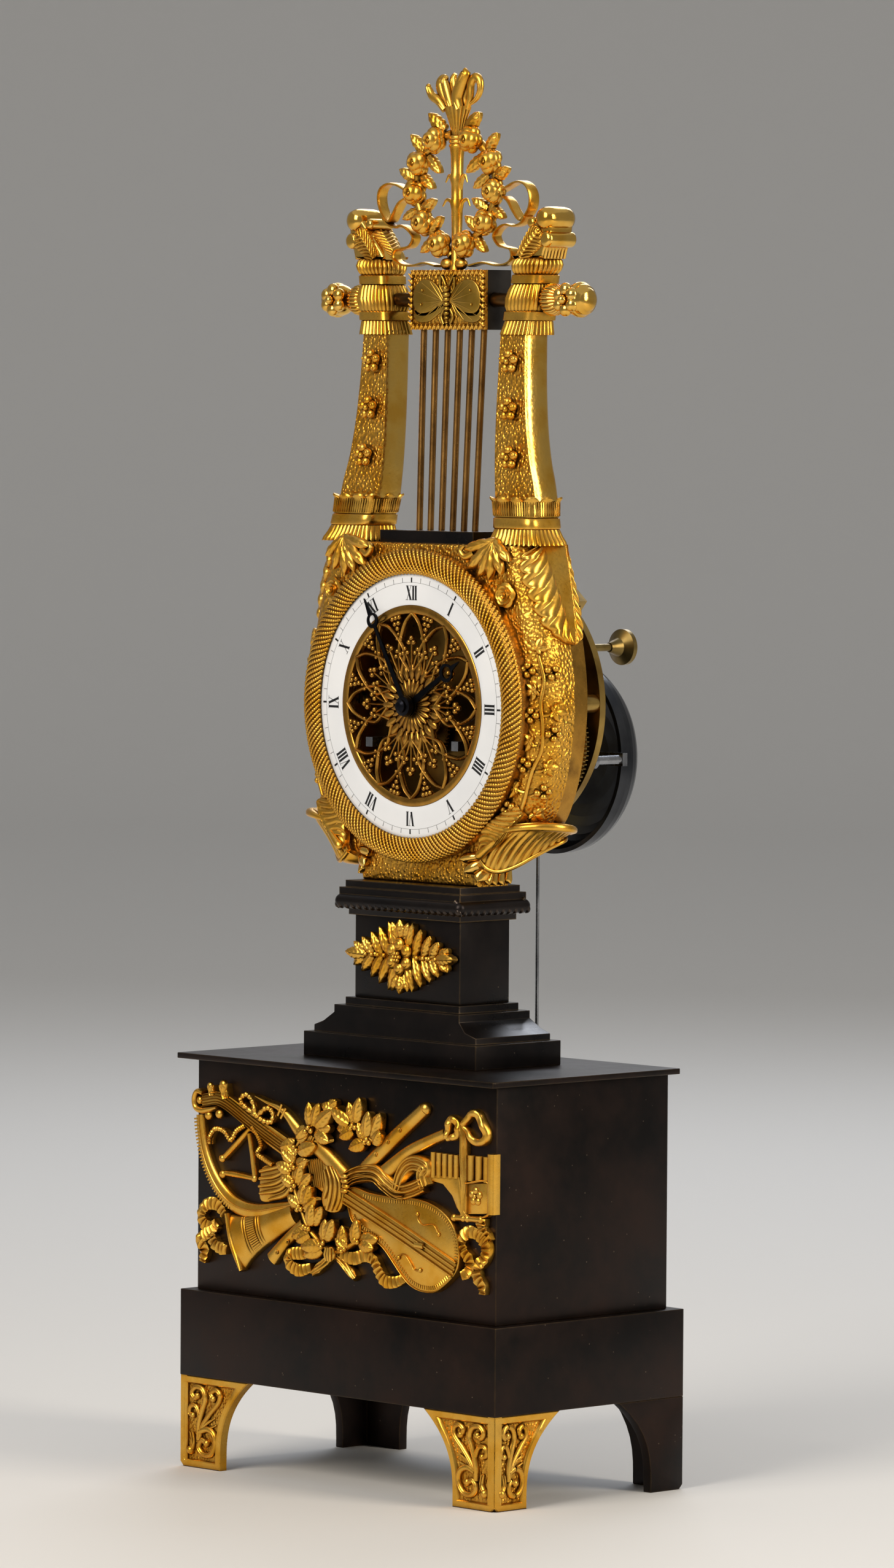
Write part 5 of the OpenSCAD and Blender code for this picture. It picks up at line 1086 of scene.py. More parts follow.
def collar():
    skirt = stack([(0.0, 11.0, 8.8, 0.2, 0.5), (0.0, 12.0, 9.7, 0.8, 0.8),
                   (1.2, 11.8, 9.5, 0.8, 0.1), (3.2, 10.7, 8.7, 0.5), (5.3, 9.9, 8.0, 0.1),
                   (5.4, 8.6, 7.0)], COLLAR, 36)
    band = stack([(5.2, 9.0, 7.2), (5.4, 9.8, 7.9), (5.9, 10.15, 8.2), (8.8, 10.0, 8.1),
                  (9.2, 9.7, 7.8), (9.3, 8.4, 6.8)], COLLAR, 16)
    leaves = stack([(9.2, 8.8, 7.1), (9.4, 9.8, 7.8, 0.1), (11.2, 10.2, 8.1, 0.3),
                    (13.2, 10.1, 8.0, 0.5), (14.6, 10.4, 8.3, 0.8, -0.4),
                    (15.6, 11.0, 8.9, 1.1, -1.2), (16.2, 10.8, 8.7, 1.2, -1.6),
                    (15.9, 10.0, 7.9, 0.6, -1.2), (14.6, 8.6, 6.4)], COLLAR, 10, 16, 0.5)
    veins = Form()
    foot, axis = np.array(COLLAR)
    for x, y in rounded_square(64, 1.24):
        flat = np.array([x, y, 0])
        line = [foot + axis * h + flat * np.array([r, r2, 0]) for h, r, r2 in
                ((9.8, 10.0, 7.95), (12.0, 10.1, 8.0), (14.4, 10.2, 8.1))]
        veins.add(tube(smooth_path(line, 4), 0.25, 4, normal=flat))
    return skirt.add(band, leaves, veins)


def capital():
    skirt = stack([(-0.1, 6.4, 5.8), (-0.1, 7.7, 7.1, 0.6, 0.4), (0.8, 7.6, 7.0, 0.6),
                   (2.8, 7.2, 6.6, 0.5), (4.5, 6.9, 6.3, 0.3), (4.6, 6.2, 5.6)], CAPITAL, 28)
    rings = Form()
    for low, wide, deep in ((4.5, 7.4, 6.8), (16.7, 6.8, 6.2)):
        rings.add(stack([(low, wide - 1, deep - 1), (low + 0.3, wide, deep),
                         (low + 3.0, wide, deep), (low + 3.3, wide - 0.4, deep - 0.4),
                         (low + 3.4, wide - 1.2, deep - 1.2)], CAPITAL, 16))
    drum = stack([(7.8, 6.0, 5.4), (7.9, 6.9, 6.3, 0.2), (9.4, 7.5, 6.9, 0.45),
                  (12.0, 7.7, 7.1, 0.5), (15.0, 7.2, 6.6, 0.45), (16.6, 6.6, 6.0, 0.2),
                  (16.8, 5.8, 5.2)], CAPITAL, 28)
    gadroons = stack([(19.9, 5.8, 5.2), (20.3, 6.5, 5.9, 0.5), (21.6, 7.2, 6.6, 0.8),
                      (23.2, 7.5, 6.9, 0.9), (24.8, 7.0, 6.4, 0.7), (25.5, 6.2, 5.6, 0.2)],
                     CAPITAL, 26)
    return skirt.add(rings, drum, gadroons)


piece("leafy_collars", collar().both_sides(), gilt_relief, replaces="arm_foot_collars", sharp=50)
piece("fluted_capitals", capital().both_sides(), gilt_relief, replaces="arm_capitals", sharp=50)

# %% [markdown]
# Each arm tapers and leans a little to the back. Its front is stippled and carries three small
# flowers; its sides are rolled over and burnished, so they catch one long highlight.
# %% Arms
ARM = [(330.0, 37.9, 9.6), (336, 36.9, 9.15), (344, 35.4, 8.2), (355, 34.2, 7.25),
       (368, 33.55, 6.5), (380, 33.35, 6.0), (386.5, 33.3, 5.8)]
ARM_FRONT, LEAN = -5.6, math.tan(math.radians(2.9))


def arm_y(z):
    return 6.5 + (z - 332) * LEAN


def arm():
    """The front is flat; the outer side swells and flares a little towards the back."""
    rings = []
    for z, x, half in smooth_path(ARM, 48):
        outer = smooth_path([(half, ARM_FRONT, 0), (half + 0.7, -3.6, 0), (half + 1.2, 0, 0),
                             (half + 1.1, 3.2, 0), (half - 0.2, 5.0, 0), (half - 2.0, 5.4, 0)], 25)
        inner = smooth_path([(2.0 - half, 5.4, 0), (0.4 - half, 4.8, 0), (-0.3 - half, 2.8, 0),
                             (-0.5 - half, 0, 0), (-0.3 - half, -3.6, 0), (-half, ARM_FRONT, 0)],
                            25)
        section = np.vstack([outer, inner])
        rings.append(section * [1, 1, 0] + [x, arm_y(z), z])
    return loft(rings)


def flower(x, y, z, size):
    form = ball(x, y - 1.5 * size, z, 0.95 * size, 10)
    form.add(ball(x, y, z, 2.4 * size, 14, squash=(1, 0.6, 1)))
    for dx, dz in around(5, size, 0.3):
        petal = ball(0, 0, 0, 1.4 * size, 12, squash=(1, 0.75, 0.9))
        form.add(petal.shifted(x + 2.1 * dx, y - 0.9 * size, z + 2.1 * dz),
                 ball(x + 2.5 * dx, y - 1.75 * size, z + 2.5 * dz, 0.5 * size, 8))
    return form


def arm_flowers():
    form = Form()
    for z in (344.3, 360.4, 376.2):
        x = np.interp(z, [q[0] for q in ARM], [q[1] for q in ARM])
        form.add(flower(x, arm_y(z) + ARM_FRONT - 0.6, z, 1.2))
    return form


for side, name in ((-1, "left"), (1, "right")):
    obj = piece(f"{name}_arm_casting", arm().scaled(x=side), (gilt_ground, gilt_bright),
                replaces=f"{name}_arm", sharp=30)
    for p in obj.data.polygons:
        p.material_index = 0 if p.normal.y < -0.9 else 1
piece("arm_flowers", arm_flowers().both_sides(), gilt_relief, sharp=60)

# %% [markdown]
# The finials are scrolls: each rises from the capital as a leaf with herringbone ribs, bends
# outwards, and ends in two burnished rolls, one over the other.
# %% Finials
SCROLL = [(31.0, 410.4), (33.0, 413.4), (36.2, 417.0), (39.4, 420.6), (42.2, 423.6), (44.4, 426.2),
          (47.2, 427.0), (49.0, 424.0), (48.4, 419.5), (48.6, 416.5), (47.2, 414.4), (46.0, 412.6),
          (45.2, 410.4)]


def extruded(outline, y0, y1, round_off):
    """A flat shape in the upright plane given depth, with rounded edges."""
    flat = np.array(outline, float)
    d = np.roll(flat, -1, axis=0) - np.roll(flat, 1, axis=0)
    n = np.column_stack([-d[:, 1], d[:, 0]]) / (np.linalg.norm(d, axis=1)[:, None] + 1e-9)
    area = 0.5 * np.sum(flat[:, 0] * np.roll(flat[:, 1], -1) - np.roll(flat[:, 0], -1) * flat[:, 1])
    n = n if area > 0 else -n
    rings = []
    for inset, y in ((1.0, y0), (0.3, y0 + round_off * 0.3), (0.0, y0 + round_off),
                     (0.0, y1 - round_off), (0.3, y1 - round_off * 0.3), (1.0, y1)):
        q = flat + n * inset * round_off
        rings.append(np.column_stack([q[:, 0], np.full(len(q), y), q[:, 1]]))
    return loft(rings)


def outline_of(points, steps, closed=True):
    """A smooth outline through (x, z) points, which comes back to the first one if closed."""
    path = flat_path(points + points[:1], 0, steps)[:-1] if closed else flat_path(points, 0, steps)
    return [(q[0], q[2]) for q in path]


def roll(x, z, r, y0, y1, dome=1.5):
    """A burnished roll whose axis runs to the back, with domed ends."""
    ends = [(0.0, 0.0), (0.5, 0.07), (0.8, 0.25), (0.95, 0.55), (1.0, 1.0)]
    ends = [(k, d * dome) for k, d in ends]
    profile = [(r * k, y0 + d) for k, d in ends] + [(r * k, y1 - d) for k, d in reversed(ends)]
    return lathe(profile, 40, x, z)


def finial_rolls():
    form = extruded(outline_of(SCROLL, 80, closed=False), 5.3, 16.5, 1.0)
    form.add(roll(46.0, 423.7, 4.0, 3.6, 17.8, dome=4.5), roll(47.1, 416.8, 2.75, 4.2, 17.6),
             roll(39.4, 422.4, 1.9, 5.2, 16.6))
    for i in range(7):
        form.add(tube([(45.4, 6.3 + 1.5 * i, 410.6), (46.6, 6.3 + 1.5 * i, 414.6)], 0.6, 8))
    return form


def finial_leaf(y, facing):
    path = flat_path([(35.6, 410.8), (38.0, 414.2), (41.4, 417.8), (44.6, 420.4)], y, 30)
    place, length = along_path(path, (0, facing, 0))
    near, far = (5.4, 3.6) if facing > 0 else (3.6, 5.4)
    return leaf(place, length, near, far, thick=0.5, lobes=8, slant=2.4, notch=0.05, ridge=0.9,
                rib=1.0, crown=0.2, point=0.25, base=0.9, rows=110, cols=14, sink=2.0)


def inner_leaf():
    path = flat_path([(30.6, 411.0), (33.0, 414.6), (36.2, 418.4), (38.6, 421.4)], 10.9, 30)
    place, length = along_path(path, (-0.8, 0, 0.6))
    return leaf(place, length, 5.3, thick=0.4, lobes=9, slant=1.2, notch=0.04, ridge=0.8, rib=0.8,
                crown=0.2, point=0.2, base=1.0, rows=110, cols=12, sink=2.0)


piece("finial_rolls", finial_rolls().both_sides(), gilt_bright, replaces="arm_finials", sharp=45)
leaves = finial_leaf(5.2, -1).add(finial_leaf(16.6, 1), inner_leaf().shifted(1.2, 0, -0.6))
piece("finial_leaves", leaves.both_sides(), gilt_relief, sharp=60)

# %% [markdown]
# The cross rod ends in two gilt flower heads: a ribbed calyx that screws on the rod, and a round
# bud with an open flower on its front.
# %% Flower knobs on the cross rod
ROD_Y, ROD_Z = 9.78, 396.8


def turned_about_rod(profile, flutes, depth, steps):
    """profile holds (x, radius, share of the flutes), where the share may be left out."""
    t = np.linspace(0, 2 * np.pi, steps, endpoint=False)
    dip = depth * (1 - np.abs(np.sin(flutes / 2 * t)) ** 0.7)
    rings = []
    for x, r, *share in profile:
        r = r - sum(share) * dip
        rings.append(np.column_stack([np.full(steps, x), ROD_Y + r * np.cos(t),
                                      ROD_Z + r * np.sin(t)]))
    return loft(rings)


def knob():
    """A ribbed calyx, then a round bud whose open flower looks to the front."""
    form = turned_about_rod([(43.0, 2.6), (43.6, 4.6, 0.6), (45.6, 5.5, 1), (48.2, 5.2, 1),
                             (50.6, 3.9, 0.7), (52.2, 2.9, 0.2)], 24, 0.55, 144)
    form.add(ball(57.4, ROD_Y, ROD_Z, 5.4, 28))
    form.add(turned_about_rod([(57.6, 5.2), (58.4, 5.9), (59.6, 5.9), (60.1, 5.2), (60.8, 5.3),
                               (61.8, 4.8), (62.1, 4.1), (62.8, 3.9), (63.6, 2.8), (63.9, 0.6)],
                              2, 0, 48))
    for dx, dz in around(6, 3.3, math.pi / 6):
        form.add(ball(56.4 + dx, ROD_Y - 4.4, ROD_Z + dz, 2.4, 16, squash=(1, 0.8, 1)))
    return form.add(ball(56.4, ROD_Y - 6.0, ROD_Z, 1.6, 12))


piece("flower_heads", knob().both_sides(), gilt_bright, replaces="flower_knobs", sharp=60)

# %% [markdown]
# The crest was cast in one flat piece and chased: a pointed garland of ten open roses with their
# leaves, a thorny stem inside it, a tied sheaf with flames on top, and ribbons that loop out at
# both sides. Each rose is a cupped heart in two rounds of petals.
# %% Crest
CREST_Y = 9.48
ROSES = [(6.0, 415.5), (15.1, 422.8), (19.1, 433.0), (17.3, 443.0), (8.7, 450.4)]
CREST_LEAVES = [(5.6, 453.4, 12.2, 459.4, 3.3), (15.6, 447.0, 20.8, 452.4, 2.7),
                (19.8, 437.6, 26.2, 440.8, 2.7), (12.8, 444.6, 6.4, 439.4, 2.7),
                (16.2, 438.4, 9.8, 434.2, 2.6), (15.6, 427.0, 9.2, 430.6, 2.6),
                (11.6, 420.0, 5.8, 424.8, 2.6), (18.6, 427.0, 24.4, 424.0, 2.3),
                (9.6, 417.4, 15.6, 412.8, 2.6)]
RIBBON_LOOP = [(22.0, 433.0), (25.6, 434.6), (29.0, 435.8), (32.6, 435.9), (35.6, 434.2),
               (36.8, 430.8), (35.6, 426.6), (32.0, 423.4), (29.2, 426.0), (26.6, 429.4),
               (24.0, 431.0)]
RIBBON_TAIL = [(34.6, 424.6), (32.0, 422.2), (28.6, 421.4), (25.2, 421.8), (22.0, 420.6),
               (19.6, 418.0), (21.6, 415.0), (25.2, 414.2), (28.2, 413.4), (28.6, 410.6),
               (25.4, 408.8), (20.0, 408.4), (14.0, 409.2), (8.0, 408.2)]
FLAMES = [(-1.2, 1.3, [(-5, 460.5), (-8, 463.6), (-11.2, 465.4), (-13.0, 468.2), (-12.2, 468.8)]),
          (0.4, 1.7, [(-4, 461), (-7.2, 465.4), (-8.6, 469.4), (-6.8, 471.0), (-5.8, 469.4)]),
          (-0.8, 1.5, [(-2, 461), (-4.2, 466.4), (-5.6, 470.4), (-4.4, 471.8)]),
          (0.5, 1.5, [(0, 461), (-1.4, 466), (-2.6, 470.6), (-1.6, 472.6)]),
          (-0.9, 2.1, [(2.0, 460.5), (0.8, 464.4), (2.4, 468.6), (4.8, 472.6), (4.0, 472.2)]),
          (0.9, 1.8, [(3.4, 461), (2.6, 465), (4.6, 469), (5.4, 471.4)]),
          (-0.2, 1.3, [(4.6, 460.8), (6.2, 464.6), (6.6, 469.2), (8.8, 471.2), (10.9, 469.8),
                       (11.0, 466.6), (9.2, 464.0), (6.6, 462.4)])]


def upright(profile, steps=32, squash=1.0, flutes=0, depth=0.0):
    """Turned about an upright axis from (radius, z) points."""
    t = np.linspace(0, 2 * np.pi, steps, endpoint=False)
    dip = 1 - depth * (1 - np.abs(np.sin(flutes / 2 * t)))
    return loft([np.column_stack([r * dip * np.cos(t), CREST_Y + r * squash * dip * np.sin(t),
                                  np.full(steps, z)]) for r, z in profile])


def crest_rose():
    """Faces the front; a hollow heart, three petals round it and five below."""
    form = lathe([(0, -1.6), (0.7, -1.8), (1.0, -3.5), (1.6, -4.0), (2.4, -3.6), (3.1, -2.2),
                  (3.2, -0.4), (1.5, 1.2), (0, 1.4)], 28)
    form.add(ball(0.2, -2.9, 0, 0.6, 10))
    for count, out, r, y, start in ((3, 1.5, 3.0, -0.9, 0.5), (5, 2.3, 2.5, 0.4, 0.1)):
        for x, z in around(count, out, start):
            form.add(ball(x, y, z, r, 14, squash=(1, 0.75, 1)))
    return form.scaled(1.02, 1.02, 1.02)


def ribbon(points, width, y, sway, steps):
    """A band set edge on, so that its face is seen from the side."""
    line = [(x, y + sway * math.sin(1.3 * i), z) for i, (x, z) in enumerate(points)]
    path = smooth_path(line, steps)
    t = np.gradient(path, axis=0)
    n = np.column_stack([-t[:, 2], 0 * t[:, 0], t[:, 0]])
    return tube(path, width / 2, 12, normal=n, flat=0.9 / width, square=4)


def crest_half():
    form = tube(flat_path([(2.0, 411.5), *ROSES, (2.0, 452.4)], CREST_Y, 60), 1.7, 10)
    for i, (x, z) in enumerate(ROSES):
        front = CREST_Y - (2.2 if i in (0, 4) else 1.2)
        form.add(crest_rose().turned(40.0 * i).shifted(x, front, z))
    for points in CREST_LEAVES:
        form.add(leaf_to(*points, CREST_Y - 0.4, lift=0.9, thick=1.0, lobes=4, slant=0.7,
                         notch=0.16, ridge=0.3, rib=0.45, crown=0.7, point=0.75, base=0.7, rows=24,
                         cols=6, sink=1.0))
    form.add(ribbon(RIBBON_LOOP, 4.6, CREST_Y, 0.3, 90),
             ribbon(RIBBON_TAIL, 4.2, CREST_Y - 0.4, 0.4, 130))
    for z, reach, r in ((428.6, 6.6, 1.0), (436.6, 5.2, 1.3)):
        hook = [(1.0, CREST_Y, z - 2.4), (2.4, CREST_Y, z + 0.8), (reach * 0.75, CREST_Y, z + 1.8),
                (reach, CREST_Y - 0.3, z - 0.4)]
        form.add(tube(smooth_path(hook, 14), np.linspace(r, 0.3, 13), 8, flat=0.7))
    return form


def crest_middle():
    form = upright([(2.6, 406.9), (1.9, 409.0), (1.8, 420), (1.95, 427), (2.4, 429.4), (1.95, 431),
                    (2.0, 435.6), (2.6, 437.8), (2.05, 439.6), (2.2, 445), (2.6, 448)])
    form.add(upright([(2.6, 447.6), (3.1, 448.1), (3.1, 448.7), (2.6, 449.1), (3.1, 449.5),
                      (3.1, 450.1), (2.6, 450.5), (3.1, 450.9), (3.1, 451.5), (2.6, 451.9)],
                     squash=0.85))
    form.add(upright([(2.6, 451.6), (3.1, 454), (4.4, 457.4), (6.1, 460.8), (6.2, 461.6),
                      (4.6, 461.9)], steps=128, squash=0.42, flutes=16, depth=0.13))
    for dy, r, points in FLAMES:
        path = flat_path(points, CREST_Y + dy, 30)
        radius = 1.25 * r * np.sin(np.linspace(0.9, 2.75, len(path)))
        form.add(tube(path, radius, 10, flat=0.75))
        form.add(tube(path - [0, 0.55 * r, 0], radius * 0.28, 6))
    for x in (-3.4, 3.4):
        form.add(ball(x, CREST_Y - 1.2, 408.9, 2.3, 14, squash=(1.2, 0.8, 0.9)))
    return form


piece("rose_garland", crest_half().both_sides().add(crest_middle()), gilt_relief,
      replaces="rose_crest", sharp=50)

# %% [markdown]
# The plaque was cast flat with a butterfly in low relief, seen from above, on a punched ground
# inside a border of small ridged beads. Wings are raised fields with fine veins; the body is a row
# of rounded segments. The beads are one ornament set on points.
# %% Butterfly plaque
PLAQUE_Y, PLAQUE_Z, PLAQUE_W, PLAQUE_H = 5.5, 396.8, 36.5, 20.0
UPPER_WING = [(1.4, 0.4), (4.5, 4.6), (8.5, 6.7), (13.0, 6.4), (15.9, 3.2), (16.2, -1.4),
              (14.0, -4.2), (9.6, -4.3), (5.2, -2.6), (1.6, -1.2)]
LOWER_WING = [(1.6, -1.6), (5.4, -3.2), (9.6, -4.8), (14.0, -4.8), (16.0, -3.4), (16.2, -6.0),
              (13.4, -7.6), (8.8, -7.3), (4.8, -5.2), (2.0, -3.4)]


def wing(points, height):
    shape = [(x, PLAQUE_Z + z) for x, z in outline_of(points, 60)]
    form = extruded(shape, PLAQUE_Y - height, PLAQUE_Y + 0.5, 0.35)
    for i in range(2, len(points) - 1):
        x, z = points[i]
        line = [(1.8 + (x * 0.92 - 1.8) * k, PLAQUE_Y - height - 0.02, PLAQUE_Z - 0.4 +
                 (z * 0.9 + 0.4) * k) for k in (0, 0.5, 1)]
        form.add(tube(line, [0.22, 0.16, 0.06], 6))
    return form


def butterfly():
    half = wing(UPPER_WING, 0.8).add(wing(LOWER_WING, 0.45))
    for x, z in ((11.6, 3.2), (12.2, -1.6)):
        half.add(ball(x, PLAQUE_Y - 0.85, PLAQUE_Z + z, 0.55, 10))
    for line in ([(0.6, 4.6), (1.6, 6.4), (3.0, 8.4)], [(2.0, 2.4), (3.4, 4.4), (3.4, 7.6)],
                 [(1.6, -3.2), (2.8, -5.4), (1.6, -8.2)]):
        raised = [(x, PLAQUE_Z + z) for x, z in line]
        half.add(tube(flat_path(raised, PLAQUE_Y - 0.3, 10), 0.55, 8))
    form = half.both_sides()
    form.add(ball(0, PLAQUE_Y - 0.7, PLAQUE_Z + 3.7, 1.45, 16))
    for x in (-0.9, 0.9):
        form.add(ball(x, PLAQUE_Y - 1.6, PLAQUE_Z + 4.3, 0.55, 10))
    for i, r in enumerate((1.8, 1.65, 1.55, 1.4, 1.25, 1.05, 0.8)):
        form.add(ball(0, PLAQUE_Y - 0.5, PLAQUE_Z + 1.7 - 1.55 * i, r, 16, squash=(1, 0.85, 0.62)))
    return form


def plaque_plate():
    w, h = PLAQUE_W / 2, PLAQUE_H / 2
    shape = [(-w, PLAQUE_Z - h), (w, PLAQUE_Z - h), (w, PLAQUE_Z + h), (-w, PLAQUE_Z + h)]
    return extruded(shape, PLAQUE_Y, 6.56, 0.2)


def border_points(width, height, pitch):
    """Places and turns of beads along the four sides of an upright rectangle."""
    places, turns = [], []
    for length, other, turn in ((width, height, 0.0), (height, width, math.pi / 2)):
        count = round(length / pitch)
        for side in (-1, 1):
            for i in range(count):
                a = (i + 0.5 - count / 2) * length / count
                b = side * other / 2
                places.append((a, b) if turn == 0 else (b, a))
                turns.append((0.0, turn, 0.0))
    return places, turns


piece("plaque_ground", plaque_plate(), gilt_ground, replaces="yoke_plaque")
piece("plaque_butterfly", butterfly(), gilt_dull_light, sharp=50)
bead = ball(0, 0, 0, 1.0, 12, squash=(1, 0.9, 0.9))
bead.add(tube([(-0.6, -0.75, -0.9), (0.6, -0.75, 0.9)], 0.3, 6))
places, turns = border_points(PLAQUE_W - 1.8, PLAQUE_H - 1.8, 2.0)
set_on_points("plaque_border", bead, [(x, PLAQUE_Y - 0.1, PLAQUE_Z + z) for x, z in places], turns,
              gilt_relief)

# %% [markdown]
# The pedestal's cornice carries a band of slanting gadroons, cast with it and gone over with a
# gouge. The moulding keeps its engineering shape with its edges eased; the gadroons are one lobe
# set on points round the band, turned to face outwards on each side.
# %% Pedestal
def eased(node_name, finish, width):
    """A copy of an engineering node with its edges broken, as a file leaves them."""
    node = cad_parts[node_name]
    mesh = node.data.copy()
    mesh.transform(node.matrix_world)

    def break_edges(e):
        bmesh.ops.remove_doubles(e, verts=e.verts, dist=2e-6)
        bmesh.ops.dissolve_limit(e, angle_limit=math.radians(1), verts=e.verts, edges=e.edges)
        edges = [k for k in e.edges if len(k.link_faces) == 2
                 and k.calc_face_angle(0) > math.radians(30) and k.calc_length() > 3 * width * MM]
        bmesh.ops.bevel(e, geom=edges, offset=width * MM, segments=2, profile=0.6,
                        affect="EDGES", clamp_overlap=True)
        bmesh.ops.triangulate(e, faces=[f for f in e.faces if len(f.verts) > 4])
    edited(mesh, break_edges)
    dressed(linked(node_name + "_eased", mesh), finish, node_name, "dark_bronze", 35)


for node_name in ("pedestal_base", "pedestal_die", "pedestal_cornice"):
    eased(node_name, patinated_black, 0.25)
GADROON_W, GADROON_D, GADROON_Z, GADROON_R = 62.2, 34.1, 194.2, 2.4
lobe_path = smooth_path([(-1.1, 1.3, 2.7), (-0.6, 0.3, 1.6), (0.1, -0.8, 0.3), (0.7, -1.2, -1.1),
                         (0.9, -0.4, -2.3)], 16)
lobe = tube(lobe_path, np.interp(np.linspace(0, 1, 17), [0, 0.3, 0.6, 0.85, 1],
                                 [0.6, 1.0, 1.2, 1.15, 0.5]), 12)
w, d = GADROON_W - 2 * GADROON_R, GADROON_D - 2 * GADROON_R
points, turns = [], []
for length, other, turn in ((w, -d, 0.0), (d, w, 0.5), (w, d, 1.0), (d, -w, 1.5)):
    count = round(length / 3.0)
    for i in range(count + 1):
        a, b = (i / count - 0.5) * length, other / 2
        sign = 1 if turn < 1 else -1
        points.append((a * sign, b, GADROON_Z) if turn in (0.0, 1.0) else (b, a * sign, GADROON_Z))
        turns.append((0.0, 0.0, turn * math.pi))
set_on_points("cornice_gadroons", lobe, points, turns, patinated_rubbed, "dark_bronze")

# %% [markdown]
# The mount on the die is a lozenge of laurel leaves in two mirrored sprays, with a six-petalled
# flower in the middle, small berries along the stem, and a bud above and below.
# %% Leaf spray
SPRAY_X, SPRAY_Y, SPRAY_Z = -0.4, -12.6, 176.7


def spray_leaf(x, z, x1, z1, width, y):
    return leaf_to(SPRAY_X + x, SPRAY_Z + z, SPRAY_X + x1, SPRAY_Z + z1, width, SPRAY_Y + y,
                   lift=0.9, thick=1.2, lobes=5, slant=1.0, notch=0.12, ridge=0.22, rib=0.45,
                   crown=0.7, point=0.6, base=0.5, rows=26, cols=6, sink=1.2)


def spray_ball(x, y, z, *more):
    return ball(SPRAY_X + x, SPRAY_Y + y, SPRAY_Z + z, *more)


def spray():
    form = Form()
    for side in (-1, 1):
        for i in range(5):
            for up in (-1, 1):
                form.add(spray_leaf(side * (2.0 + 4.1 * i), up * 0.3, side * (5.8 + 4.2 * i),
                                    up * (11.4 - 1.9 * i), 2.3, -0.25 * (i % 2)))
        form.add(spray_leaf(side * 17.5, 0, side * 26.2, 0.4, 2.6, -0.7))
        form.add(*(spray_ball(side * (8.0 + 3.0 * i), -1.6, 0, 0.95, 10) for i in range(5)))
        stem = np.array([[0, -0.6, 0], [side * 20, -0.6, 0]]) + [SPRAY_X, SPRAY_Y, SPRAY_Z]
        form.add(tube(stem, 1.0, 8))
    for up in (-1, 1):
        for x, z, x1, z1, width, y in ((-1.8, 6, -3.8, 11.4, 2.2, -0.2),
                                       (1.8, 6, 3.8, 11.4, 2.2, -0.2),
                                       (0, 6.6, 0, 12.4, 2.8, -0.4)):
            form.add(spray_leaf(x, up * z, x1, up * z1, width, y))
        form.add(spray_ball(0, -1.6, up * 10.0, 1.5, 14, (1, 1, 1.3)))
    for x, z in around(6, 4.0, 0.5):
        form.add(spray_ball(x, -2.2, z, 2.45, 18, (1, 0.5, 1)),
                 spray_ball(x, -2.9, z, 1.55, 14, (1, 0.5, 1)))
    return form.add(*(spray_ball(x, -3.6, z, 0.8, 10) for x, z in [*around(6, 1.3), (0, 0)]))


piece("leaf_spray", spray(), gilt_relief, replaces="leaf_spray_mount", sharp=50)

# %% [markdown]
# The trophy on the box was cast in one pierced piece from a carved pattern, then chased and pinned
# on. Every instrument is a low relief, so most of them are one function: a band along a measured
# line, as wide as given, domed, folded or pleated on its face and always down to the box. Flat
# bodies such as the lute are outlines given depth. The laurel uses the same leaf as all foliage.
# %% Musical trophy: measured lines
TROPHY_Y = -39.7
WREATH_LEFT = [(-3.1, 78.7), (-9.0, 81.8), (-14.9, 86.4), (-18.5, 93.1), (-21.6, 99.2),
               (-22.1, 106.8), (-20.3, 113.4), (-14.2, 119.6), (-7.9, 124.7), (-1.4, 127.4)]
WREATH_RIGHT = [(-1.1, 127.4), (4.7, 124.3), (9.6, 121.2), (17.5, 117.0)]
WREATH_LOW = [(-2.9, 78.5), (2.7, 80.4), (9.2, 83.5), (14.3, 84.1)]
HARP_NECK = [(-68.3, 125.3), (-58.3, 126.0), (-42.4, 118.9), (-24.5, 111.3)]
HARP_HEAD = [(-67.6, 127.8), (-70.6, 128.2), (-72.0, 125.9), (-71.4, 122.9), (-68.6, 121.9),
             (-64.5, 122.5), (-60.5, 123.4)]
HARP_BACK = [(-70.1, 120.3), (-69.4, 114.7), (-67.6, 107.5), (-63.9, 100.4), (-58.4, 94.4),
             (-51.2, 90.5), (-41.6, 89.6), (-30.3, 91.6), (-22.6, 93.1)]
ROPE = [[(-41.2, 122.2), (-46.3, 124.6), (-48.9, 126.7), (-46.3, 128.9), (-43.2, 127.1),
        (-41.2, 122.3)], [(-41.2, 122.2), (-37.1, 120.5), (-33.4, 120.6), (-32.9, 123.7),
        (-35.9, 125.0), (-40.0, 122.3)], [(-46.6, 118.3), (-50.8, 116.2), (-53.7, 112.9),
        (-57.0, 115.6), (-61.3, 116.1), (-64.0, 113.4), (-64.4, 110.8)], [(-43.0, 118.2),
        (-40.0, 115.2), (-38.5, 112.1), (-40.2, 109.3), (-36.4, 107.4), (-32.8, 106.0)]]
STICKS = [[(-41.0, 120.6), (-48.3, 114.6), (-58.6, 106.2)], [(-45.4, 115.6), (-43.5, 106.8),
          (-42.5, 100.6)], [(-42.5, 100.5), (-50.6, 101.1), (-57.4, 101.3), (-58.3, 100.9)]]
SMALL_CLOTH = [(-22.1, 107.8), (-30.4, 106.5), (-37.8, 105.2), (-39.7, 102.3), (-39.8, 93.7),
               (-33.2, 93.6), (-28.0, 96.7), (-23.3, 101.9)]
SMALL_FOLDS = [[(-23.1, 107.1), (-31.6, 105.2), (-39.2, 103.3)], [(-23.1, 106.3), (-31.3, 102.4),
               (-39.4, 100.8)], [(-22.6, 105.3), (-30.4, 100.3), (-39.6, 98.2)], [(-22.1, 104.3),
               (-28.6, 98.3), (-39.1, 95.9)], [(-21.6, 103.2), (-26.1, 96.9), (-34.6, 94.1)]]
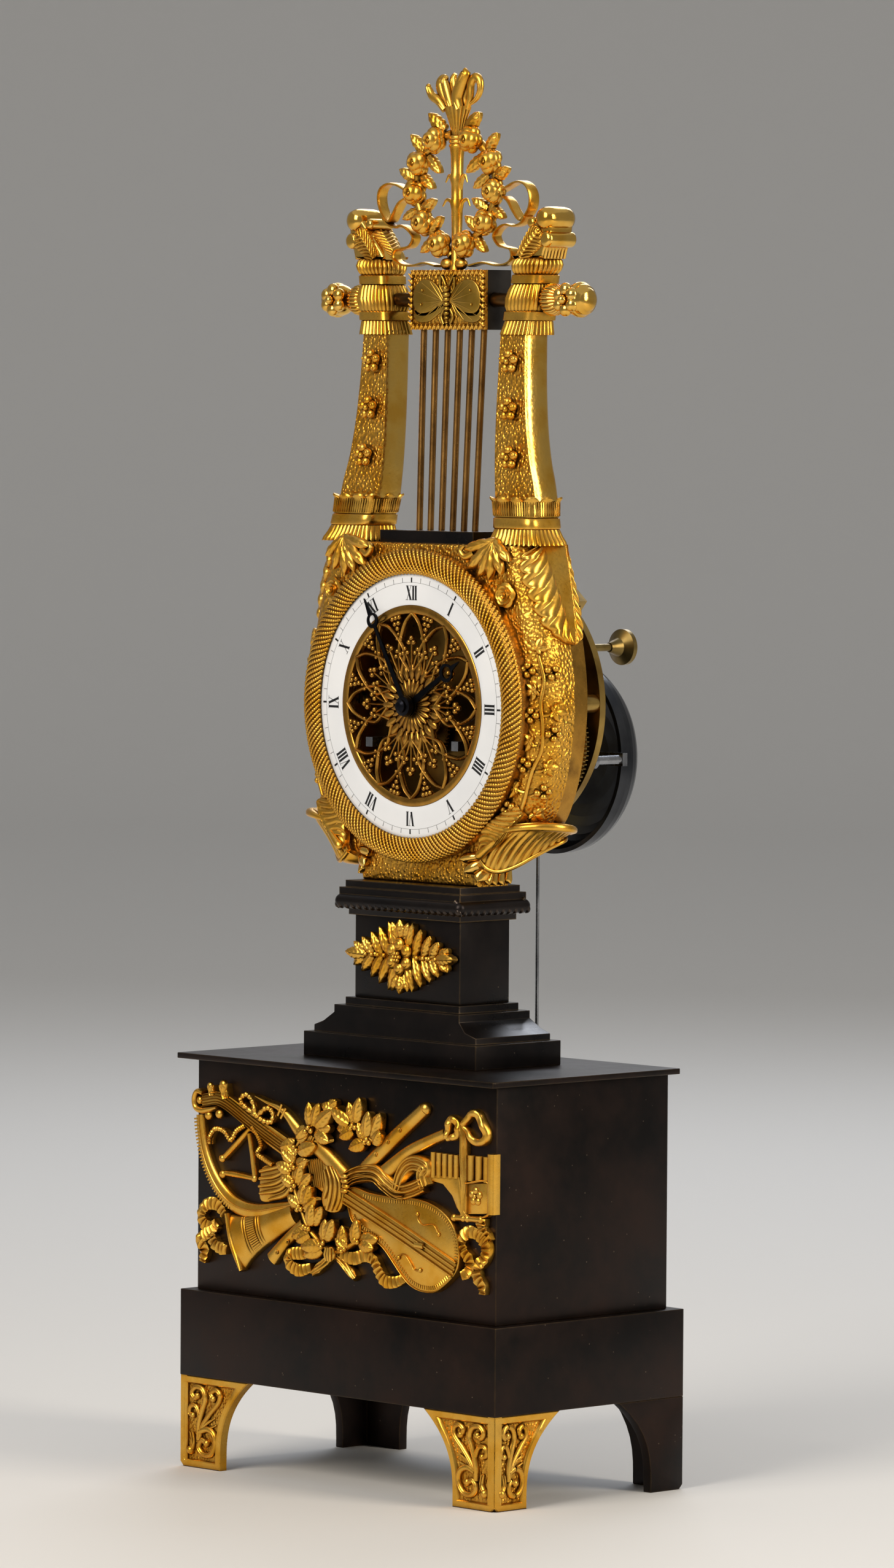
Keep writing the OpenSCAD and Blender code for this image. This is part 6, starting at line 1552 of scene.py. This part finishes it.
OBOE = [(-41.5, 128.6), (-35.9, 126.8), (-30.0, 125.2), (-25.8, 122.6), (-19.8, 117.4),
        (-9.2, 111.8), (1.4, 104.6)]
RAYS = [(-16.2, 108.9), (-7.4, 110.3), (-4.5, 104.2), (-6.8, 97.6), (-15.0, 100.9)]
HANGING = [(-7.8, 107.9), (-2.2, 108.7), (2.1, 104.7), (2.4, 98.3), (-0.2, 92.8), (-6.5, 92.6),
           (-8.6, 96.6), (-7.3, 102.3)]
HANGING_FOLDS = [[(-5.4, 107.6), (-3.5, 102.6), (-4.2, 97.0), (-5.5, 93.0)], [(-3.6, 107.7),
                 (-1.2, 102.8), (-1.6, 97.2), (-3.4, 92.9)], [(-1.7, 106.8), (0.9, 102.2),
                 (0.7, 97.4), (-1.1, 93.4)], [(-6.6, 106.4), (-5.4, 100.9), (-6.7, 96.8)]]
FLUTES = [([(8.4, 105.5), (23.9, 118.1), (39.8, 129.8)], [5.0, 5.2, 5.2, 5.0, 4.7]),
          ([(19.9, 106.5), (31.4, 114.4), (40.5, 118.7), (50.2, 122.4)],
          [6.2, 5.2, 4.6, 4.2, 3.9, 3.9]), ([(-34.0, 74.1), (-26.9, 80.7), (-18.2, 87.4)],
          [5.4, 4.6, 4.2, 4.2, 4.2])]
HOLES = [(23.9, 117.9), (18.1, 113.3), (29.6, 122.2), (-30.2, 76.8), (-24.9, 80.7)]
BOW = [[(51.0, 121.0), (52.5, 126.9), (54.8, 127.4), (56.6, 125.2), (55.5, 122.1), (51.6, 121.0)],
       [(58.6, 125.5), (62.2, 129.5), (65.1, 130.2), (66.7, 128.3), (69.5, 124.1), (68.6, 121.3),
       (64.3, 120.9), (61.6, 123.3), (59.1, 125.2)]]
STRAP = [(58.6, 125.9), (59.3, 122.4), (59.4, 116.1), (59.9, 106.7), (59.8, 96.1)]
PIPES = [(5, 2.5, (44.6, 116.0), (55.6, 115.8), (107.6, 108.1)),
         (3, 3.0, (62.3, 116.2), (69.8, 116.2), (107.8, 107.8))]
PAN_PLATE = [(43.5, 108.3), (57.2, 108.7), (59.1, 96.0), (55.7, 98.5), (53.6, 102.3), (49.3, 105.7),
             (43.5, 106.4)]
PAN_BOX = [(60.6, 106.9), (71.4, 107.8), (71.5, 97.6), (60.7, 96.7)]
PAN_FLOWER = (65.2, 102.9)
PAN_EDGE = [(72.7, 117.3), (72.6, 97.5)]
PAN_FEET = [[(55.1, 95.2), (59.4, 95.3)], [(61.4, 95.3), (67.7, 95.4)]]
LUTE = [(2.7, 98.1), (6.5, 101.7), (14.6, 100.4), (24.7, 99.9), (34.6, 100.3), (43.6, 99.3),
        (50.5, 96.7), (55.0, 93.0), (57.5, 87.7), (58.1, 80.9), (55.7, 75.9), (47.8, 70.1),
        (40.9, 69.2), (34.9, 70.7), (29.9, 74.4), (21.8, 82.0), (15.8, 85.0), (10.7, 87.3),
        (6.1, 90.4), (4.1, 95.1)]
LUTE_BAND = [(3.0, 98.5), (29.8, 88.5), (56.1, 78.0)]
LUTE_HOLES = [[(38.2, 95.1), (38.7, 93.2), (40.7, 91.7), (44.7, 92.2), (46.8, 91.5), (48.4, 89.2)],
              [(29.2, 79.9), (30.8, 81.1), (33.0, 80.6), (35.2, 78.5), (37.0, 76.4), (39.6, 76.5)]]
LUTE_BRIDGE = [(37.8, 84.9), (41.9, 84.7)]
DRAPERY = [[(3.2, 104.6), (9.5, 106.7), (17.6, 107.0), (23.4, 103.9), (29.2, 101.8), (34.9, 102.9),
           (40.6, 105.2)], [(3.5, 101.6), (8.4, 104.2), (16.5, 105.4), (21.7, 103.0), (26.9, 100.7),
           (31.5, 100.6)], [(27.8, 102.0), (29.8, 106.8), (33.3, 110.5), (37.6, 111.6),
           (41.9, 110.5), (40.4, 108.1), (41.8, 104.5)]]
KNOT = [(3.2, 104.9), (3.5, 103.3), (4.0, 101.6), (3.3, 100.1)]
HORN = [(-51.5, 78.4), (-44.0, 81.5), (-34.2, 85.6), (-22.9, 90.4)]
RIBBONS = [[(-57.6, 87.4), (-61.3, 90.4), (-66.2, 90.0), (-69.0, 86.6), (-67.4, 83.2),
           (-63.4, 82.6), (-61.3, 84.6)], [(-61.3, 83.6), (-65.4, 80.6), (-70.0, 77.6),
           (-67.4, 74.9), (-68.5, 70.3)], [(-64.5, 80.2), (-61.8, 76.4), (-56.0, 75.2)],
           [(-12.6, 78.5), (-18.0, 77.4), (-24.6, 76.4), (-24.9, 73.2), (-20.0, 71.4),
           (-14.0, 72.8)], [(-1.6, 78.2), (6.7, 77.6), (11.8, 79.0), (16.4, 78.0), (18.9, 74.3),
           (21.9, 71.4), (26.9, 71.4), (31.4, 73.2)], [(68.2, 96.1), (67.8, 92.6), (71.3, 88.3)],
           [(65.3, 91.1), (61.6, 91.0), (58.4, 87.8), (60.0, 83.8), (62.6, 81.3), (61.8, 77.8),
           (58.6, 76.2)], [(62.4, 90.8), (66.3, 90.3), (70.0, 86.7), (69.0, 82.5), (65.6, 79.8),
           (66.0, 76.1), (68.2, 73.6), (68.3, 70.9)]]
TAILS = [[(-3.4, 78.2), (-8.4, 74.4), (-13.2, 71.0)], [(-1.4, 77.6), (3.6, 74.2), (7.8, 71.0)]]
LAUREL = [(-14.0, 120.4, -14.3, 128.4), (-12.1, 121.0, -9.1, 128.5), (-10.5, 120.7, -2.5, 126.5),
          (-10.7, 119.5, -3.7, 120.7), (-11.1, 118.2, -4.1, 116.0), (-15.7, 119.7, -19.6, 116.0),
          (-19.6, 114.9, -14.9, 119.9), (-21.2, 114.1, -28.1, 112.3), (-18.9, 111.5, -10.4, 114.4),
          (-21.0, 110.1, -25.0, 113.9), (-22.1, 107.6, -27.4, 111.9), (-22.8, 104.4, -29.5, 106.9),
          (-20.5, 106.5, -15.3, 108.9), (-20.4, 100.5, -17.6, 107.5), (-22.1, 100.4, -27.1, 102.8),
          (-19.0, 99.4, -13.4, 104.3), (-17.8, 94.2, -16.2, 100.9), (-15.9, 94.3, -12.9, 100.5),
          (-19.4, 93.5, -24.4, 96.2), (-16.8, 92.4, -10.3, 96.5), (-13.7, 87.3, -11.9, 94.6),
          (-12.3, 87.8, -7.7, 93.7), (-16.1, 85.1, -21.9, 82.6), (-13.7, 84.2, -19.3, 81.3),
          (-7.1, 82.2, -6.0, 89.8), (-5.5, 83.1, -1.8, 90.0), (-8.5, 80.8, -17.4, 79.7),
          (-8.3, 79.7, -16.5, 76.7), (2.3, 80.7, 2.7, 88.4), (8.1, 83.1, 9.9, 90.9),
          (10.4, 84.1, 19.4, 85.1), (10.9, 82.9, 17.8, 82.0), (4.6, 80.7, -0.1, 83.9),
          (6.8, 122.9, 5.4, 129.8), (8.4, 123.5, 10.7, 131.8), (5.4, 122.6, -2.8, 126.8),
          (6.1, 121.1, -0.2, 120.6), (6.8, 120.5, 1.3, 117.7), (13.6, 119.1, 15.4, 127.5),
          (15.9, 118.8, 20.4, 127.2), (12.7, 118.0, 10.1, 123.3), (12.4, 116.8, 6.2, 114.4),
          (-4.7, 127.2, -0.7, 129.8), (-2.3, 126.7, -7.5, 128.1), (18.0, 117.0, 21.2, 121.2)]
BERRY = [(-14.0, 119.9), (-15.4, 118.6), (-12.6, 118.9), (-19.8, 111.8), (-21.0, 112.9),
         (-22.1, 106.8), (-22.6, 105.3), (-20.9, 106.0), (-21.5, 101.3), (-22.1, 98.6),
         (-20.7, 99.9), (-18.5, 93.1), (-17.3, 92.3), (-19.2, 92.0), (-14.9, 86.1), (-13.5, 86.0),
         (-16.1, 86.6), (-8.3, 81.3), (-6.4, 81.8), (-7.3, 80.4), (2.7, 79.8), (4.1, 80.7),
         (1.6, 80.7), (7.6, 122.2), (6.8, 121.1), (8.9, 121.6), (14.6, 118.0), (13.6, 117.0),
         (15.7, 117.0), (10.4, 83.5), (9.2, 84.2)]


# %% [markdown]
# Relief bands: `dome` rounds the face across the band, `folds` are ridges that run along it, and
# `pleats` are ridges across it, for the crinkled ribbons.
# %% Relief bands
def relief(points, widths, front, dome=0.45, folds=0.0, fold_depth=0.5, pleats=0, pleat_depth=0.4,
           shift=0.0, steps=40, cols=8):
    place, length = along_path(flat_path(points, TROPHY_Y, steps))
    u = np.linspace(0, 1, max(steps, 4 * pleats))[:, None]
    v = np.linspace(-1, 1, 2 * cols + 1)[None, :]
    half = np.interp(u, np.linspace(0, 1, len(widths)), widths) / 2
    top = front * (1 - dome + dome * np.sqrt(np.clip(1 - v ** 2, 0, 1)))
    top = top + fold_depth * np.cos(2 * np.pi * folds * v + 1.2 * np.sin(5 * u)) * (folds > 0)
    top = top + pleat_depth * np.sin(2 * np.pi * pleats * u) * (1 - 0.5 * v ** 2)
    return sheet(place, u * length + 0 * v, v * half + shift, top, -0.3 + 0 * top)


def cut_out(points, front, round_off=0.5):
    return extruded(points, TROPHY_Y - front, TROPHY_Y + 0.3, round_off)


def knob_on(x, z, r, front, squash=(1, 0.8, 1)):
    return ball(x, TROPHY_Y - front + r * squash[1], z, r, 14, squash)


def rungs(points, start, end, count, inner, outer, front, r):
    """Short ridges across a line, for ladders, reeding and ticked borders."""
    place, length = along_path(flat_path(points, TROPHY_Y - front, 80))
    form = Form()
    for i in range(count):
        s = np.full((2, 1), length * (start + (end - start) * i / (count - 1)))
        form.add(tube(place(s, np.array([[inner], [outer]]), np.zeros((2, 1)))[:, 0], r, 6))
    return form


def cord(points, r, front):
    """A twisted cord: its radius swells with every turn of the strands."""
    path = flat_path(points, TROPHY_Y - front, 90)
    turns = np.linalg.norm(path[-1] - path[0]) + 12
    return tube(path, r * (1 + 0.22 * np.sin(np.linspace(0, 5.2 * turns, len(path)))), 8)


print("relief helpers ready")


# %% Trophy: strings, pipes and horn
def harp():
    form = relief(HARP_NECK, [4.4, 4.8, 5.6, 6.2, 6.4], 2.6, 0.2)
    for shift in (-2.0, -1.0, 0.0, 1.0, 2.0):
        form.add(relief(HARP_NECK, [0.5], 3.2, 0.5, shift=shift, cols=3))
    form.add(relief(HARP_HEAD, [1.8, 2.2, 2.4, 2.4, 2.0, 1.2], 3.6))
    form.add(knob_on(-69.4, 125.3, 1.4, 3.4))
    for (x0, z0), (x1, z1), width in (((-63.4, 127.2), (-64.1, 130.6), 3.0),
                                      ((-56.8, 126.6), (-57.8, 131.4), 4.0)):
        form.add(relief([(x0, z0), (x1, z1)], [width], 3.2, folds=1.0, fold_depth=0.35))
        form.add(knob_on(x1, z1, width * 0.42, 3.4))
    for x, z in ((-65.6, 120.4), (-60.2, 121.2)):
        form.add(knob_on(x, z, 1.7, 3.0))
    form.add(relief(HARP_BACK, [3.8, 4.4, 5.0, 5.6, 5.6, 5.0, 4.2, 3.0], 2.6, 0.5, steps=60))
    form.add(relief(HARP_BACK, [1.0], 3.0, 0.6, shift=-0.2, steps=60, cols=4))
    form.add(rungs(HARP_BACK, 0.02, 0.52, 30, 0.5, 2.2, 2.35, 0.34))
    return form


def horn():
    form = relief(HORN, [20, 16.4, 14.0, 12.4, 11.2, 10.2, 9.4, 8.8, 8.2], 3.2, 0.75, cols=16)
    bell_rim = [(-55.4, 87.8), (-52.8, 78.2), (-47.8, 68.9)]
    form.add(relief(bell_rim, [1.5, 2.6, 3.2, 3.2, 1.8], 3.6, 0.7))
    place, length = along_path(flat_path(HORN, TROPHY_Y, 40))
    arch = lambda t: 3.2 * (0.25 + 0.75 * np.sqrt(1 - t * t))
    across = np.linspace(-0.96, 0.96, 25)
    for at, half in ((0.19, 7.0), (0.23, 6.7), (0.42, 5.5), (0.46, 5.3)):
        form.add(tube(place(0 * across + at * length, half * across, arch(across) + 0.1), 0.42, 8))
    for i in range(15):
        t = (i + 0.5) / 7.5 - 1
        s = np.linspace(0.26, 0.39, 4)
        half = np.interp(s, [0.26, 0.39], [6.4, 5.6])
        form.add(tube(place(s * length, half * 0.93 * t, arch(0.93 * t) + 0 * s + 0.1), 0.36, 6))
    return form


def pipes():
    form = relief(OBOE, [0.8, 2.0, 3.0, 4.4, 5.6, 5.8, 6.2, 6.4], 2.8, 0.7, steps=60)
    form.add(rungs(OBOE, 0.26, 0.30, 2, -2.2, 2.2, 2.5, 0.5))
    form.add(rungs(OBOE, 0.62, 0.64, 2, -3, 3, 2.5, 0.4))
    for points, widths in FLUTES:
        form.add(relief(points, widths, 2.7, 0.6, cols=10))
    x, z = FLUTES[0][0][-1]
    form.add(ball(x, TROPHY_Y - 0.6, z, 2.35, 20, squash=(1, 0.85, 1)))
    for x, z in HOLES:
        form.add(lathe([(0.35, TROPHY_Y - 2.4), (0.35, TROPHY_Y - 2.85), (0.75, TROPHY_Y - 2.95),
                        (0.85, TROPHY_Y - 2.4)], 16, x, z, closed=True))
    for count, width, (x0, z0), (x1, z1), (low0, low1) in PIPES:
        for t in np.linspace(0, 1, count):
            x, high, low = x0 + (x1 - x0) * t, z0 + (z1 - z0) * t, low0 + (low1 - low0) * t
            form.add(relief([(x, high), (x, low)], [width], 2.5, 0.6, steps=8, cols=6))
    form.add(cut_out(PAN_PLATE[::-1], 1.9), cut_out(PAN_BOX[::-1], 2.0))
    form.add(relief(PAN_BOX + PAN_BOX[:1], [0.9], 2.7, 0.4, steps=32, cols=3))
    form.add(relief(PAN_EDGE, [3.2], 3.1, 0.3))
    form.add(relief(STRAP, [3.0, 2.6, 3.0, 3.4, 3.2], 3.0, 0.5, 1.0))
    x, z = PAN_FLOWER
    form.add(*(knob_on(x + dx, z + dz, 1.35, 2.8, (1, 0.6, 1)) for dx, dz in around(5, 1.9, 0.3)))
    form.add(knob_on(x, z, 0.8, 3.1))
    for line in PAN_FEET:
        form.add(relief(line, [2.4], 2.8, 0.6, steps=8), knob_on(*line[0], 1.3, 3.0))
        form.add(knob_on(*line[1], 1.3, 3.0))
    return form


def lute():
    outline = outline_of(LUTE, 120)
    form = cut_out(outline, 2.4, 0.7)
    form.add(relief(outline, [0.7], 2.8, 0.6, shift=0.3, steps=120, cols=3))
    form.add(rungs(outline, 0.08, 0.95, 110, 1.1, 2.3, 2.4, 0.3))
    form.add(relief(LUTE_BAND, [5.4], 2.8, 0.1, cols=10))
    for shift in (-2.5, -0.8, 0.8, 2.5):
        form.add(relief(LUTE_BAND, [0.9], 3.5, 0.5, shift=shift, cols=3))
    for line in LUTE_HOLES:
        form.add(relief(line, [0.9, 0.7, 0.7, 0.7, 0.9], 3.0, 0.6, cols=3))
        form.add(knob_on(*line[0], 0.8, 3.2), knob_on(*line[-1], 0.8, 3.2))
    return form.add(relief(LUTE_BRIDGE, [2.0], 4.0, 0.2, steps=8))


# %% Trophy: laurel, cloth and ribbons
def laurel():
    form = Form()
    for line in (WREATH_LEFT, WREATH_RIGHT, WREATH_LOW):
        form.add(relief(line, [1.9], 3.4, 0.6, cols=4, steps=60))
    for i, (x0, z0, x1, z1) in enumerate(LAUREL):
        length = math.hypot(x1 - x0, z1 - z0)
        form.add(leaf_to(x0, z0, x1, z1, 2.2 + 0.1 * length, TROPHY_Y - 2.1 - 0.3 * (i % 3),
                         lift=0.7, thick=0.7, lobes=5, slant=1.3, notch=0.04, ridge=0.28, rib=0.55,
                         crown=0.8, point=0.7, base=0.55, rows=22, cols=7, sink=3.0))
    for x, z in BERRY:
        form.add(ball(x, TROPHY_Y - 3.7, z, 0.95, 12, squash=(1, 0.9, 1)))
    return form


def cloth():
    form = cut_out(outline_of(SMALL_CLOTH, 60), 1.8)
    form.add(cut_out(outline_of(HANGING, 60), 2.6), cut_out(RAYS[::-1], 1.6))
    for line in SMALL_FOLDS:
        form.add(relief(line, [1.4, 2.0, 2.2, 1.6], 2.9, 0.7, cols=6))
    for line in HANGING_FOLDS:
        form.add(relief(line, [1.2, 1.9, 2.0, 1.4], 3.5, 0.7, cols=6))
    (x0, z0), (x1, z1) = RAYS[0], RAYS[3]
    for i in range(9):
        ray = [(x0 + 1.1 * i, z0 + 0.2 * i), (x1 - 7 + i, z1 + 2.4)]
        form.add(relief(ray, [0.5], 1.95, 0.6, steps=8, cols=3))
    for line, width in zip(DRAPERY, (5.6, 3.4, 5.8)):
        widths = [width * 0.7, width, width * 1.05, width]
        form.add(relief(line, widths, 3.2, 0.4, 1.45, 0.55, cols=16, steps=60))
    for x, z in KNOT:
        form.add(ball(x, TROPHY_Y - 3.0, z, 1.25, 14, squash=(1.5, 0.9, 0.75)))
    return form


def bands():
    form = Form()
    for line in RIBBONS:
        length = sum(math.dist(a, b) for a, b in zip(line, line[1:]))
        form.add(relief(line, [3.4, 4.4, 3.8, 4.4, 3.0], 2.2, 0.08, pleats=round(length / 1.9),
                        pleat_depth=0.6, cols=5))
    for line in TAILS:
        form.add(relief(line, [2.2, 2.6, 3.0, 3.6, 2.6], 2.8, 0.5, 1.0, 0.35))
    form.add(ball(-2.8, TROPHY_Y - 3.2, 78.4, 2.6, 20, squash=(0.85, 0.6, 1.0)))
    for dx in (-1.0, 0.0, 1.0):
        form.add(tube([(-2.8 + dx, TROPHY_Y - 4.6, 76.2), (-2.8 + 1.3 * dx, TROPHY_Y - 4.9, 78.4),
                       (-2.8 + dx, TROPHY_Y - 4.6, 80.6)], 0.55, 8))
    for line in BOW:
        form.add(relief(line, [2.0, 2.8, 2.6, 2.8, 2.0], 2.9, 0.3, pleats=5, pleat_depth=0.35,
                        cols=5))
    for line in ROPE:
        form.add(cord(line, 0.85, 2.4), relief(line, [1.0], 2.0, 0.4, cols=3))
    for line in STICKS:
        form.add(relief(line, [1.8, 2.0, 2.2, 2.0], 2.4, 0.6), knob_on(*line[-1], 1.4, 2.8))
    return form


piece("trophy_instruments", harp().add(horn(), pipes(), lute()), gilt_relief,
      replaces="trophy_mount", sharp=42)
piece("trophy_laurel_and_ribbons", laurel().add(cloth(), bands()), gilt_relief, sharp=50)

# %% [markdown]
# The plinth, its box and the top slab are castings filed flat: they keep their engineering shape,
# with edges broken. The front feet are gilt: two panels meet at the corner, each with a flat rim
# round a punched ground, and C-scrolls that rise from the floor and curl under the rim. The rear
# feet are plain and dark. A panel is one loft of its outline, stepped inwards.
# %% Plinth and feet
FOOT_H, FOOT_X, FOOT_Y = 31.2, 77.0, -43.8
SCROLLS = [([(9.2, 12.4), (13.0, 13.6), (16.2, 12.2), (17.0, 8.8), (14.6, 5.2), (11.0, 4.9),
             (8.8, 7.2), (10.2, 9.6), (12.8, 8.8)], 1.05, 0.95),
           ([(8.8, 9.6), (10.6, 14.6), (14.6, 19.4), (18.4, 23.2), (19.2, 26.0), (17.0, 27.4),
             (14.8, 26.0), (16.0, 24.2)], 0.9, 0.9),
           ([(8.8, 9.6), (9.0, 15.0), (10.6, 20.0), (12.0, 24.0), (10.6, 27.0), (7.4, 27.6),
             (5.4, 25.6), (6.8, 23.8), (8.2, 24.6)], 1.0, 0.9),
           ([(9.6, 17.0), (7.6, 20.8), (4.8, 20.8), (4.2, 18.4), (6.0, 17.8)], 0.8, 0.8),
           ([(5.6, 12.0), (6.2, 8.6), (4.8, 5.8)], 0.6, 1.1),
           ([(9.8, 13.2), (13.0, 15.8), (16.4, 17.6)], 0.9, 0.25),
           ([(9.8, 12.4), (13.4, 13.8), (17.0, 15.2)], 0.8, 0.25)]


def foot_outline(top_w, floor_w):
    i = np.arange(15) / 14
    curve = np.column_stack([floor_w + (top_w - floor_w) * i ** 2.6, FOOT_H * (0.12 + 0.88 * i)])
    return np.vstack([[0, FOOT_H], [0, 1.6], [1.6, 0], [floor_w, 0], curve])


def inset(outline, distance):
    turn = lambda d: np.column_stack([-d[:, 1], d[:, 0]]) / np.linalg.norm(d, axis=1)[:, None]
    a = turn(outline - np.roll(outline, 1, axis=0))
    b = turn(np.roll(outline, -1, axis=0) - outline)
    moved = outline + distance * (a + b) / (1 + (a * b).sum(1))[:, None]
    curve = moved[4:]                # its last rows would fold past the sharp tip
    curve[curve[:, 1] > moved[-1, 1]] = moved[-1]
    return moved


def foot_panel(top_w, floor_w, place):
    flat = foot_outline(top_w, floor_w)
    frame_form = loft([place(inset(flat, k), h) for k, h in ((0.3, -3.6), (0, -3.3), (0, -0.35),
                       (0.35, 0), (2.1, 0), (2.4, -0.25), (2.8, -1.1))])
    ground = loft([place(inset(flat, k), h) for k, h in ((2.5, -1.4), (2.5, -1.0))])
    scrolls = Form()
    for points, r0, r1 in SCROLLS:
        q = smooth_path([(a * floor_w / 19.5, 0, z) for a, z in points], 48)
        path = place(q[:, [0, 2]], -0.75)
        scrolls.add(tube(path, np.linspace(r0, r1, len(path)) * 1.1, 10))
        end = place(q[-1:, [0, 2]], -0.7)[0]
        scrolls.add(ball(*end, r1 * 1.45, 12))
        along = q[:, [0, 2]]
        scrolls.add(tube(place(along, -0.75 + 0.95 * r1), np.full(len(along), 0.25), 6))
    return frame_form, ground, scrolls


frames, grounds, scrolls = Form(), Form(), Form()
for side in (-1, 1):
    front = lambda q, h: np.column_stack([side * (FOOT_X - 0.08 - q[:, 0]),
                                          np.full(len(q), FOOT_Y - h), q[:, 1]])
    flank = lambda q, h: np.column_stack([np.full(len(q), side * (FOOT_X + h)),
                                          FOOT_Y + 0.08 + q[:, 0], q[:, 1]])
    for top_w, floor_w, place in ((34, 20, front), (30, 15, flank)):
        for total, part in zip((frames, grounds, scrolls), foot_panel(top_w, floor_w, place)):
            total.add(part)
piece("front_feet", frames, gilt_relief, replaces="front_left_foot front_right_foot", sharp=35)
piece("front_feet_grounds", grounds, gilt_ground)
piece("front_feet_scrolls", scrolls, gilt_relief, sharp=60)
for node_name in ("base_band", "base_box", "base_top_slab", "rear_left_foot", "rear_right_foot"):
    eased(node_name, patinated, 0.3)

# %% [markdown]
# Wheels, plates, arbors and other working parts are right as the engineering model has them, so
# they keep their meshes and only take a finish.
# %% Finishes for the working parts
KEPT = {
    clock_brass: ["front_plate", "back_plate", "plate_pillars", "movement_straps", "going_barrel",
                  "strike_barrel", "centre_wheel", "third_wheel", "escape_wheel", "suspension_cock",
                  "minute_wheel", "hour_wheel", "count_wheel", "pin_wheel", "locking_wheel", "fly"],
    steel: ["tie_rod", "movement_screws", "going_arbor", "strike_arbor", "pallet_anchor",
            "cannon_pinion", "bell_stand", "hammer", "pendulum_rod"],
    silk: ["silk_loop"],
    blued: ["hour_hand", "minute_hand", "hand_collet"],
    bell_metal: ["bell"],
    string_brass: ["strings"],
    dull_brass: ["regulator_arbor"],
    patinated_black: ["string_bar"],
    dark_steel: ["yoke_block"],
    rod_bronze: ["cross_rod"],
    gilt_relief: ["pendulum_bob"],
}
for finish, names in KEPT.items():
    for name in names:
        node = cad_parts[name]
        node.data.materials.clear()
        node.data.materials.append(finish)
print(sum(len(v) for v in KEPT.values()), "nodes finished")

# %% [markdown]
# The camera stands where the photographer's stood: to the clock's right, a little above the
# dial's middle, with a long lens. It was solved from the plinth's edges and the dial's circle.
# %% Camera
AZIMUTH, ELEVATION, TILT = 46.258, 2.939, math.radians(0.359)
DISTANCE, FOCAL_PX, LONG_SIDE_PX, SENSOR_MM = 2749.68, 13330.07, 2555, 36.0


def direction(azimuth, elevation):
    """Unit vector; azimuth 0 is the front, and 90 degrees the clock's right."""
    a, e = math.radians(azimuth), math.radians(elevation)
    return Vector((math.sin(a) * math.cos(e), -math.cos(a) * math.cos(e), math.sin(e)))


back, right = direction(AZIMUTH, ELEVATION), direction(AZIMUTH + 90, 0)
up = back.cross(right)
turned_right = math.cos(TILT) * right + math.sin(TILT) * up
turned_up = -math.sin(TILT) * right + math.cos(TILT) * up
aim = right * 4.690 + Vector((0, BACK_SHIFT, 234.310))
lens = bpy.data.cameras.new("camera")
lens.sensor_fit, lens.sensor_width = "AUTO", SENSOR_MM
lens.lens = FOCAL_PX * SENSOR_MM / LONG_SIDE_PX
lens.clip_start, lens.clip_end = 0.1, 20.0
camera = linked("camera", lens)
pose = Matrix((turned_right, turned_up, back)).transposed().to_4x4()
pose.translation = (aim + back * DISTANCE) * MM
camera.matrix_world = pose
bpy.context.scene.camera = camera
print("lens", round(lens.lens, 1), "mm at", [round(c, 3) for c in pose.translation])


# %% [markdown]
# A plain pale floor and soft studio light: one large lamp to the left front, one to the right
# for the bright edge on the arms, and a weak one behind. The world is an even soft grey, so that
# metal has something calm to mirror.
# %% Floor, world and lamps
def floor_and_world():
    """A pale round floor that turns up into a wall on every side, beyond the camera too."""
    flat, bend, top, steps = 3.8, 1.2, 4.6, 96
    line = [(flat + bend * math.sin(a), bend - bend * math.cos(a))
            for a in np.linspace(0, math.pi / 2, 12)]
    line = [(1.0, 0.0), *line, (flat + bend, top)]
    points = [(x, y, z) for r, z in line for x, y in around(steps, r)]
    faces = [tuple(range(steps))]
    for j in range(len(line) - 1):
        a, b = steps * j, steps * (j + 1)
        faces += [(a + i, b + i, b + (i + 1) % steps, a + (i + 1) % steps) for i in range(steps)]
    ground = raw_object("floor", points, faces)
    for p in ground.data.polygons:
        p.use_smooth = True
    pale = Finish("pale_studio_floor", Roughness=0.75, **{"Base Color": colour("#d9d7d3")})
    ground.data.materials.append(pale.material)
    world = bpy.data.worlds.new("studio")
    bpy.context.scene.world = world
    world.use_nodes = True
    tree = world.node_tree
    tree.nodes.clear()
    sky = add_node(tree, "ShaderNodeBackground", {"Color": colour("#d3d5d9"), "Strength": 0.7})
    add_node(tree, "ShaderNodeOutputWorld", {"Surface": sky.outputs[0]})


LAMPS_AIM = Vector((0, 0, 0.26))


def lamp(name, azimuth, elevation, distance, size, watts, tint):
    where = direction(azimuth, elevation) * distance + LAMPS_AIM
    data = bpy.data.lights.new(name, "AREA")
    data.shape, data.size, data.size_y = "RECTANGLE", size[0], size[1]
    data.energy, data.color = watts, colour(tint)[:3]
    obj = linked(name, data)
    obj.location = where
    obj.rotation_mode = "QUATERNION"
    obj.rotation_quaternion = (LAMPS_AIM - where).to_track_quat("-Z", "Y")


floor_and_world()
lamp("key_left_front", 5, 32, 1.5, (0.7, 0.9), 17, "#fff6ea")
lamp("side_right", 100, 22, 1.4, (0.4, 0.9), 11, "#fff4e4")
lamp("back_left", 215, 35, 1.6, (0.8, 0.8), 8, "#eef4ff")
view = bpy.context.scene.view_settings
view.view_transform = "Standard"
print("stage set")
